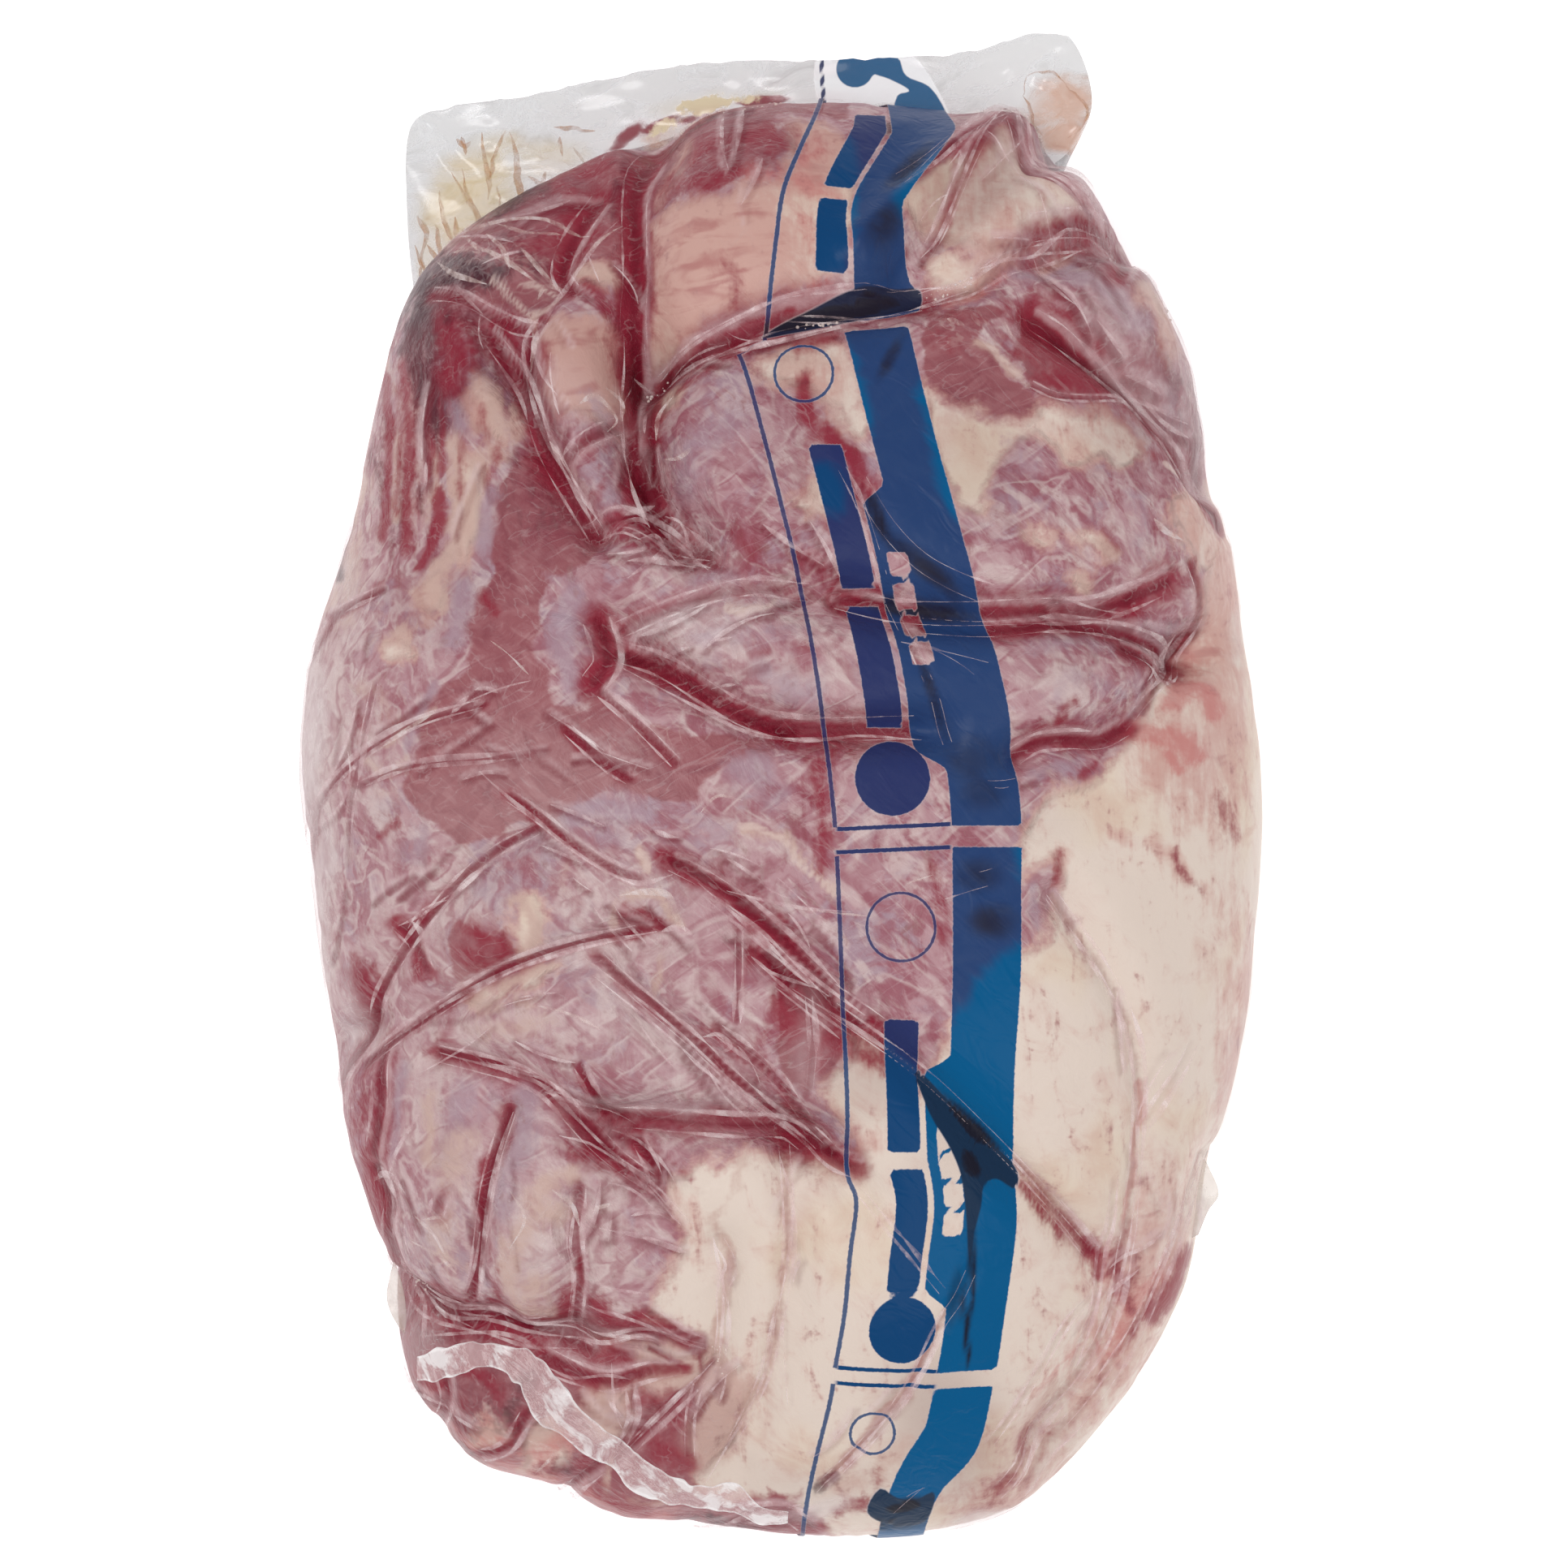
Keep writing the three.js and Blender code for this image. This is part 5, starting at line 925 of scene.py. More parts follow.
def grid_faces(index):
    """Four-sided faces between the neighbouring points of a grid."""
    corners = (index[:-1, :-1], index[1:, :-1], index[1:, 1:], index[:-1, 1:])
    return np.column_stack([corner.ravel() for corner in corners])


def grid_rim(index):
    """The points round the edge of a grid, in order."""
    return np.concatenate([index[:-1, 0], index[-1, :-1], index[:0:-1, -1], index[0, :0:-1]])


def section_columns():
    """The section from the top, over the widest line, to the middle of the underside."""
    turn = np.linspace(0, math.pi / 2, SECTION_STEPS + 1)
    ones = np.ones(SECTION_STEPS)
    dome_share = np.sin(turn) ** (2 / DOME_PLAN_POWER)
    dome_z = WIDEST_Z + (HEIGHT - WIDEST_Z) * np.maximum(np.cos(turn), 0) ** (2 / DOME_RISE_POWER)
    share = np.concatenate([dome_share, ones, 1 - np.arange(1, SECTION_STEPS + 1) / SECTION_STEPS])
    inset = np.concatenate([0 * turn, UNDERCUT * (1 - np.cos(turn[1:])), UNDERCUT * ones])
    z = np.concatenate([dome_z, WIDEST_Z * (1 - np.sin(turn[1:])), 0 * ones])
    radius = share * (MEAN_RADIUS - inset)
    run = np.append(radius[1:], radius[-1]) - np.insert(radius[:-1], 0, radius[0])
    drop = np.append(z[1:], z[-1]) - np.insert(z[:-1], 0, z[0])
    length = np.hypot(run, drop)
    step = np.insert(np.hypot(np.diff(radius), np.diff(z)), 0, 0)
    return {
        "share": share, "inset": inset, "z": z, "outward": -drop / length, "upward": run / length,
        "arc": np.cumsum(step), "beyond": np.cumsum(np.where(inset > 0, step, 0)),
    }


SECTION = section_columns()
OUTLINE_CURVE = smooth_path(OUTLINE, closed=True, steps=25) - CENTRE
OUTLINE_ANGLES = np.arctan2(OUTLINE_CURVE[:, 1], OUTLINE_CURVE[:, 0])
OUTLINE_RADII = np.hypot(*OUTLINE_CURVE.T)


def edge_radius(angle):
    """Distance from the centre to the widest outline."""
    return np.interp(angle, OUTLINE_ANGLES, OUTLINE_RADII, period=2 * math.pi)


def skin_point(places, rise, floor=0.0):
    """Places in space, in millimetres, of the skin at unrolled places, raised by rise."""
    from_centre = places - CENTRE
    angle = np.arctan2(from_centre[:, 1], from_centre[:, 0])
    away = np.hypot(*from_centre.T)
    edge = edge_radius(angle)
    top = slice(0, SECTION_STEPS + 1)
    side = slice(SECTION_STEPS, None)
    over = away > edge
    values = {}
    for key in ("share", "inset", "z", "outward", "upward"):
        dome = np.interp(away / edge, SECTION["share"][top], SECTION[key][top])
        wall = np.interp(away - edge, SECTION["beyond"][side], SECTION[key][side])
        values[key] = np.where(over, wall, dome)
    out = values["share"] * (edge - values["inset"]) + rise * values["outward"]
    height = np.maximum(values["z"] + rise * values["upward"], floor)
    return np.column_stack([CENTRE[0] + out * np.cos(angle), CENTRE[1] + out * np.sin(angle), height])


def floor_fade(places):
    """1 over the dome and wall, falling to 0 where the skin comes down to the floor."""
    return smoothstep(*FLOOR_FADE, skin_point(places, 0.0)[:, 2])


def skin_lattice():
    """Unrolled places of the skin's mesh points, and its faces, which face outwards."""
    side = np.linspace(-1, 1, DOME_GRID)
    a, b = (grid.ravel() for grid in np.meshgrid(side, side, indexing="ij"))
    x, y = a * np.sqrt(1 - b**2 / 2), b * np.sqrt(1 - a**2 / 2)
    angle, reach = np.arctan2(y, x), np.clip(np.hypot(x, y), 0, 1)
    dome_arc = SECTION["arc"][SECTION_STEPS]
    away = np.interp(reach * dome_arc, SECTION["arc"], SECTION["share"]) * edge_radius(angle)

    index = np.arange(DOME_GRID**2).reshape(DOME_GRID, DOME_GRID)
    rim = grid_rim(index)
    beyond = list(SECTION["beyond"][2 * SECTION_STEPS] * np.arange(1, WALL_RINGS + 1) / WALL_RINGS)
    rows = SECTION["share"][2 * SECTION_STEPS:][::-1]
    beyond += [np.interp(share, rows, SECTION["beyond"][2 * SECTION_STEPS:][::-1]) for share in BASE_SHARES]
    angles = [angle] + [angle[rim]] * len(beyond)
    distances = [away] + [edge_radius(angle[rim]) + extra for extra in beyond]
    middle = edge_radius(np.zeros(1)) + SECTION["beyond"][-1]
    angles, distances = np.concatenate(angles + [np.zeros(1)]), np.concatenate(distances + [middle])
    places = CENTRE + distances[:, None] * np.column_stack([np.cos(angles), np.sin(angles)])

    faces = grid_faces(index)
    quads, upper = [faces], rim
    for ring in range(len(beyond)):
        lower = DOME_GRID**2 + ring * len(rim) + np.arange(len(rim))
        quads.append(np.column_stack([upper, lower, np.roll(lower, -1), np.roll(upper, -1)]))
        upper = lower
    fan = [(int(one), len(places) - 1, int(two)) for one, two in zip(upper, np.roll(upper, -1))]
    return places, [tuple(face) for face in np.vstack(quads).tolist()] + fan


def muscle_rise(places):
    """Height of the skin over the plain dome: muscles and the solid's own hollows."""
    rise = np.zeros(len(places))
    for (x, y), radius, height in MUSCLES:
        rise += height * np.exp(-((places[:, 0] - x) ** 2 + (places[:, 1] - y) ** 2) / radius**2)
    for path, width, depth in HOLLOWS:
        line = smooth_path(path, steps=6)
        rise -= depth * np.exp(-((distance_to(line, places, 4 * width) / width) ** 2))
    return rise


# A fold's lips and its juice, in half widths of the fold: how far out the lips stand, how wide they
# are, how far the juice spreads, and how much its edge wanders
LIP_AWAY = 2.2
LIP_WIDE = 1.2
JUICE_WIDE = 1.35
JUICE_WANDER = 0.7


def fold_fields(places):
    """Depth of the narrow folds with their swollen lips, and the juice that lies in them."""
    depth, lips, juice = np.zeros(len(places)), np.zeros(len(places)), np.zeros(len(places))
    loose = wandered(places, JUICE_WANDER)
    for path, width, deep, red in FOLDS:
        line = smooth_path(path, steps=6)
        gap = distance_to(line, places, 5 * width)
        depth = np.maximum(depth, deep * np.exp(-((gap / width) ** 2)))
        lips = np.maximum(lips, deep * np.exp(-(((gap - LIP_AWAY * width) / (LIP_WIDE * width)) ** 2)))
        spread = distance_to(line, loose, 5 * width)
        juice = np.maximum(juice, red * np.exp(-((spread / (JUICE_WIDE * width)) ** 2)))
    return depth, lips, juice


# Strokes: the finest half width that the mesh can show, and how soft their edges are
FINEST_STROKE = 1.1
STROKE_SOFT = 1.25


def brushed(strokes, places):
    """Strength of soft strokes at each place, none finer than the mesh can show."""
    most = np.zeros(len(places))
    for path, width, strength in strokes:
        width = max(width, FINEST_STROKE)
        line = smooth_path(path, steps=6) if len(path) > 2 else np.array(path, float)
        gap = distance_to(line, places, 4 * width)
        most = np.maximum(most, strength * np.exp(-((gap / (STROKE_SOFT * width)) ** 2)))
    return most


# Shares of a fold's depth: how deep the film and the meat go in, and how far the lips rise
FILM_CREASE = 0.24
MEAT_CREASE = 0.4
LIP_RISE = 0.05
# Slack of the film: height, size, seed
FILM_WAVES = [(0.25, 9, 5), (0.5, 26, 6)]


def film_rise(places):
    """Rise of the film over the plain dome."""
    depth, lips, _ = fold_fields(places)
    rise = muscle_rise(places) - FILM_CREASE * depth + LIP_RISE * lips + waves(FILM_WAVES, places)
    return rise * floor_fade(places)


def build_mesh(name, points, faces, material, fields=()):
    """A smooth-shaded object at the origin, from points in millimetres, and named values on them."""
    mesh = bpy.data.meshes.new(name)
    mesh.from_pydata((np.asarray(points) * MM).tolist(), [], faces)
    for field, values in dict(fields).items():
        mesh.attributes.new(field, "FLOAT", "POINT").data.foreach_set("value", np.asarray(values, np.float32))
    mesh.polygons.foreach_set("use_smooth", [True] * len(mesh.polygons))
    mesh.materials.append(material)
    piece = bpy.data.objects.new(name, mesh)
    bpy.context.scene.collection.objects.link(piece)
    return piece


UPWARD = np.array([0.0, 0.0, 1.0])


def slab_mesh(middle, upward, thick):
    """Points and faces of a closed thin slab round a grid of middle points (along, across, 3)."""
    rows, columns = middle.shape[:2]
    over, under = middle + upward * thick / 2, middle - upward * thick / 2
    index = np.arange(rows * columns).reshape(rows, columns)
    below = index + rows * columns
    faces = grid_faces(index)
    rim = grid_rim(index)
    foot = rim + rows * columns
    sides = np.column_stack([rim, foot, np.roll(foot, -1), np.roll(rim, -1)])
    quads = np.vstack([faces, below.ravel()[faces[:, ::-1]], sides])
    return np.vstack([over.reshape(-1, 3), under.reshape(-1, 3)]), [tuple(face) for face in quads.tolist()]


def paint(red, green, blue):
    """A display colour, 0 to 255, as the linear colour that Blender mixes."""
    def linear(level):
        share = level / 255
        return share / 12.92 if share <= 0.04045 else ((share + 0.055) / 1.055) ** 2.4
    return (linear(red), linear(green), linear(blue), 1.0)


class Wire:
    """A number that a material's node gives, for use in sums and products."""

    def __init__(self, finish, socket):
        self.finish = finish
        self.socket = socket

    def _with(self, operation, first, second):
        return self.finish.take("ShaderNodeMath", {"operation": operation}, {0: first, 1: second})

    def __add__(self, other):
        return self._with("ADD", self, other)

    def __radd__(self, other):
        return self._with("ADD", other, self)

    def __sub__(self, other):
        return self._with("SUBTRACT", self, other)

    def __rsub__(self, other):
        return self._with("SUBTRACT", other, self)

    def __mul__(self, other):
        return self._with("MULTIPLY", self, other)

    def __rmul__(self, other):
        return self._with("MULTIPLY", other, self)

    def over(self, other):
        return self._with("MAXIMUM", self, other)

    def under(self, other):
        return self._with("MINIMUM", self, other)

    def size(self):
        return self.finish.take("ShaderNodeMath", {"operation": "ABSOLUTE"}, {0: self})


class Finish:
    """A material under construction: one glossy shader and the nodes that feed it."""

    def __init__(self, name, **constants):
        self.material = bpy.data.materials.new(name)
        self.material.use_nodes = True
        self.tree = self.material.node_tree
        self.shader = next(node for node in self.tree.nodes if node.type == "BSDF_PRINCIPLED")
        for socket, value in constants.items():
            self.shader.inputs[socket.replace("_", " ")].default_value = value

    def add(self, kind, settings=None, inputs=None):
        """A node of a type, its settings first, then the values or links of its sockets."""
        node = self.tree.nodes.new(kind)
        for key, value in (settings or {}).items():
            setattr(node, key, value)
        for key, value in (inputs or {}).items():
            named = next((s for s in node.inputs if s.identifier == key), None)
            socket = named or node.inputs[key]
            if isinstance(value, Wire):
                self.tree.links.new(value.socket, socket)
            else:
                socket.default_value = value
        return node

    def take(self, kind, settings=None, inputs=None, output=0):
        node = self.add(kind, settings, inputs)
        named = next((s for s in node.outputs if s.identifier == output), None)
        return Wire(self, named or node.outputs[output])

    def field(self, name):
        """A value kept on the mesh's points."""
        return self.take("ShaderNodeAttribute", {"attribute_name": name}, output="Fac")

    def place(self, stretch=(1, 1, 1), turn=0.0):
        """Object coordinates in metres, turned about the upright and drawn out along their axes."""
        spot = self.take("ShaderNodeTexCoord", output="Object")
        return self.take(
            "ShaderNodeMapping", {"vector_type": "TEXTURE"},
            {"Vector": spot, "Scale": stretch, "Rotation": (0, 0, turn)},
        )

    def noise(self, size, detail=3, roughness=0.55, stretch=(1, 1, 1), turn=0.0, warp=0.0):
        """Cloudy noise about 0 to 1, whose lumps have the given size in millimetres."""
        return self.take(
            "ShaderNodeTexNoise",
            inputs={"Vector": self.place(stretch, turn), "Scale": 1 / (size * MM), "Detail": detail,
                    "Roughness": roughness, "Distortion": warp},
            output="Fac",
        )

    def step(self, value, low, high):
        """0 where value is below low, 1 above high."""
        return self.take(
            "ShaderNodeMapRange", {"interpolation_type": "SMOOTHSTEP"},
            {"Value": value, "From Min": low, "From Max": high}, output="Result",
        )

    def mix(self, first, second, share):
        """A colour between two others."""
        return self.take(
            "ShaderNodeMix", {"data_type": "RGBA"},
            {"Factor_Float": share, "A_Color": first, "B_Color": second}, output="Result_Color",
        )

    def relief(self, height, depth_mm, strength=1.0):
        """A normal for fine relief of the given depth in millimetres."""
        return self.take(
            "ShaderNodeBump", inputs={"Height": height, "Distance": depth_mm * MM, "Strength": strength},
            output="Normal",
        )

    def feed(self, **wires):
        for socket, wire in wires.items():
            self.tree.links.new(wire.socket, self.shader.inputs[socket.replace("_", " ")])
        return self.material


SILVERSKIN = paint(184, 143, 149)
SILVER_PINK = paint(154, 90, 102)
SILVER_WHITE = paint(214, 193, 190)
SILVER_LILAC_AND_FOLD_SHADE = paint(172, 146, 158)
ROSE_TISSUE = paint(136, 52, 68)
MUSCLE_DULL = paint(154, 92, 98)
MUSCLE_DARK = paint(128, 60, 72)
MUSCLE_LIGHT = paint(176, 126, 129)
BRUISED = paint(70, 36, 46)
CREAM_FAT = paint(227, 210, 198)
PINK_FAT = paint(206, 162, 152)
YELLOW_FAT = paint(224, 203, 176)
CREAM_TISSUE_AND_FOLD_SHADE = paint(202, 170, 159)
SALMON = paint(196, 112, 110)
STREAKED_ROSE = paint(166, 92, 94)
BLOOD_RED = paint(140, 32, 52)
BLOOD_DEEP = paint(84, 4, 20)
PAINTED_SHADE_ROSE = paint(98, 30, 46)
STRAND = paint(214, 188, 180)
GLINT = paint(218, 192, 194)
CREASE_JUICE_AND_SHADE_RED = paint(112, 18, 38)
ALONG_FLANK = (1, 8, 3)
ALONG_GRAIN = (1, 5, 2)
CROSSWISE = (5, 1, 2)


def beef_finish():
    """Silverskin, bare muscle, cream fat and juice, each where the meat's fields put it, with painted shade
    and painted highlights along folds and creases, and broad painted shade and light.
    """
    f = Finish("beef", Roughness=0.34, IOR=1.22)
    broad, patch = f.noise(34, 2), f.noise(11, 4, 0.6, warp=0.6)
    spot, fine = f.noise(4.5, 3, 0.6), f.noise(1.7, 2)
    upright = f.noise(3.0, 3, 0.6, ALONG_FLANK, 0.06, 0.4)
    falling = f.noise(2.4, 3, 0.6, ALONG_GRAIN, 0.9, 0.6)
    rising = f.noise(1.8, 3, 0.6, ALONG_GRAIN, -1.15, 0.6)
    level = f.noise(4.5, 2, 0.5, CROSSWISE, 0.12, 0.8)
    cloud = f.noise(8, 4, 0.64, (1, 1.7, 1), 0.7, 1.0)
    marble = f.noise(13, 4, 0.6, (1, 1.6, 1), 0.8, 0.7)
    web = f.noise(6, 2, 0.5, (1, 2, 1), 0.9, 0.8)
    curd = f.noise(3.2, 1, 0.5)
    ragged = (patch - 0.5) * 1.2 + (spot - 0.5) * 0.9 + (fine - 0.5) * 0.6 + (rising - 0.5) * 0.8
    torn = (upright - 0.5) * 1.1 + (spot - 0.5) * 0.6 + (cloud - 0.5) * 1.1 + (fine - 0.5) * 0.4
    flank, blush = f.field("flank"), f.field("blush")
    calm = 1 - f.field("pale").over(flank).under(1) * 0.6
    creased = f.noise(9, 3, 0.45, (1, 4, 1), 0.8, 0.4)
    crossed = f.noise(8, 3, 0.45, (1, 4, 1), -1.0, 0.4)
    shown = f.step(f.noise(16, 2), 0.44, 0.58)
    # Painted highlights on the crests and painted shade in the troughs of thin crease lines, drawn into the
    # colour
    painted_crest_highlight = (1 - f.step((creased - 0.53).size(), 0.0, 0.05)) * shown
    painted_crest_highlight = painted_crest_highlight.over((1 - f.step((crossed - 0.53).size(), 0.0, 0.05)) * (1 - shown))
    painted_crease_shade = (1 - f.step((creased - 0.46).size(), 0.0, 0.06)) * shown
    painted_crease_shade = painted_crease_shade.over((1 - f.step((crossed - 0.46).size(), 0.0, 0.06)) * (1 - shown))

    skin = f.mix(SILVERSKIN, SILVER_PINK, f.step(cloud + broad * 0.6, 0.74, 0.9) * calm * 0.85)
    skin = f.mix(skin, SILVER_LILAC_AND_FOLD_SHADE, f.step(patch * 0.7 + broad * 0.6, 0.66, 0.8) * 0.8)
    skin = f.mix(skin, SILVER_WHITE, f.step(marble + spot * 0.3, 0.68, 0.8) * calm * 0.7)
    skin = f.mix(skin, SILVER_PINK, f.step(0 - marble - spot * 0.3, -0.6, -0.5) * calm * 0.75)
    skin = f.mix(skin, SILVER_WHITE, f.step(falling, 0.55, 0.7) * 0.55)
    skin = f.mix(skin, ROSE_TISSUE, f.step(falling * 0.7 + cloud * 0.8, 0.82, 1.02) * calm * 0.6)
    skin = f.mix(skin, ROSE_TISSUE, f.step(rising + patch * 0.5, 0.88, 1.06) * 0.45)
    skin = f.mix(skin, SILVER_WHITE, f.step(f.field("pale") + torn, 0.2, 0.9) * 0.7)
    # Painted shade in the crease troughs and painted highlights on their crests
    skin = f.mix(skin, SILVER_PINK, painted_crease_shade * 0.5)
    skin = f.mix(skin, SILVER_WHITE, painted_crest_highlight * 0.45)
    skin = f.mix(skin, CREAM_TISSUE_AND_FOLD_SHADE, f.step(flank * 0.5 + upright + spot * 0.3, 1.0, 1.2) * 0.45)
    skin = f.mix(skin, ROSE_TISSUE, f.step(flank * 0.5 - upright + cloud * 0.3, 0.12, 0.34) * 0.85)
    skin = f.mix(skin, ROSE_TISSUE, f.step(f.field("rose") + torn * 0.8, 0.25, 0.95) * 0.8)
    muscle = f.mix(MUSCLE_DULL, MUSCLE_DARK, f.step(rising * 0.5 + patch * 0.9, 0.72, 0.92) * 0.6)
    muscle = f.mix(muscle, MUSCLE_LIGHT, f.step(falling + spot * 0.3, 0.66, 0.86) * 0.5)
    # Light streaks of the muscle, and painted highlights on the crease crests
    muscle = f.mix(muscle, MUSCLE_LIGHT, (f.step(rising, 0.56, 0.7) * 0.5).over(painted_crest_highlight * 0.3))
    muscle = f.mix(muscle, MUSCLE_LIGHT, f.step(f.field("pale") + ragged * 0.6, 0.2, 0.9) * 0.6)
    # Painted shade in the crease troughs
    muscle = f.mix(muscle, MUSCLE_DARK, painted_crease_shade * 0.3)
    muscle = f.mix(muscle, ROSE_TISSUE, f.step(f.field("rose") + ragged * 0.7, 0.2, 0.9) * 0.55)
    body = f.mix(skin, muscle, f.step(f.field("bare_edge") + ragged * 1.6, -0.5, 0.9))
    body = f.mix(body, BRUISED, f.step(f.field("bruise") + torn * 0.9, 0.15, 0.9) * 0.85)
    fibres = (1 - f.step((web - 0.5).size(), 0.008, 0.035)) * f.field("netted")
    body = f.mix(body, STRAND, fibres * 0.5)

    fat = f.mix(CREAM_FAT, PINK_FAT, f.step(patch * 0.6 + cloud * 0.5 + broad * 0.6, 0.82, 1.12) * 0.6)
    fat = f.mix(fat, YELLOW_FAT, f.step(broad, 0.5, 0.68) * 0.4)
    fat = f.mix(fat, PINK_FAT, f.step(blush + torn * 0.7, 0.0, 0.7) * 0.95)
    fat = f.mix(fat, STREAKED_ROSE, f.step(blush * 0.35 + level + cloud * 0.4, 0.96, 1.2) * 0.55)
    fat = f.mix(fat, PINK_FAT, f.step(f.field("rose") + torn * 0.6, 0.05, 0.6) * 0.8)
    fat = f.mix(fat, ROSE_TISSUE, f.step(f.field("rose") + torn, 0.4, 1.1) * 0.6)
    edge = f.field("fat_edge") + (ragged + torn) * 2.6
    body = f.mix(body, PINK_FAT, f.step(edge, -2.6, 0.8) * 0.75)
    fatty = f.step(edge, -0.8, 2.6)
    body = f.mix(body, fat, fatty)
    # Broad painted shade, darker and redder, and broad painted light
    body = f.mix(body, PAINTED_SHADE_ROSE, f.field("painted_shade") * (0.22 - fatty * 0.06))
    body = f.mix(body, SILVER_WHITE, f.field("painted_light") * 0.22)

    for tint, colour, most in (
        ("lilac", SILVER_LILAC_AND_FOLD_SHADE, 0.7), ("salmon", SALMON, 0.65), ("cream", CREAM_TISSUE_AND_FOLD_SHADE, 0.85),
        ("crimson", BLOOD_RED, 0.85), ("plum", BRUISED, 0.8),
    ):
        body = f.mix(body, colour, f.step(f.field(tint) * 1.1 + torn * 0.7 + ragged * 0.3, 0.12, 1.05) * most)
    body = f.mix(body, STRAND, f.step(f.field("strand") + (spot - 0.5) * 0.6, 0.4, 0.9) * 0.75)
    juice = f.field("juice") + ragged * 0.3
    body = f.mix(body, BLOOD_RED, f.step(juice, 0.1, 0.85) * 0.85)
    body = f.mix(body, BLOOD_DEEP, f.step(juice + f.field("crimson") * 0.4, 1.0, 1.5) * 0.8)
    # Painted highlights along the lips of folds and creases
    body = f.mix(body, GLINT, f.step(f.field("glint") + (spot - 0.5) * 0.8, 0.3, 1.0) * 0.45)
    # Dark red at the bottoms of folds and creases: juice in the folds, and painted shade
    seam = f.step(f.field("seam") + (spot - 0.5) * 0.5, 0.2, 0.9)
    body = f.mix(body, CREASE_JUICE_AND_SHADE_RED, seam * (0.66 - fatty * 0.4))
    calmer = (1 - f.step(f.field("fat_edge"), -0.8, 2.6) * 0.6) * 1.25
    height = (cloud + curd * f.field("curd") * 3 + creased + crossed) * calmer
    return f.feed(Base_Color=body, Normal=f.relief(height, 0.8))


INK_BLUE = paint(0, 88, 138)
INK_SLATE = paint(32, 64, 112)
INK_BARS = paint(13, 63, 112)
INK_NAVY = paint(36, 48, 98)
INK_SHADE = paint(26, 26, 40)
FILM_WHITE = paint(222, 208, 208)
# Shares run from the band's right edge, 0, to the line on its left, 1. Spans are millimetres along
# the bag, and plain discs and rings are a place and a radius.
BAR_SHARES = (0.56, 0.76)
LIGHT_SHARES = (0.34, 0.46)
PANEL_GAPS = [(-15.2, -10.2), (-146.4, -142.4)]
PANEL_RULES = [((-16.6, -11.0), -0.045), ((-143.8, -139.8), 0.08)]
RULES_START = 12
LINE_HALF = 0.6
BAND_SHARE = 0.375
FAR_BAND_SHARE = 0.425
BLOCK_SHARE = 0.525
BLOCKS = [(6, 70), (-124, -68)]
NAVY_BARS = [(14, 44), (48, 82), (-89, -57), (-122, -93)]
LIGHT_BARS = [
    (29, 34.6), (36.2, 41.8), (43.4, 49), (50.6, 56), (-109, -103.5), (-102, -96.5), (-95, -89.5),
    (-88, -83),
]
FAR_SHARES = (0.46, 0.7)
FAR_BARS = [(124, 141), (144, 164)]
DISCS = [((26.3, 1.4), 9.2), ((28.4, -131), 8.2)]
RINGS = [((4.8, 99.8), 7.1), ((28.2, -34.6), 8.2), ((21.4, -157.4), 5.4)]
RING_EDGES = (0.25, 0.5)
STRIP_SOFT = 0.3
FAR_AWAY = 200


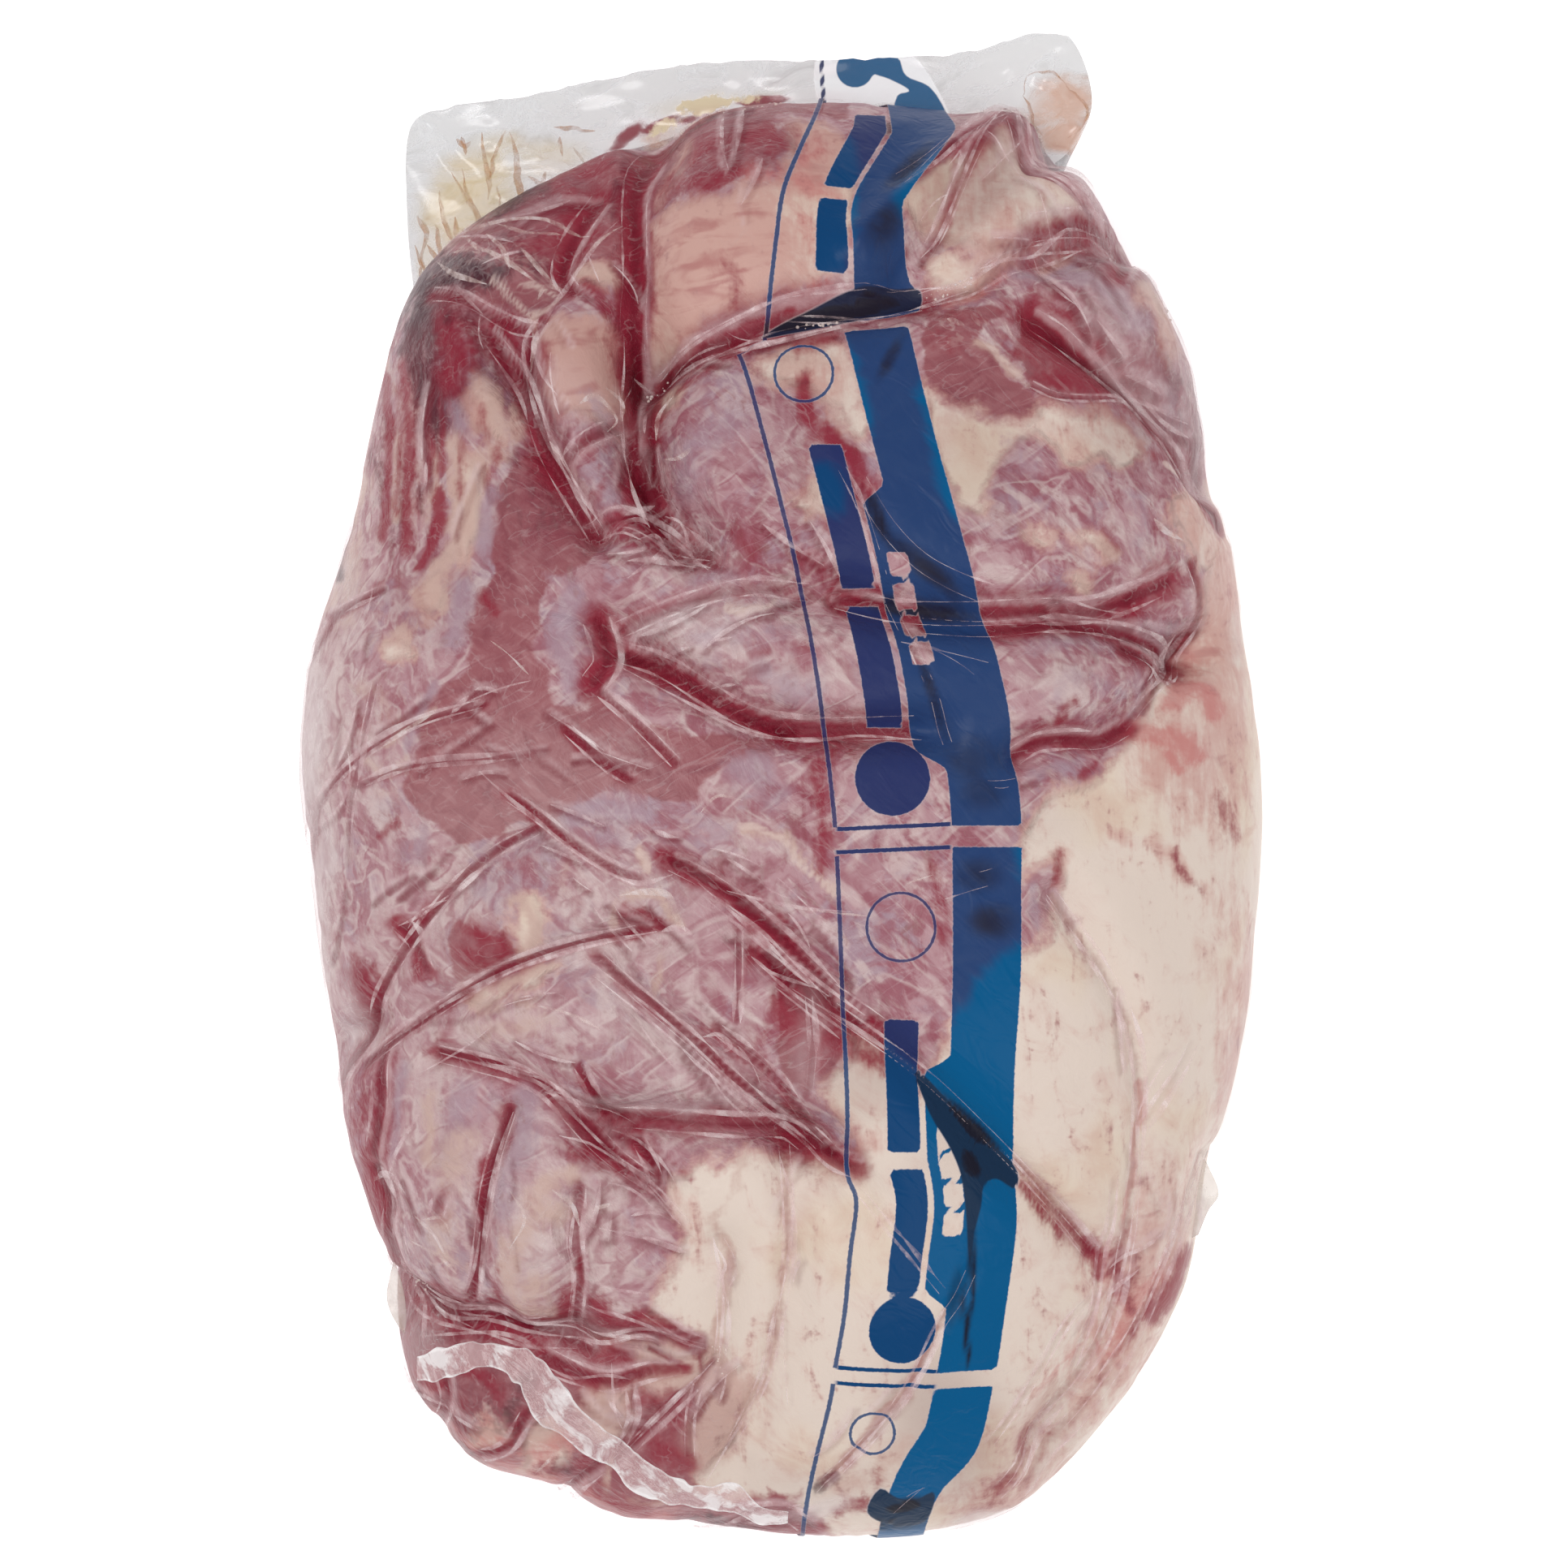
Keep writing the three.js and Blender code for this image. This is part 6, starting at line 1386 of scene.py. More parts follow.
def film_finish():
    """Thin clear film, milky where it stands off, with painted highlights and sheen on its wrinkles, and the
    print's bands, lines and plain shapes.
    """
    f = Finish("bag film", Roughness=0.35, IOR=1.2, Coat_Weight=0.0)
    speck = (f.noise(0.9, 1) - 0.5) * 0.35
    lines = 1 - f.step(f.field("line_gap").size() + speck, LINE_HALF - 0.2, LINE_HALF + 0.15)
    rules = 1 - f.step(f.field("rule_gap").size() + speck, LINE_HALF - 0.2, LINE_HALF + 0.1)
    rings = 1 - f.step(f.field("ring_gap").size() + speck, *RING_EDGES)
    navy = f.step(f.field("navy_edge") + speck, -0.2, 0.2).over(rings)
    navy = navy.over(lines).over(rules * f.field("rule_reach"))
    band = f.step(f.field("band_edge") + speck, -0.2, 0.2)
    strip = f.step(f.field("strip_edge"), -STRIP_SOFT, STRIP_SOFT)
    crinkle = f.noise(5, 2, 0.6, (1, 2.5, 1), 0.8, 0.9)
    dark = f.step(f.field("ink_dark") * (0.6 + crinkle * 0.8), 0.1, 0.9)
    ink = band.over(navy).over(strip)
    over_meat = f.step(f.field("slate") + (crinkle - 0.5) * 0.8, 0.1, 0.9)
    colour = f.mix(INK_BLUE, INK_SLATE, over_meat)
    colour = f.mix(colour, f.mix(INK_BARS, INK_NAVY, over_meat), navy * 0.9)
    colour = f.mix(colour, INK_SHADE, dark.over(strip * 0.8))
    colour = f.mix(FILM_WHITE, colour, ink)
    # Milky film, and in places whitish veils of painted sheen
    haze_and_sheen = f.field("haze_and_sheen") * (0.6 + crinkle * 0.8)
    # Painted highlights: thin whitish lines along the film's tension lines and puckers, and painted sheen
    # where it is folded
    pulled = f.noise(4, 2, 0.5, (1, 7, 1), 0.85)
    tense = f.noise(4, 2, 0.5, (1, 7, 1), -1.1)
    folded = f.noise(6, 2, 0.5, (1, 3.4, 1), 0.7)
    gathered = f.noise(5, 2, 0.5, (1, 3.4, 1), -0.9)
    where = f.noise(14, 1)
    lean = f.field("slate")
    painted_streak_highlight = (1 - f.step((pulled - 0.5).size(), 0.0, 0.022)) * f.step(where, 0.46, 0.56)
    other = (1 - f.step((tense - 0.5).size(), 0.0, 0.022)) * f.step(0 - where, -0.5, -0.4)
    painted_streak_highlight = painted_streak_highlight.over(other) * lean
    painted_pucker_highlight = 1 - f.step((folded - 0.5).size(), 0.0, 0.04)
    painted_pucker_highlight = painted_pucker_highlight.over(1 - f.step((gathered - 0.5).size(), 0.0, 0.035))
    painted_pucker_highlight = painted_pucker_highlight * f.step(f.field("puckered") + (where - 0.5) * 1.5, 0.1, 0.8)
    shine = f.step(folded, 0.5, 0.62) * f.step(f.field("puckered") + (where - 0.5), 0.1, 0.9)
    clear = 0.004 + f.step(crinkle, 0.58, 0.78) * 0.02 + haze_and_sheen * 0.6
    clear = clear + painted_streak_highlight * 0.14 + painted_pucker_highlight * 0.12 + shine * 0.12
    solid = 0.98 + 0.02 * (1 - over_meat) - 0.1 * lines.over(rings) * (1 - band)
    alpha = clear.under(0.8) * (1 - ink) + ink * solid
    return f.feed(Base_Color=colour, Alpha=alpha, Normal=f.relief(crinkle, 0.5))


STAIN_TAN = paint(206, 180, 122)
STAIN_BROWN = paint(168, 104, 52)
STAIN_ROSE = paint(204, 146, 108)
FROTH = paint(230, 212, 178)
SKIRT_GREY = paint(155, 156, 158)
PRINT_WHITE = paint(240, 241, 244)


def skirt_finish():
    """Flat clear film, slightly grey, with dried juice in it and the end of the print."""
    f = Finish("bag skirt film", Roughness=0.25, IOR=1.5, Coat_Weight=0.4, Coat_Roughness=0.1)
    crease = f.noise(8, 4, 0.55, (1.8, 1, 1), 0.3, 0.8)
    cloud = f.noise(16, 4)
    tan = f.step(f.field("stain") + (cloud - 0.5) * 0.9 + (crease - 0.5) * 0.8, 0.2, 1.1)
    rosy = f.step(f.field("rosy_stain") + (crease - 0.5) * 1.2, 0.15, 0.8)
    red = f.step(f.field("red_edge") + (crease - 0.5) * 1.6, 0.2, 0.7)
    froth = f.step(f.field("froth") + (f.noise(2.2, 3) - 0.5) * 1.6, 0.3, 0.7)
    blue, navy, ground = f.field("blue"), f.field("navy"), f.field("ground")
    wrinkle = 1 - f.step((crease - 0.5).size(), 0.0, 0.05)
    colour = f.mix(SKIRT_GREY, PRINT_WHITE, wrinkle * 0.45)
    colour = f.mix(colour, STAIN_TAN, tan * 0.9)
    colour = f.mix(colour, STAIN_ROSE, rosy * 0.8)
    colour = f.mix(colour, BLOOD_RED, red)
    colour = f.mix(colour, FROTH, froth)
    colour = f.mix(colour, PRINT_WHITE, f.step(ground, -0.2, 0.2))
    colour = f.mix(colour, INK_BLUE, f.step(blue, -0.2, 0.2))
    colour = f.mix(colour, INK_NAVY, f.step(navy, -0.15, 0.15))
    clear = 0.35 + f.step(crease, 0.5, 0.75) * 0.12 + wrinkle * 0.12 + tan * 0.16 + rosy * 0.2
    alpha = clear.over(red * 0.8).over(froth * 0.85).over(f.step(ground, -0.2, 0.2) * 0.6)
    alpha = alpha.over(f.step(blue, -0.2, 0.2) * 0.86).over(f.step(navy, -0.15, 0.15) * 0.85)
    return f.feed(Base_Color=colour, Alpha=alpha, Normal=f.relief(crease + cloud * 0.4, 0.5))


def seal_finish():
    """Doubled film, clear in the middle, with crisp white creases across it and white edges, whose whiteness
    is painted highlight.
    """
    f = Finish("seal film", Roughness=0.3, IOR=1.45)
    streak = f.noise(5, 4, 0.6, (1, 3, 1), 0.75, 0.5)
    # Painted highlights: crisp white creases and a white rim on the doubled film
    rim = f.step(f.field("rim") + (streak - 0.5) * 0.5, 0.8, 1.0)
    crisp = f.step(streak, 0.5, 0.6)
    lines = 1 - f.step((streak - 0.46).size(), 0.0, 0.02)
    tint = f.mix(paint(226, 200, 200), paint(248, 242, 242), crisp.over(rim))
    alpha = 0.24 + crisp * 0.34 + lines * 0.3 + rim * 0.4
    return f.feed(Base_Color=tint, Alpha=alpha, Normal=f.relief(streak, 0.4))


def strip_finish(name, colour, low, high, size=8, lighter=FILM_WHITE):
    """A thin strip, streaked and clearer in places: doubled film, a thread or a line of juice."""
    f = Finish(name, Roughness=0.3, IOR=1.45)
    streak = f.noise(size, 4, 0.6, (1, 2, 1), 0.6, 0.8)
    tint = f.mix(colour, lighter, f.step(streak, 0.45, 0.7))
    alpha = low + f.step(streak, 0.35, 0.7) * (high - low)
    return f.feed(Base_Color=tint, Alpha=alpha, Normal=f.relief(streak, 0.4))


def new_tree(name, numbers):
    """A Geometry Nodes tree with named inputs: geometry, the numbers with their defaults, a material."""
    tree = bpy.data.node_groups.new(name, "GeometryNodeTree")
    tree.interface.new_socket("Geometry", in_out="INPUT", socket_type="NodeSocketGeometry")
    for label, (kind, default) in numbers.items():
        tree.interface.new_socket(label, in_out="INPUT", socket_type=kind).default_value = default
    tree.interface.new_socket("Finish", in_out="INPUT", socket_type="NodeSocketMaterial")
    tree.interface.new_socket("Geometry", in_out="OUTPUT", socket_type="NodeSocketGeometry")
    return tree, tree.nodes.new("NodeGroupInput")


def grow(tree, kind, links, settings=None):
    """A node in a Geometry Nodes tree, with its settings, then its sockets' links or values."""
    node = tree.nodes.new(kind)
    for key, value in (settings or {}).items():
        setattr(node, key, value)
    for key, value in links.items():
        if isinstance(value, bpy.types.NodeSocket):
            tree.links.new(value, node.inputs[key])
        else:
            node.inputs[key].default_value = value
    return node


def finish_tree(tree, entry, geometry, rounded=True):
    """Ends a tree in real geometry, smooth or flat in shade, with its material."""
    real = grow(tree, "GeometryNodeRealizeInstances", {"Geometry": geometry})
    smooth = grow(tree, "GeometryNodeSetShadeSmooth", {"Geometry": real.outputs[0], "Shade Smooth": rounded})
    dressing = {"Geometry": smooth.outputs[0], "Material": entry.outputs["Finish"]}
    dressed = grow(tree, "GeometryNodeSetMaterial", dressing)
    grow(tree, "NodeGroupOutput", {0: dressed.outputs[0]})
    return tree


def ridge_tree():
    """Sweeps a low, rounded ridge along each curve, as wide as the curve's own radius says."""
    tree, entry = new_tree("ridges", {
        "Width Share": ("NodeSocketFloat", 1.0), "Height Share": ("NodeSocketFloat", 0.5),
        "Sides": ("NodeSocketInt", 8),
    })
    upright = grow(tree, "GeometryNodeSetCurveNormal", {"Curve": entry.outputs["Geometry"]}, {"mode": "Z_UP"})
    ring_links = {"Resolution": entry.outputs["Sides"], "Radius": 1.0}
    ring = grow(tree, "GeometryNodeCurvePrimitiveCircle", ring_links)
    shape = grow(tree, "ShaderNodeCombineXYZ", {
        "X": entry.outputs["Width Share"], "Y": entry.outputs["Height Share"], "Z": 1.0,
    })
    low = grow(tree, "GeometryNodeTransform", {"Geometry": ring.outputs[0], "Scale": shape.outputs[0]})
    width = grow(tree, "GeometryNodeInputRadius", {})
    sweep_links = {"Curve": upright.outputs[0], "Profile Curve": low.outputs[0], "Fill Caps": True}
    sweep = grow(tree, "GeometryNodeCurveToMesh", sweep_links)
    if "Scale" in sweep.inputs:
        tree.links.new(width.outputs[0], sweep.inputs["Scale"])
    return finish_tree(tree, entry, sweep.outputs[0], rounded=False)


def bubble_tree():
    """Scatters round bubbles of uneven size over a patch."""
    tree, entry = new_tree("bubbles", {
        "Bubble Radius": ("NodeSocketFloat", 0.0005), "Density": ("NodeSocketFloat", 1.0),
        "Seed": ("NodeSocketInt", 3),
    })
    spots = grow(tree, "GeometryNodeDistributePointsOnFaces", {
        "Mesh": entry.outputs["Geometry"], "Density": entry.outputs["Density"], "Seed": entry.outputs["Seed"],
    })
    ball_links = {"Radius": entry.outputs["Bubble Radius"], "Subdivisions": 2}
    bubble = grow(tree, "GeometryNodeMeshIcoSphere", ball_links)
    size_links = {"Min": 0.4, "Max": 1.3, "Seed": entry.outputs["Seed"]}
    sizes = grow(tree, "FunctionNodeRandomValue", size_links, {"data_type": "FLOAT"})
    size = next(socket for socket in sizes.outputs if socket.type == "VALUE" and socket.enabled)
    placed = grow(tree, "GeometryNodeInstanceOnPoints", {
        "Points": spots.outputs["Points"], "Instance": bubble.outputs[0], "Scale": size,
    })
    return finish_tree(tree, entry, placed.outputs[0])


def run_tree(source, tree, values, name):
    """The plain mesh object that a tree makes of a source object, which is then removed."""
    modifier = source.modifiers.new(tree.name, "NODES")
    modifier.node_group = tree
    sockets = {item.name: item.identifier for item in tree.interface.items_tree if item.in_out == "INPUT"}
    for label, value in values.items():
        modifier[sockets[label]] = value
    view = bpy.context.evaluated_depsgraph_get()
    view.update()
    mesh = bpy.data.meshes.new_from_object(source.evaluated_get(view))
    mesh.name = name
    bpy.data.objects.remove(source)
    piece = bpy.data.objects.new(name, mesh)
    bpy.context.scene.collection.objects.link(piece)
    return piece


def curve_source(lines):
    """A curve object with a straight-sided spline for each line: its points and radii in millimetres."""
    curve = bpy.data.curves.new("lines", "CURVE")
    curve.dimensions = "3D"
    for points, radii in lines:
        spline = curve.splines.new("POLY")
        spline.points.add(len(points) - 1)
        for point, place, radius in zip(spline.points, points, radii):
            point.co = (*(place * MM), 1)
            point.radius = radius * MM
    source = bpy.data.objects.new("lines", curve)
    bpy.context.scene.collection.objects.link(source)
    return source


def seams(creases, side):
    """Strokes along folds and creases: their dark bottoms, juice with painted shade, or painted highlights on
    the lips at their other side.
    """
    strokes = []
    for path, half, _, red in FOLDS:
        line = smooth_path(path, steps=4)
        aside = 0.1 * side if side < 0 else 0.9 * half
        strokes.append((beside(line, aside), FINEST_STROKE * 0.7, 0.4 + 0.6 * red))
    for line, width in creases:
        strokes.append((beside(line, 0.8 * side), FINEST_STROKE, 0.25 + 0.5 * width))
    return strokes


# Unevenness of the meat: height, size, seed, where the fat has more of the second; and how far fat
# stands proud
BROAD_LUMPS = (0.7, 17, 11)
FAT_LUMPS = (0.35, 6, 12)
FINE_LUMPS = (0.2, 3, 13)
FAT_RISE = 0.5
STROKE_WANDER = 0.6


def make_beef(places, faces, film_lift, creases):
    """The meat, just inside the film."""
    depth, lips, juice = fold_fields(places)
    ragged = wandered(places)
    fat_edge = depth_in(FAT, ragged)
    fatty = smoothstep(-2, 2, fat_edge)
    rough = waves([BROAD_LUMPS], places) + waves([FAT_LUMPS], places) * (1 + fatty)
    rough = rough + waves([FINE_LUMPS], places)
    lift = muscle_rise(places) - MEAT_CREASE * depth + LIP_RISE * lips + FAT_RISE * fatty + rough
    lift = lift * floor_fade(places)
    lift = np.minimum(lift - FILM_GAP, film_lift - FILM_GAP)
    fields = {
        "fat_edge": fat_edge, "bare_edge": depth_in(BARE, ragged), "juice": juice,
        "rose": soft_spots(ROSE, ragged), "bruise": soft_spots(BRUISE, ragged),
        "pale": soft_spots(PALE, ragged), "painted_shade": soft_spots(PAINTED_SHADE_SPOTS, places), "painted_light": soft_spots(PAINTED_LIGHT_SPOTS, places),
        "flank": soft_spots(FLANK, places), "curd": soft_spots(CURD, places),
        "blush": soft_spots(BLUSH, ragged), "netted": soft_spots(NETTED, ragged),
    }
    # Dark bottoms of folds and creases, juice and painted shade, and painted highlights on their lips
    fields["seam"] = brushed(seams(creases, -1), places)
    fields["glint"] = brushed(seams(creases, 1), places)
    loose = wandered(places, STROKE_WANDER)
    fields.update((tint, brushed(strokes, loose)) for tint, strokes in STROKES.items())
    return build_mesh("beef", skin_point(places, lift, FILM_GAP), faces, beef_finish(), fields)


def signed_gap(line, places, reach):
    """Distance from a line that runs down the film, positive to its left as seen from above."""
    gap = distance_to(line, places, reach)
    order = np.argsort(line[:, 1])
    at = np.interp(places[:, 1], line[order, 1], line[order, 0])
    return np.where(places[:, 0] < at, gap, -gap)


def within(value, low, high):
    """How far inside a range each value is, negative outside."""
    return np.minimum(value - low, high - value)


def print_fields(places):
    """Distances, in millimetres, from the edges and lines of the bag's print."""
    x, y = places.T
    seam = smooth_path(PRINT_STEP, steps=5)
    far = y > np.interp(x, seam[:, 0], seam[:, 1])
    sides = (BAND_RIGHT, LINE_LEFT, BAND_RIGHT_FAR, LINE_LEFT_FAR)
    gaps = [signed_gap(smooth_path(side, steps=5), places, FAR_AWAY) for side in sides]
    right, left = np.where(far, gaps[2], gaps[0]), np.where(far, gaps[3], gaps[1])
    pitch = np.maximum(right - left, 1)
    share = right / pitch
    blocks = np.max([smoothstep(-3, 3, within(y, low, high)) for low, high in BLOCKS], axis=0)
    block = np.where(far, FAR_BAND_SHARE, BAND_SHARE + blocks * (BLOCK_SHARE - BAND_SHARE))
    band = within(share, 0, block) * pitch
    gap = np.max([within(y, low, high) for low, high in PANEL_GAPS], axis=0)
    band = np.minimum(band, -np.maximum(gap, depth_in([PRINT_CUT], places)))

    def bars(spans, shares):
        """How far inside the nearest of some bars across the band each place is."""
        across = within(share, *shares) * pitch
        return np.max([np.minimum(across, within(y, low, high)) for low, high in spans], axis=0)

    band = np.minimum(band, np.where(far, band, -bars(LIGHT_BARS, LIGHT_SHARES)))
    solid = np.where(far, bars(FAR_BARS, FAR_SHARES), bars(NAVY_BARS, BAR_SHARES))
    for centre, radius in DISCS:
        solid = np.maximum(solid, radius - np.hypot(x - centre[0], y - centre[1]))
    ring = np.array([np.hypot(x - centre[0], y - centre[1]) - radius for centre, radius in RINGS])
    ring = ring[np.abs(ring).argmin(axis=0), np.arange(len(places))]
    rule = [within(y + lean * (x - RULES_START), low, high) for (low, high), lean in PANEL_RULES]
    rule = np.max(rule, axis=0)
    line = np.where(rule > LINE_HALF / 2, FAR_AWAY, left)
    return {
        "band_edge": band, "navy_edge": solid, "ring_gap": ring, "line_gap": line,
        "rule_gap": rule, "rule_reach": (within(share, BAND_SHARE, 1) > 0) * 1.0,
        "strip_edge": depth_in(DOUBLED_INK, places), "ink_dark": soft_spots(DARK_INK, places),
        "slate": smoothstep(-2, 5, -depth_in(FAT, places)), "haze_and_sheen": soft_spots(HAZE_AND_SHEEN, wandered(places)),
        "puckered": soft_spots(PUCKERED, wandered(places)),
    }


def make_film(places, faces, film_lift):
    """The film drawn tight over the meat."""
    return build_mesh("bag_film", skin_point(places, film_lift), faces, film_finish(), print_fields(places))


# Stains of the empty end: tan, rosy, red along the meat's edge, and froth
STAINS = [
    ((-77, 143), (12, 17), -35, 1.1), ((-70, 156), (10, 7), 0, 0.6), ((-60, 154), (14, 6), 10, 0.7),
    ((-88, 130), (4, 9), 0, 0.8), ((-20, 168), (14, 4), 10, 0.6), ((-4, 170), (12, 2.5), 6, 0.4),
]
ROSY_STAINS = [
    ((68, 168), (10, 8), 20, 0.8), ((50, 163), (12, 3), 15, 0.8), ((68, 160), (7, 5), 0, 0.8),
    ((-30, 160), (8, 4), 20, 0.6),
]
RED_EDGE = [
    ((-39, 159.5), (7, 2.4), 40, 0.8), ((-30, 163), (7, 1.6), 25, 0.9), ((-20, 164.5), (12, 1.8), 12, 0.8),
    ((-5, 168.4), (9, 1.3), 6, 0.9),
]
FROTH_SPOTS = [
    ((-20, 167.4), (8, 2.4), 12, 1.0), ((-30, 162), (5, 2), 20, 0.7), ((-9, 169), (5, 1.4), 5, 0.6),
]
# Dried trickles on the empty end: path and width
TRICKLES = [
    ([(-74.6, 161), (-74, 154), (-72.6, 148.6), (-73, 144)], 1.1),
    ([(-68.6, 161.6), (-71.4, 155.4), (-72.6, 148.6)], 0.9),
    ([(-67.6, 161), (-65.8, 153), (-65.2, 147.4), (-64, 144)], 1.0),
    ([(-80.6, 159), (-78.8, 157.4), (-77, 158.6)], 1.4),
    ([(-79.6, 160), (-78.8, 157.4), (-78.4, 155)], 1.2),
    ([(-79.4, 152), (-77.6, 144), (-75.4, 140), (-76.4, 134)], 1.2),
    ([(-82, 151), (-79.6, 147), (-78, 143)], 0.7), ([(-85, 146.4), (-83.8, 138.4), (-81, 132.8)], 0.9),
    ([(-81, 140), (-80.6, 134), (-79.2, 128)], 1.0),
    ([(-90.6, 140.6), (-88.4, 136.2), (-89.4, 130.6), (-88.4, 125)], 0.9),
    ([(-88.4, 133), (-86, 130), (-86.4, 126)], 1.1), ([(-86, 138), (-85, 132), (-84.6, 127)], 0.9),
    ([(-91, 133), (-89.6, 128), (-90, 123)], 0.8), ([(-70.6, 148), (-70, 143), (-71, 139)], 0.7),
    ([(-55.6, 159.8), (-54.6, 155)], 0.7), ([(-57, 162), (-51, 161.6), (-46.6, 161)], 0.6),
    ([(-63, 150), (-60, 148), (-59, 151)], 0.6), ([(-52, 157), (-49, 153)], 0.6),
    ([(-73, 139), (-71.4, 135), (-72, 131)], 0.8),
    ([(59.2, 170), (59.2, 172.2), (60.2, 174.4), (63, 175.6), (67, 175.4), (69.2, 172.8)], 0.5),
    ([(69.2, 172.8), (72, 170), (75, 166.6), (73.6, 162.2), (69.6, 159)], 0.5),
    ([(59.2, 170), (61, 166), (62, 162), (64, 160)], 0.5),
]
# The end of the print on the empty end: the blue and its white ground, a plain disc, and a line
SKIRT_BLUE = [
    [(20, 179), (28, 179.5), (30, 175), (36, 172), (41, 163), (42, 156), (28, 160), (28, 170), (31, 171),
      (26, 174), (21, 176)],
]
SKIRT_GROUND = [[(9, 181), (9.5, 167), (30, 168), (42, 160), (37, 173), (30, 181)]]
SKIRT_DISC = ((17.5, 176.5), 4.6)
SKIRT_LINE = [(9.2, 180), (9.4, 174), (10, 166)]


def spread_along(line, share):
    """Points of a line at the given shares of its steps."""
    steps = np.linspace(0, 1, len(line))
    return np.column_stack([np.interp(share, steps, line[:, axis]) for axis in (0, 1)])


def skirt_sheet():
    """The middle of the bag's empty end, rippled and drooping a little, as a grid of points."""
    along, across = np.meshgrid(
        np.linspace(0, 1, SKIRT_STEPS[0]), np.linspace(0, 1, SKIRT_STEPS[1]), indexing="ij"
    )
    ends = [spread_along(smooth_path(path, steps=40), along[:, 0]) for path in (SKIRT_ROOT, SKIRT_EDGE)]
    plan = ends[0][:, None] * (1 - across[..., None]) + ends[1][:, None] * across[..., None]
    flat = plan.reshape(-1, 2)
    backward = 1 - along
    ripple = np.sin(backward * 34 + across * 2.5) + 0.6 * np.sin(backward * 71 - across * 4)
    crinkle = 0.7 * lumps(flat * (0.4, 1.2), 5, 21) + 0.4 * lumps(flat * (0.7, 1), 3, 22)
    rise = SKIRT_Z[0] + (SKIRT_Z[1] - SKIRT_Z[0]) * across + 1.3 * ripple * across
    rise = rise + crinkle.reshape(along.shape) * smoothstep(0.3, 0.7, across)
    rim = 0.8 * lumps(flat * (1, 0), 4, 23).reshape(along.shape) * smoothstep(0.8, 1, across)
    return np.dstack([plan[..., 0], plan[..., 1] - np.abs(rim), rise])


def make_skirt():
    """The empty end of the bag."""
    points, faces = slab_mesh(skirt_sheet()[::-1], UPWARD, SKIRT_THICK)
    place = points[:, :2]
    disc = SKIRT_DISC[1] - np.hypot(place[:, 0] - SKIRT_DISC[0][0], place[:, 1] - SKIRT_DISC[0][1])
    fields = {
        "stain": soft_spots(STAINS, place), "rosy_stain": soft_spots(ROSY_STAINS, place),
        "red_edge": soft_spots(RED_EDGE, place), "froth": soft_spots(FROTH_SPOTS, place),
        "blue": np.maximum(depth_in(SKIRT_BLUE, place), disc), "ground": depth_in(SKIRT_GROUND, place),
        "navy": LINE_HALF - distance_to(np.array(SKIRT_LINE, float), place, 8),
    }
    return build_mesh("bag_skirt", points, faces, skirt_finish(), fields)


def film_top(places, over=0.0):
    """Points on the film's outside at unrolled places, raised by over."""
    return skin_point(places, film_rise(places) + over)


def make_seal():
    """The sealed mouth: a ruffled strip of doubled film lying on the skin."""
    path = smooth_path(SEAL_PATH, steps=20)
    share = np.linspace(0, 1, SEAL_STEPS[0])
    line = spread_along(path, share)
    half = np.interp(share, np.linspace(0, 1, len(SEAL_HALF_WIDTHS)), SEAL_HALF_WIDTHS)
    tangent = np.gradient(line, axis=0)
    tangent /= np.linalg.norm(tangent, axis=1)[:, None]
    aside = np.column_stack([-tangent[:, 1], tangent[:, 0]])
    across = np.linspace(-1, 1, SEAL_STEPS[1])
    ragged = 1 + 0.2 * lumps(line, 2.6, 31)
    plan = line[:, None] + aside[:, None] * (half * ragged)[:, None, None] * across[None, :, None]
    flat = plan.reshape(-1, 2)
    ruffle = 0.45 * np.sin(share * 150)[:, None] * (0.3 + np.abs(across))[None]
    ruffle = ruffle + 0.35 * lumps(flat, 4, 32).reshape(plan.shape[:2])
    middle = film_top(flat, 1.1).reshape(*plan.shape[:2], 3)
    middle[..., 2] += ruffle
    points, faces = slab_mesh(middle, UPWARD, SEAL_THICK)
    rim = np.broadcast_to(np.abs(across), plan.shape[:2]).ravel()
    return build_mesh("mouth_seal", points, faces, seal_finish(), {"rim": np.tile(rim, 2)})


def beside(line, gap):
    """A line drawn at a distance to the left of another."""
    along = np.gradient(line, axis=0)
    along /= np.maximum(np.linalg.norm(along, axis=1), 1e-6)[:, None]
    return line + gap * np.column_stack([-along[:, 1], along[:, 0]])


def ridge_radii(line, width, broken):
    """Radii along a ridge: pointed ends, and as broken as asked for in between."""
    share = np.linspace(0, 1, len(line))
    taper = np.clip(np.minimum(share, 1 - share) * 5, 0.15, 1)
    return width * taper * np.clip(1 + broken * lumps(line, 6, 41), 0.08, 2)


def ridge_lines(table, share, broken):
    """Smooth lines and their radii from a table of paths and widths, at a share of each width."""
    lines = [(smooth_path(path, steps=4), width) for path, width in table]
    return [(line, ridge_radii(line, share * width, broken)) for line, width in lines]


def make_ridges(name, lines, finish, over=0.0):
    """Low ridges on the film's outside along lines of places, each with its radii."""
    places = np.vstack([line for line, _ in lines])
    radii = np.hstack([thickness for _, thickness in lines])
    radii = np.where(print_fields(places)["band_edge"] > 0, FINEST_RIDGE, radii)
    ends = np.cumsum([len(line) for line, _ in lines])[:-1]
    return sweep_ridges(name, zip(np.split(film_top(places, over), ends), np.split(radii, ends)), finish)


def sweep_ridges(name, lines, finish):
    """Low ridges along lines of points in space, each with its radii."""
    values = {**RIDGE_SECTION, "Finish": finish}
    return run_tree(curve_source(lines), ridge_tree(), values, name)


# A ridge's section, against the radius of its line; the radius it keeps where it crosses the print,
# and how high the pleats lie over the film
RIDGE_SECTION = {"Width Share": 1.2, "Height Share": 0.16, "Sides": 6}
FINEST_RIDGE = 0.06
PLEAT_LIFT = 0.08
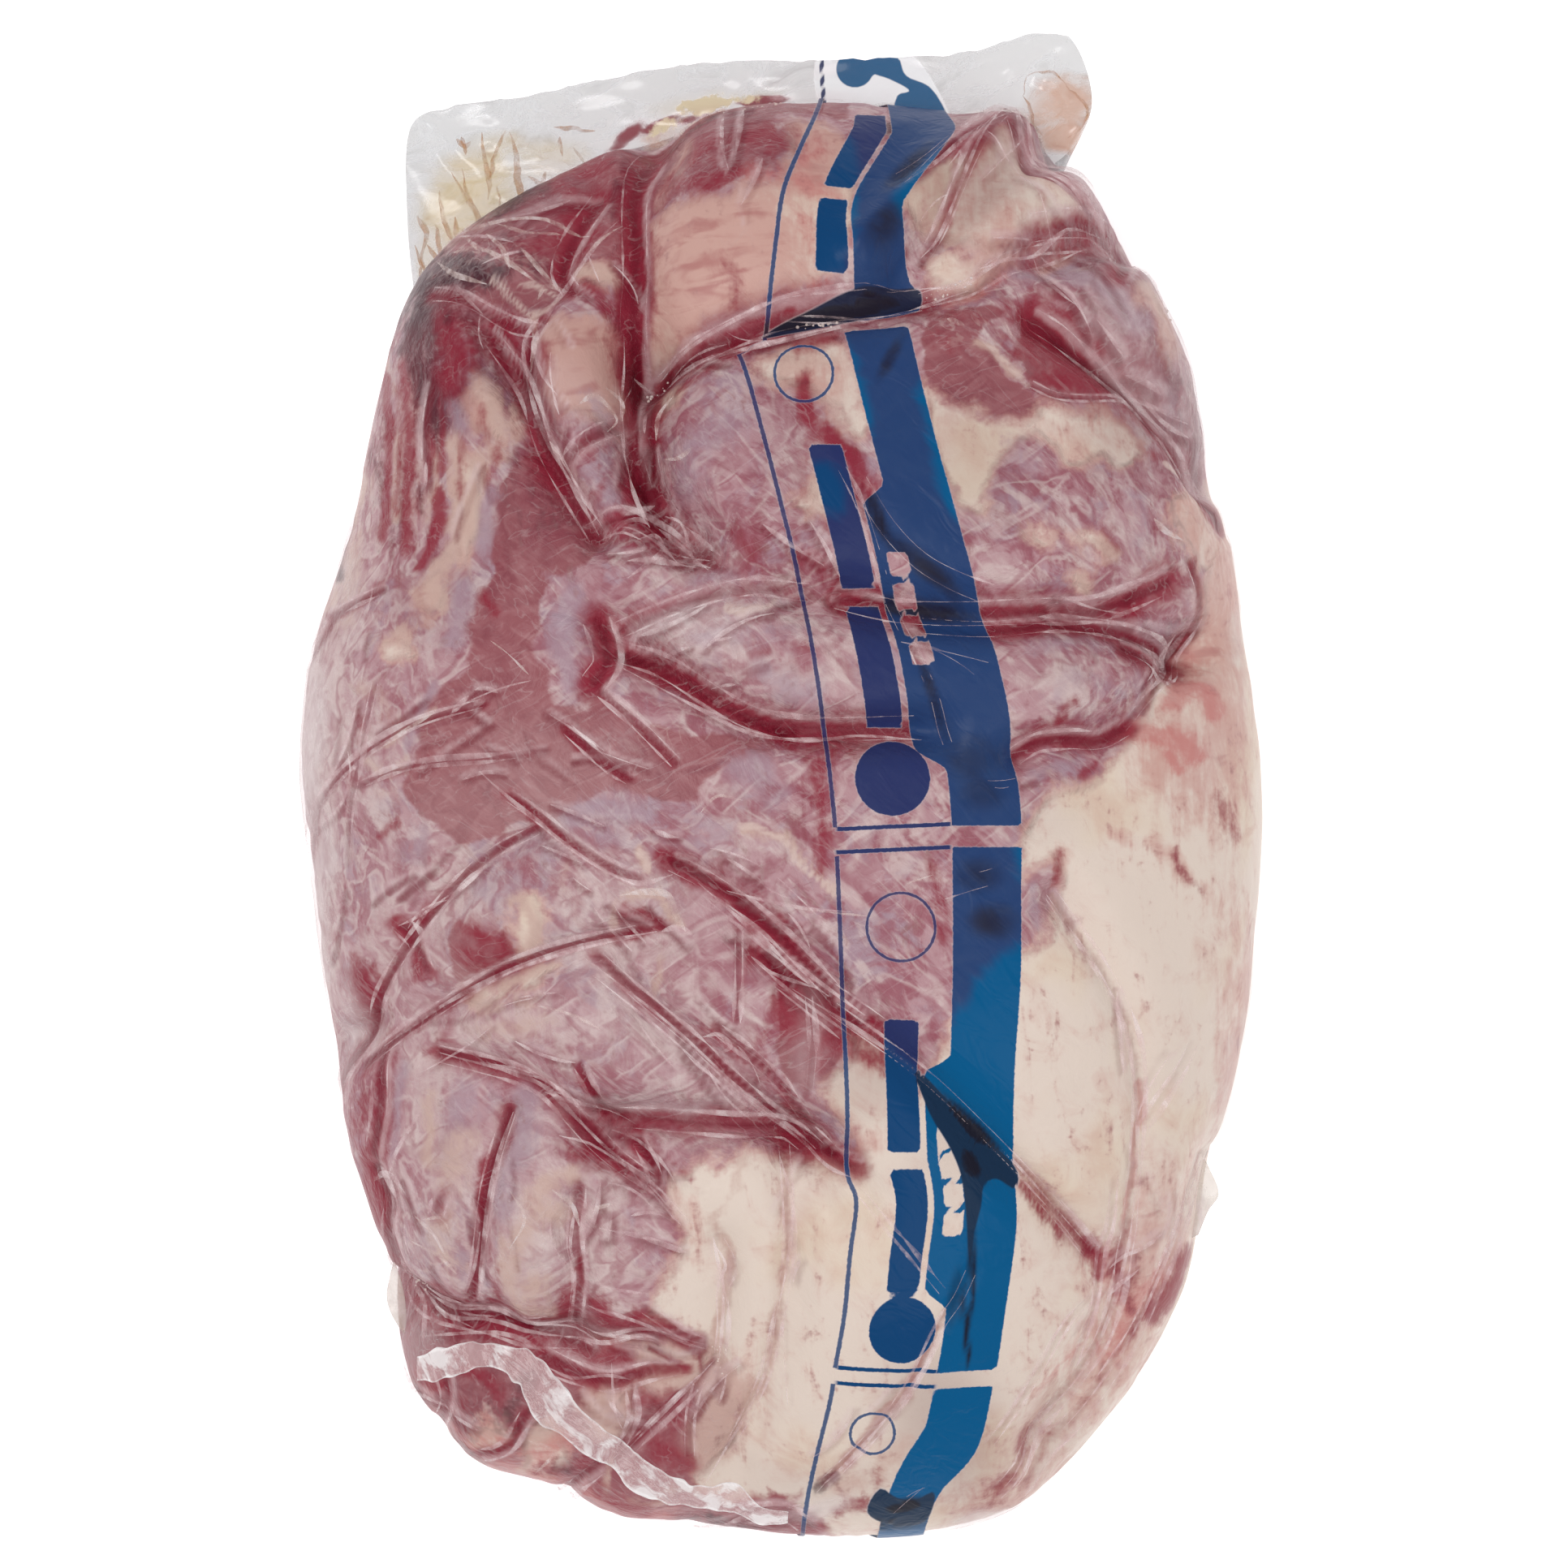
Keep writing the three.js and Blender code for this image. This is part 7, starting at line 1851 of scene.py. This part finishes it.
# Ridges on both sides of a fold, in half widths from its middle, and their radii
LIP_RIDGES = ((0.9, 0.34), (-0.85, 0.24))
# Share of the listed creases that is drawn, and their lengths and widths, between two ends
CREASE_SHARE = 0.4
CREASE_LENGTHS = (5, 22)
CREASE_WIDTHS = (0.4, 1.3)
CREASE_SEED = 61
CREASE_SPREAD = 0.2


def scattered_creases():
    """Short creases scattered over the puckered stretches, each near the stretch's own direction."""
    draw = np.random.default_rng(CREASE_SEED)
    share = np.linspace(-0.5, 0.5, 7)
    lines = []
    for (x, y), (long, wide), heading, count in WRINKLED:
        turn = math.radians(heading)
        for _ in range(math.ceil(count * CREASE_SHARE)):
            out, angle = math.sqrt(draw.uniform()), draw.uniform(0, 2 * math.pi)
            place = rotated(np.array([long * out * math.cos(angle), wide * out * math.sin(angle)]), turn)
            length, bend = draw.uniform(*CREASE_LENGTHS) * min(1, long / 14), draw.normal(0, CREASE_SPREAD)
            bow = length * np.column_stack([share, bend * (share**2 - 0.1)])
            line = np.array([x, y]) + place + rotated(bow, turn + draw.normal(0, CREASE_SPREAD))
            lines.append((line, draw.uniform(*CREASE_WIDTHS)))
    return lines


def rotated(spots, angle):
    """Plan vectors turned by an angle."""
    cos, sin = math.cos(angle), math.sin(angle)
    return spots @ np.array([[cos, sin], [-sin, cos]])


def make_pleats(creases):
    """Pale lines of the film, low ridges painted pale as highlights: its pleats, the lips of its folds and
    its creases.
    """
    # The ridges' pale colour is painted highlight
    finish = strip_finish("pleat film", paint(226, 196, 198), 0.05, 0.32, 5, paint(238, 222, 222))
    lines = ridge_lines(PLEATS, 0.42, 0.6)
    for path, half, _, _ in FOLDS:
        line = smooth_path(path, steps=4)
        for share, width in LIP_RIDGES:
            aside = beside(line, share * half)
            lines.append((aside, ridge_radii(aside, width, 1.8)))
    for line, width in creases[::2]:
        lines.append((line, ridge_radii(line, 0.36 * width, 0.8)))
    return make_ridges("film_pleats", lines, finish, PLEAT_LIFT)


def make_strands():
    """Thin threads of pale tissue on the meat."""
    finish = strip_finish("pale thread", STRAND, 0.05, 0.5, 4)
    return make_ridges("tissue_threads", ridge_lines(THREADS, 0.5, 0.8), finish)


def make_trickles():
    """Trickles of juice dried on the empty end of the bag."""
    finish = strip_finish("dried trickle", STAIN_BROWN, 0.16, 0.5, 3, paint(196, 140, 82))
    sheet = skirt_sheet().reshape(-1, 3)
    lines = []
    for path, width in TRICKLES:
        line = smooth_path(path, steps=4)
        line = line + 0.35 * np.column_stack([lumps(line, 1.6, 71), lumps(line, 1.6, 72)])
        nearest_point = np.array([np.argmin(((sheet[:, :2] - spot) ** 2).sum(axis=1)) for spot in line])
        points = np.column_stack([line, sheet[nearest_point, 2] + SKIRT_THICK / 2])
        lines.append((points, ridge_radii(line, 0.5 * width, 0.7)))
    return sweep_ridges("dried_trickles", lines, finish)


def make_tabs():
    """Corners of the film that stand out from the wall."""
    finish = strip_finish("tab film", paint(218, 206, 194), 0.3, 0.62)
    points, faces = [], []
    for inner, outer, height in TABS:
        sides = [smooth_path(path, steps=8) for path in (inner, outer)]
        across = np.linspace(0, 1, 12)[None, :, None]
        plan = sides[0][:, None] * (1 - across) + sides[1][:, None] * across
        wave = height + 1.2 * lumps(plan.reshape(-1, 2), 5, 51).reshape(plan.shape[:2])
        more, quads = slab_mesh(np.dstack([plan, wave]), UPWARD, TAB_THICK)
        faces += [tuple(corner + sum(map(len, points)) for corner in face) for face in quads]
        points.append(more)
    return build_mesh("film_tabs", np.vstack(points), faces, finish)


def make_bubbles():
    """Bubbles of juice and air caught under the film near the folds."""
    finish = strip_finish("bubble", paint(232, 214, 206), 0.5, 0.9)
    tree = bubble_tree()
    made = []
    for number, (corners, count, radius) in enumerate(BUBBLES):
        points = film_top(np.array(corners, float), 0.1)
        area = 0.5 * np.linalg.norm(np.cross(points[2] - points[0], points[3] - points[1])) * MM**2
        patch = build_mesh("patch", points, [(0, 1, 2, 3)], finish)
        values = {"Bubble Radius": radius * MM, "Density": count / area, "Seed": number, "Finish": finish}
        made.append(run_tree(patch, tree, values, f"bubbles_{number}"))
    with bpy.context.temp_override(active_object=made[0], selected_editable_objects=made):
        bpy.ops.object.join()
    made[0].name = "juice_bubbles"
    return made[0]


def face_outwards(piece):
    """Turns a closed mesh's faces to point outwards."""
    shape = bmesh.new()
    shape.from_mesh(piece.data)
    bmesh.ops.recalc_face_normals(shape, faces=shape.faces)
    shape.to_mesh(piece.data)
    shape.free()


lattice_places, lattice_faces = skin_lattice()
lattice_lift = film_rise(lattice_places)
creases = scattered_creases()
pieces = [
    make_beef(lattice_places, lattice_faces, lattice_lift, creases),
    make_film(lattice_places, lattice_faces, lattice_lift), make_skirt(), make_seal(), make_pleats(creases),
    make_strands(), make_trickles(), make_tabs(), make_bubbles(),
]
for piece in pieces:
    face_outwards(piece)
    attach(piece, "root")
    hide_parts(NODE)
    # Clear film, threads and juice this thin cast no shadow worth seeing, and the picture is quicker
    # without them: the meat alone does
    piece.visible_shadow = piece is pieces[0]
    piece.visible_diffuse = piece is pieces[0]

# The picture's width on the table and the camera's distance from it, in metres
FRAME_WIDTH = 386.4 * MM
CAMERA_AWAY = 5.0
SENSOR = 36


def make_camera():
    """Straight above, with the sealed end of the bag up in the picture."""
    lens = bpy.data.cameras.new("overhead")
    lens.sensor_width = SENSOR
    lens.lens = SENSOR * CAMERA_AWAY / FRAME_WIDTH
    lens.clip_end = 4 * CAMERA_AWAY
    camera = bpy.data.objects.new("overhead", lens)
    camera.location = (0, 0, CAMERA_AWAY + WIDEST_Z * MM)
    bpy.context.scene.collection.objects.link(camera)
    bpy.context.scene.camera = camera


# Large soft lamps: place and width in metres, power in watts
LAMPS = {"key": ((-0.55, 0.2, 1.8), 0.9, 12.3), "fill": ((0.7, -0.6, 1.6), 1.2, 6.6)}
LAMPS_LOOK_AT = mathutils.Vector((0, 0, 0.05))
ROOM_LIGHT = 0.475
FLOOR_HALF = 3.0
FLOOR_WHITE = (0.9, 0.9, 0.9, 1)
FLOOR_GLOW = 0.55
FLOOR_BELOW = 0.0005


def make_light(name, place, size, power):
    """A large soft lamp that looks at the meat."""
    lamp = bpy.data.lights.new(name, "AREA")
    lamp.shape = "DISK"
    lamp.size = size
    lamp.energy = power
    light = bpy.data.objects.new(name, lamp)
    light.location = place
    light.rotation_euler = (LAMPS_LOOK_AT - light.location).to_track_quat("-Z", "Y").to_euler()
    bpy.context.scene.collection.objects.link(light)


def make_floor():
    """A plain white table, bright enough to drown the shadow."""
    f = Finish("floor", Roughness=0.8, Emission_Strength=FLOOR_GLOW)
    f.shader.inputs["Base Color"].default_value = FLOOR_WHITE
    f.shader.inputs["Emission Color"].default_value = (1, 1, 1, 1)
    corners = [(x * FLOOR_HALF, y * FLOOR_HALF, 0) for x, y in ((-1, -1), (1, -1), (1, 1), (-1, 1))]
    mesh = bpy.data.meshes.new("floor")
    mesh.from_pydata(corners, [], [(0, 1, 2, 3)])
    mesh.materials.append(f.material)
    floor = bpy.data.objects.new("floor", mesh)
    bpy.context.scene.collection.objects.link(floor)
    floor.location.z = -FLOOR_BELOW


def light_the_room():
    """A white tent of light, a little stronger from the upper left."""
    world = bpy.data.worlds.new("tent")
    world.use_nodes = True
    world.node_tree.nodes["Background"].inputs["Color"].default_value = (1, 1, 1, 1)
    world.node_tree.nodes["Background"].inputs["Strength"].default_value = ROOM_LIGHT
    bpy.context.scene.world = world
    for name, (place, size, power) in LAMPS.items():
        make_light(name, place, size, power)


make_camera()
make_floor()
light_the_room()
bpy.context.scene.view_settings.view_transform = "Standard"
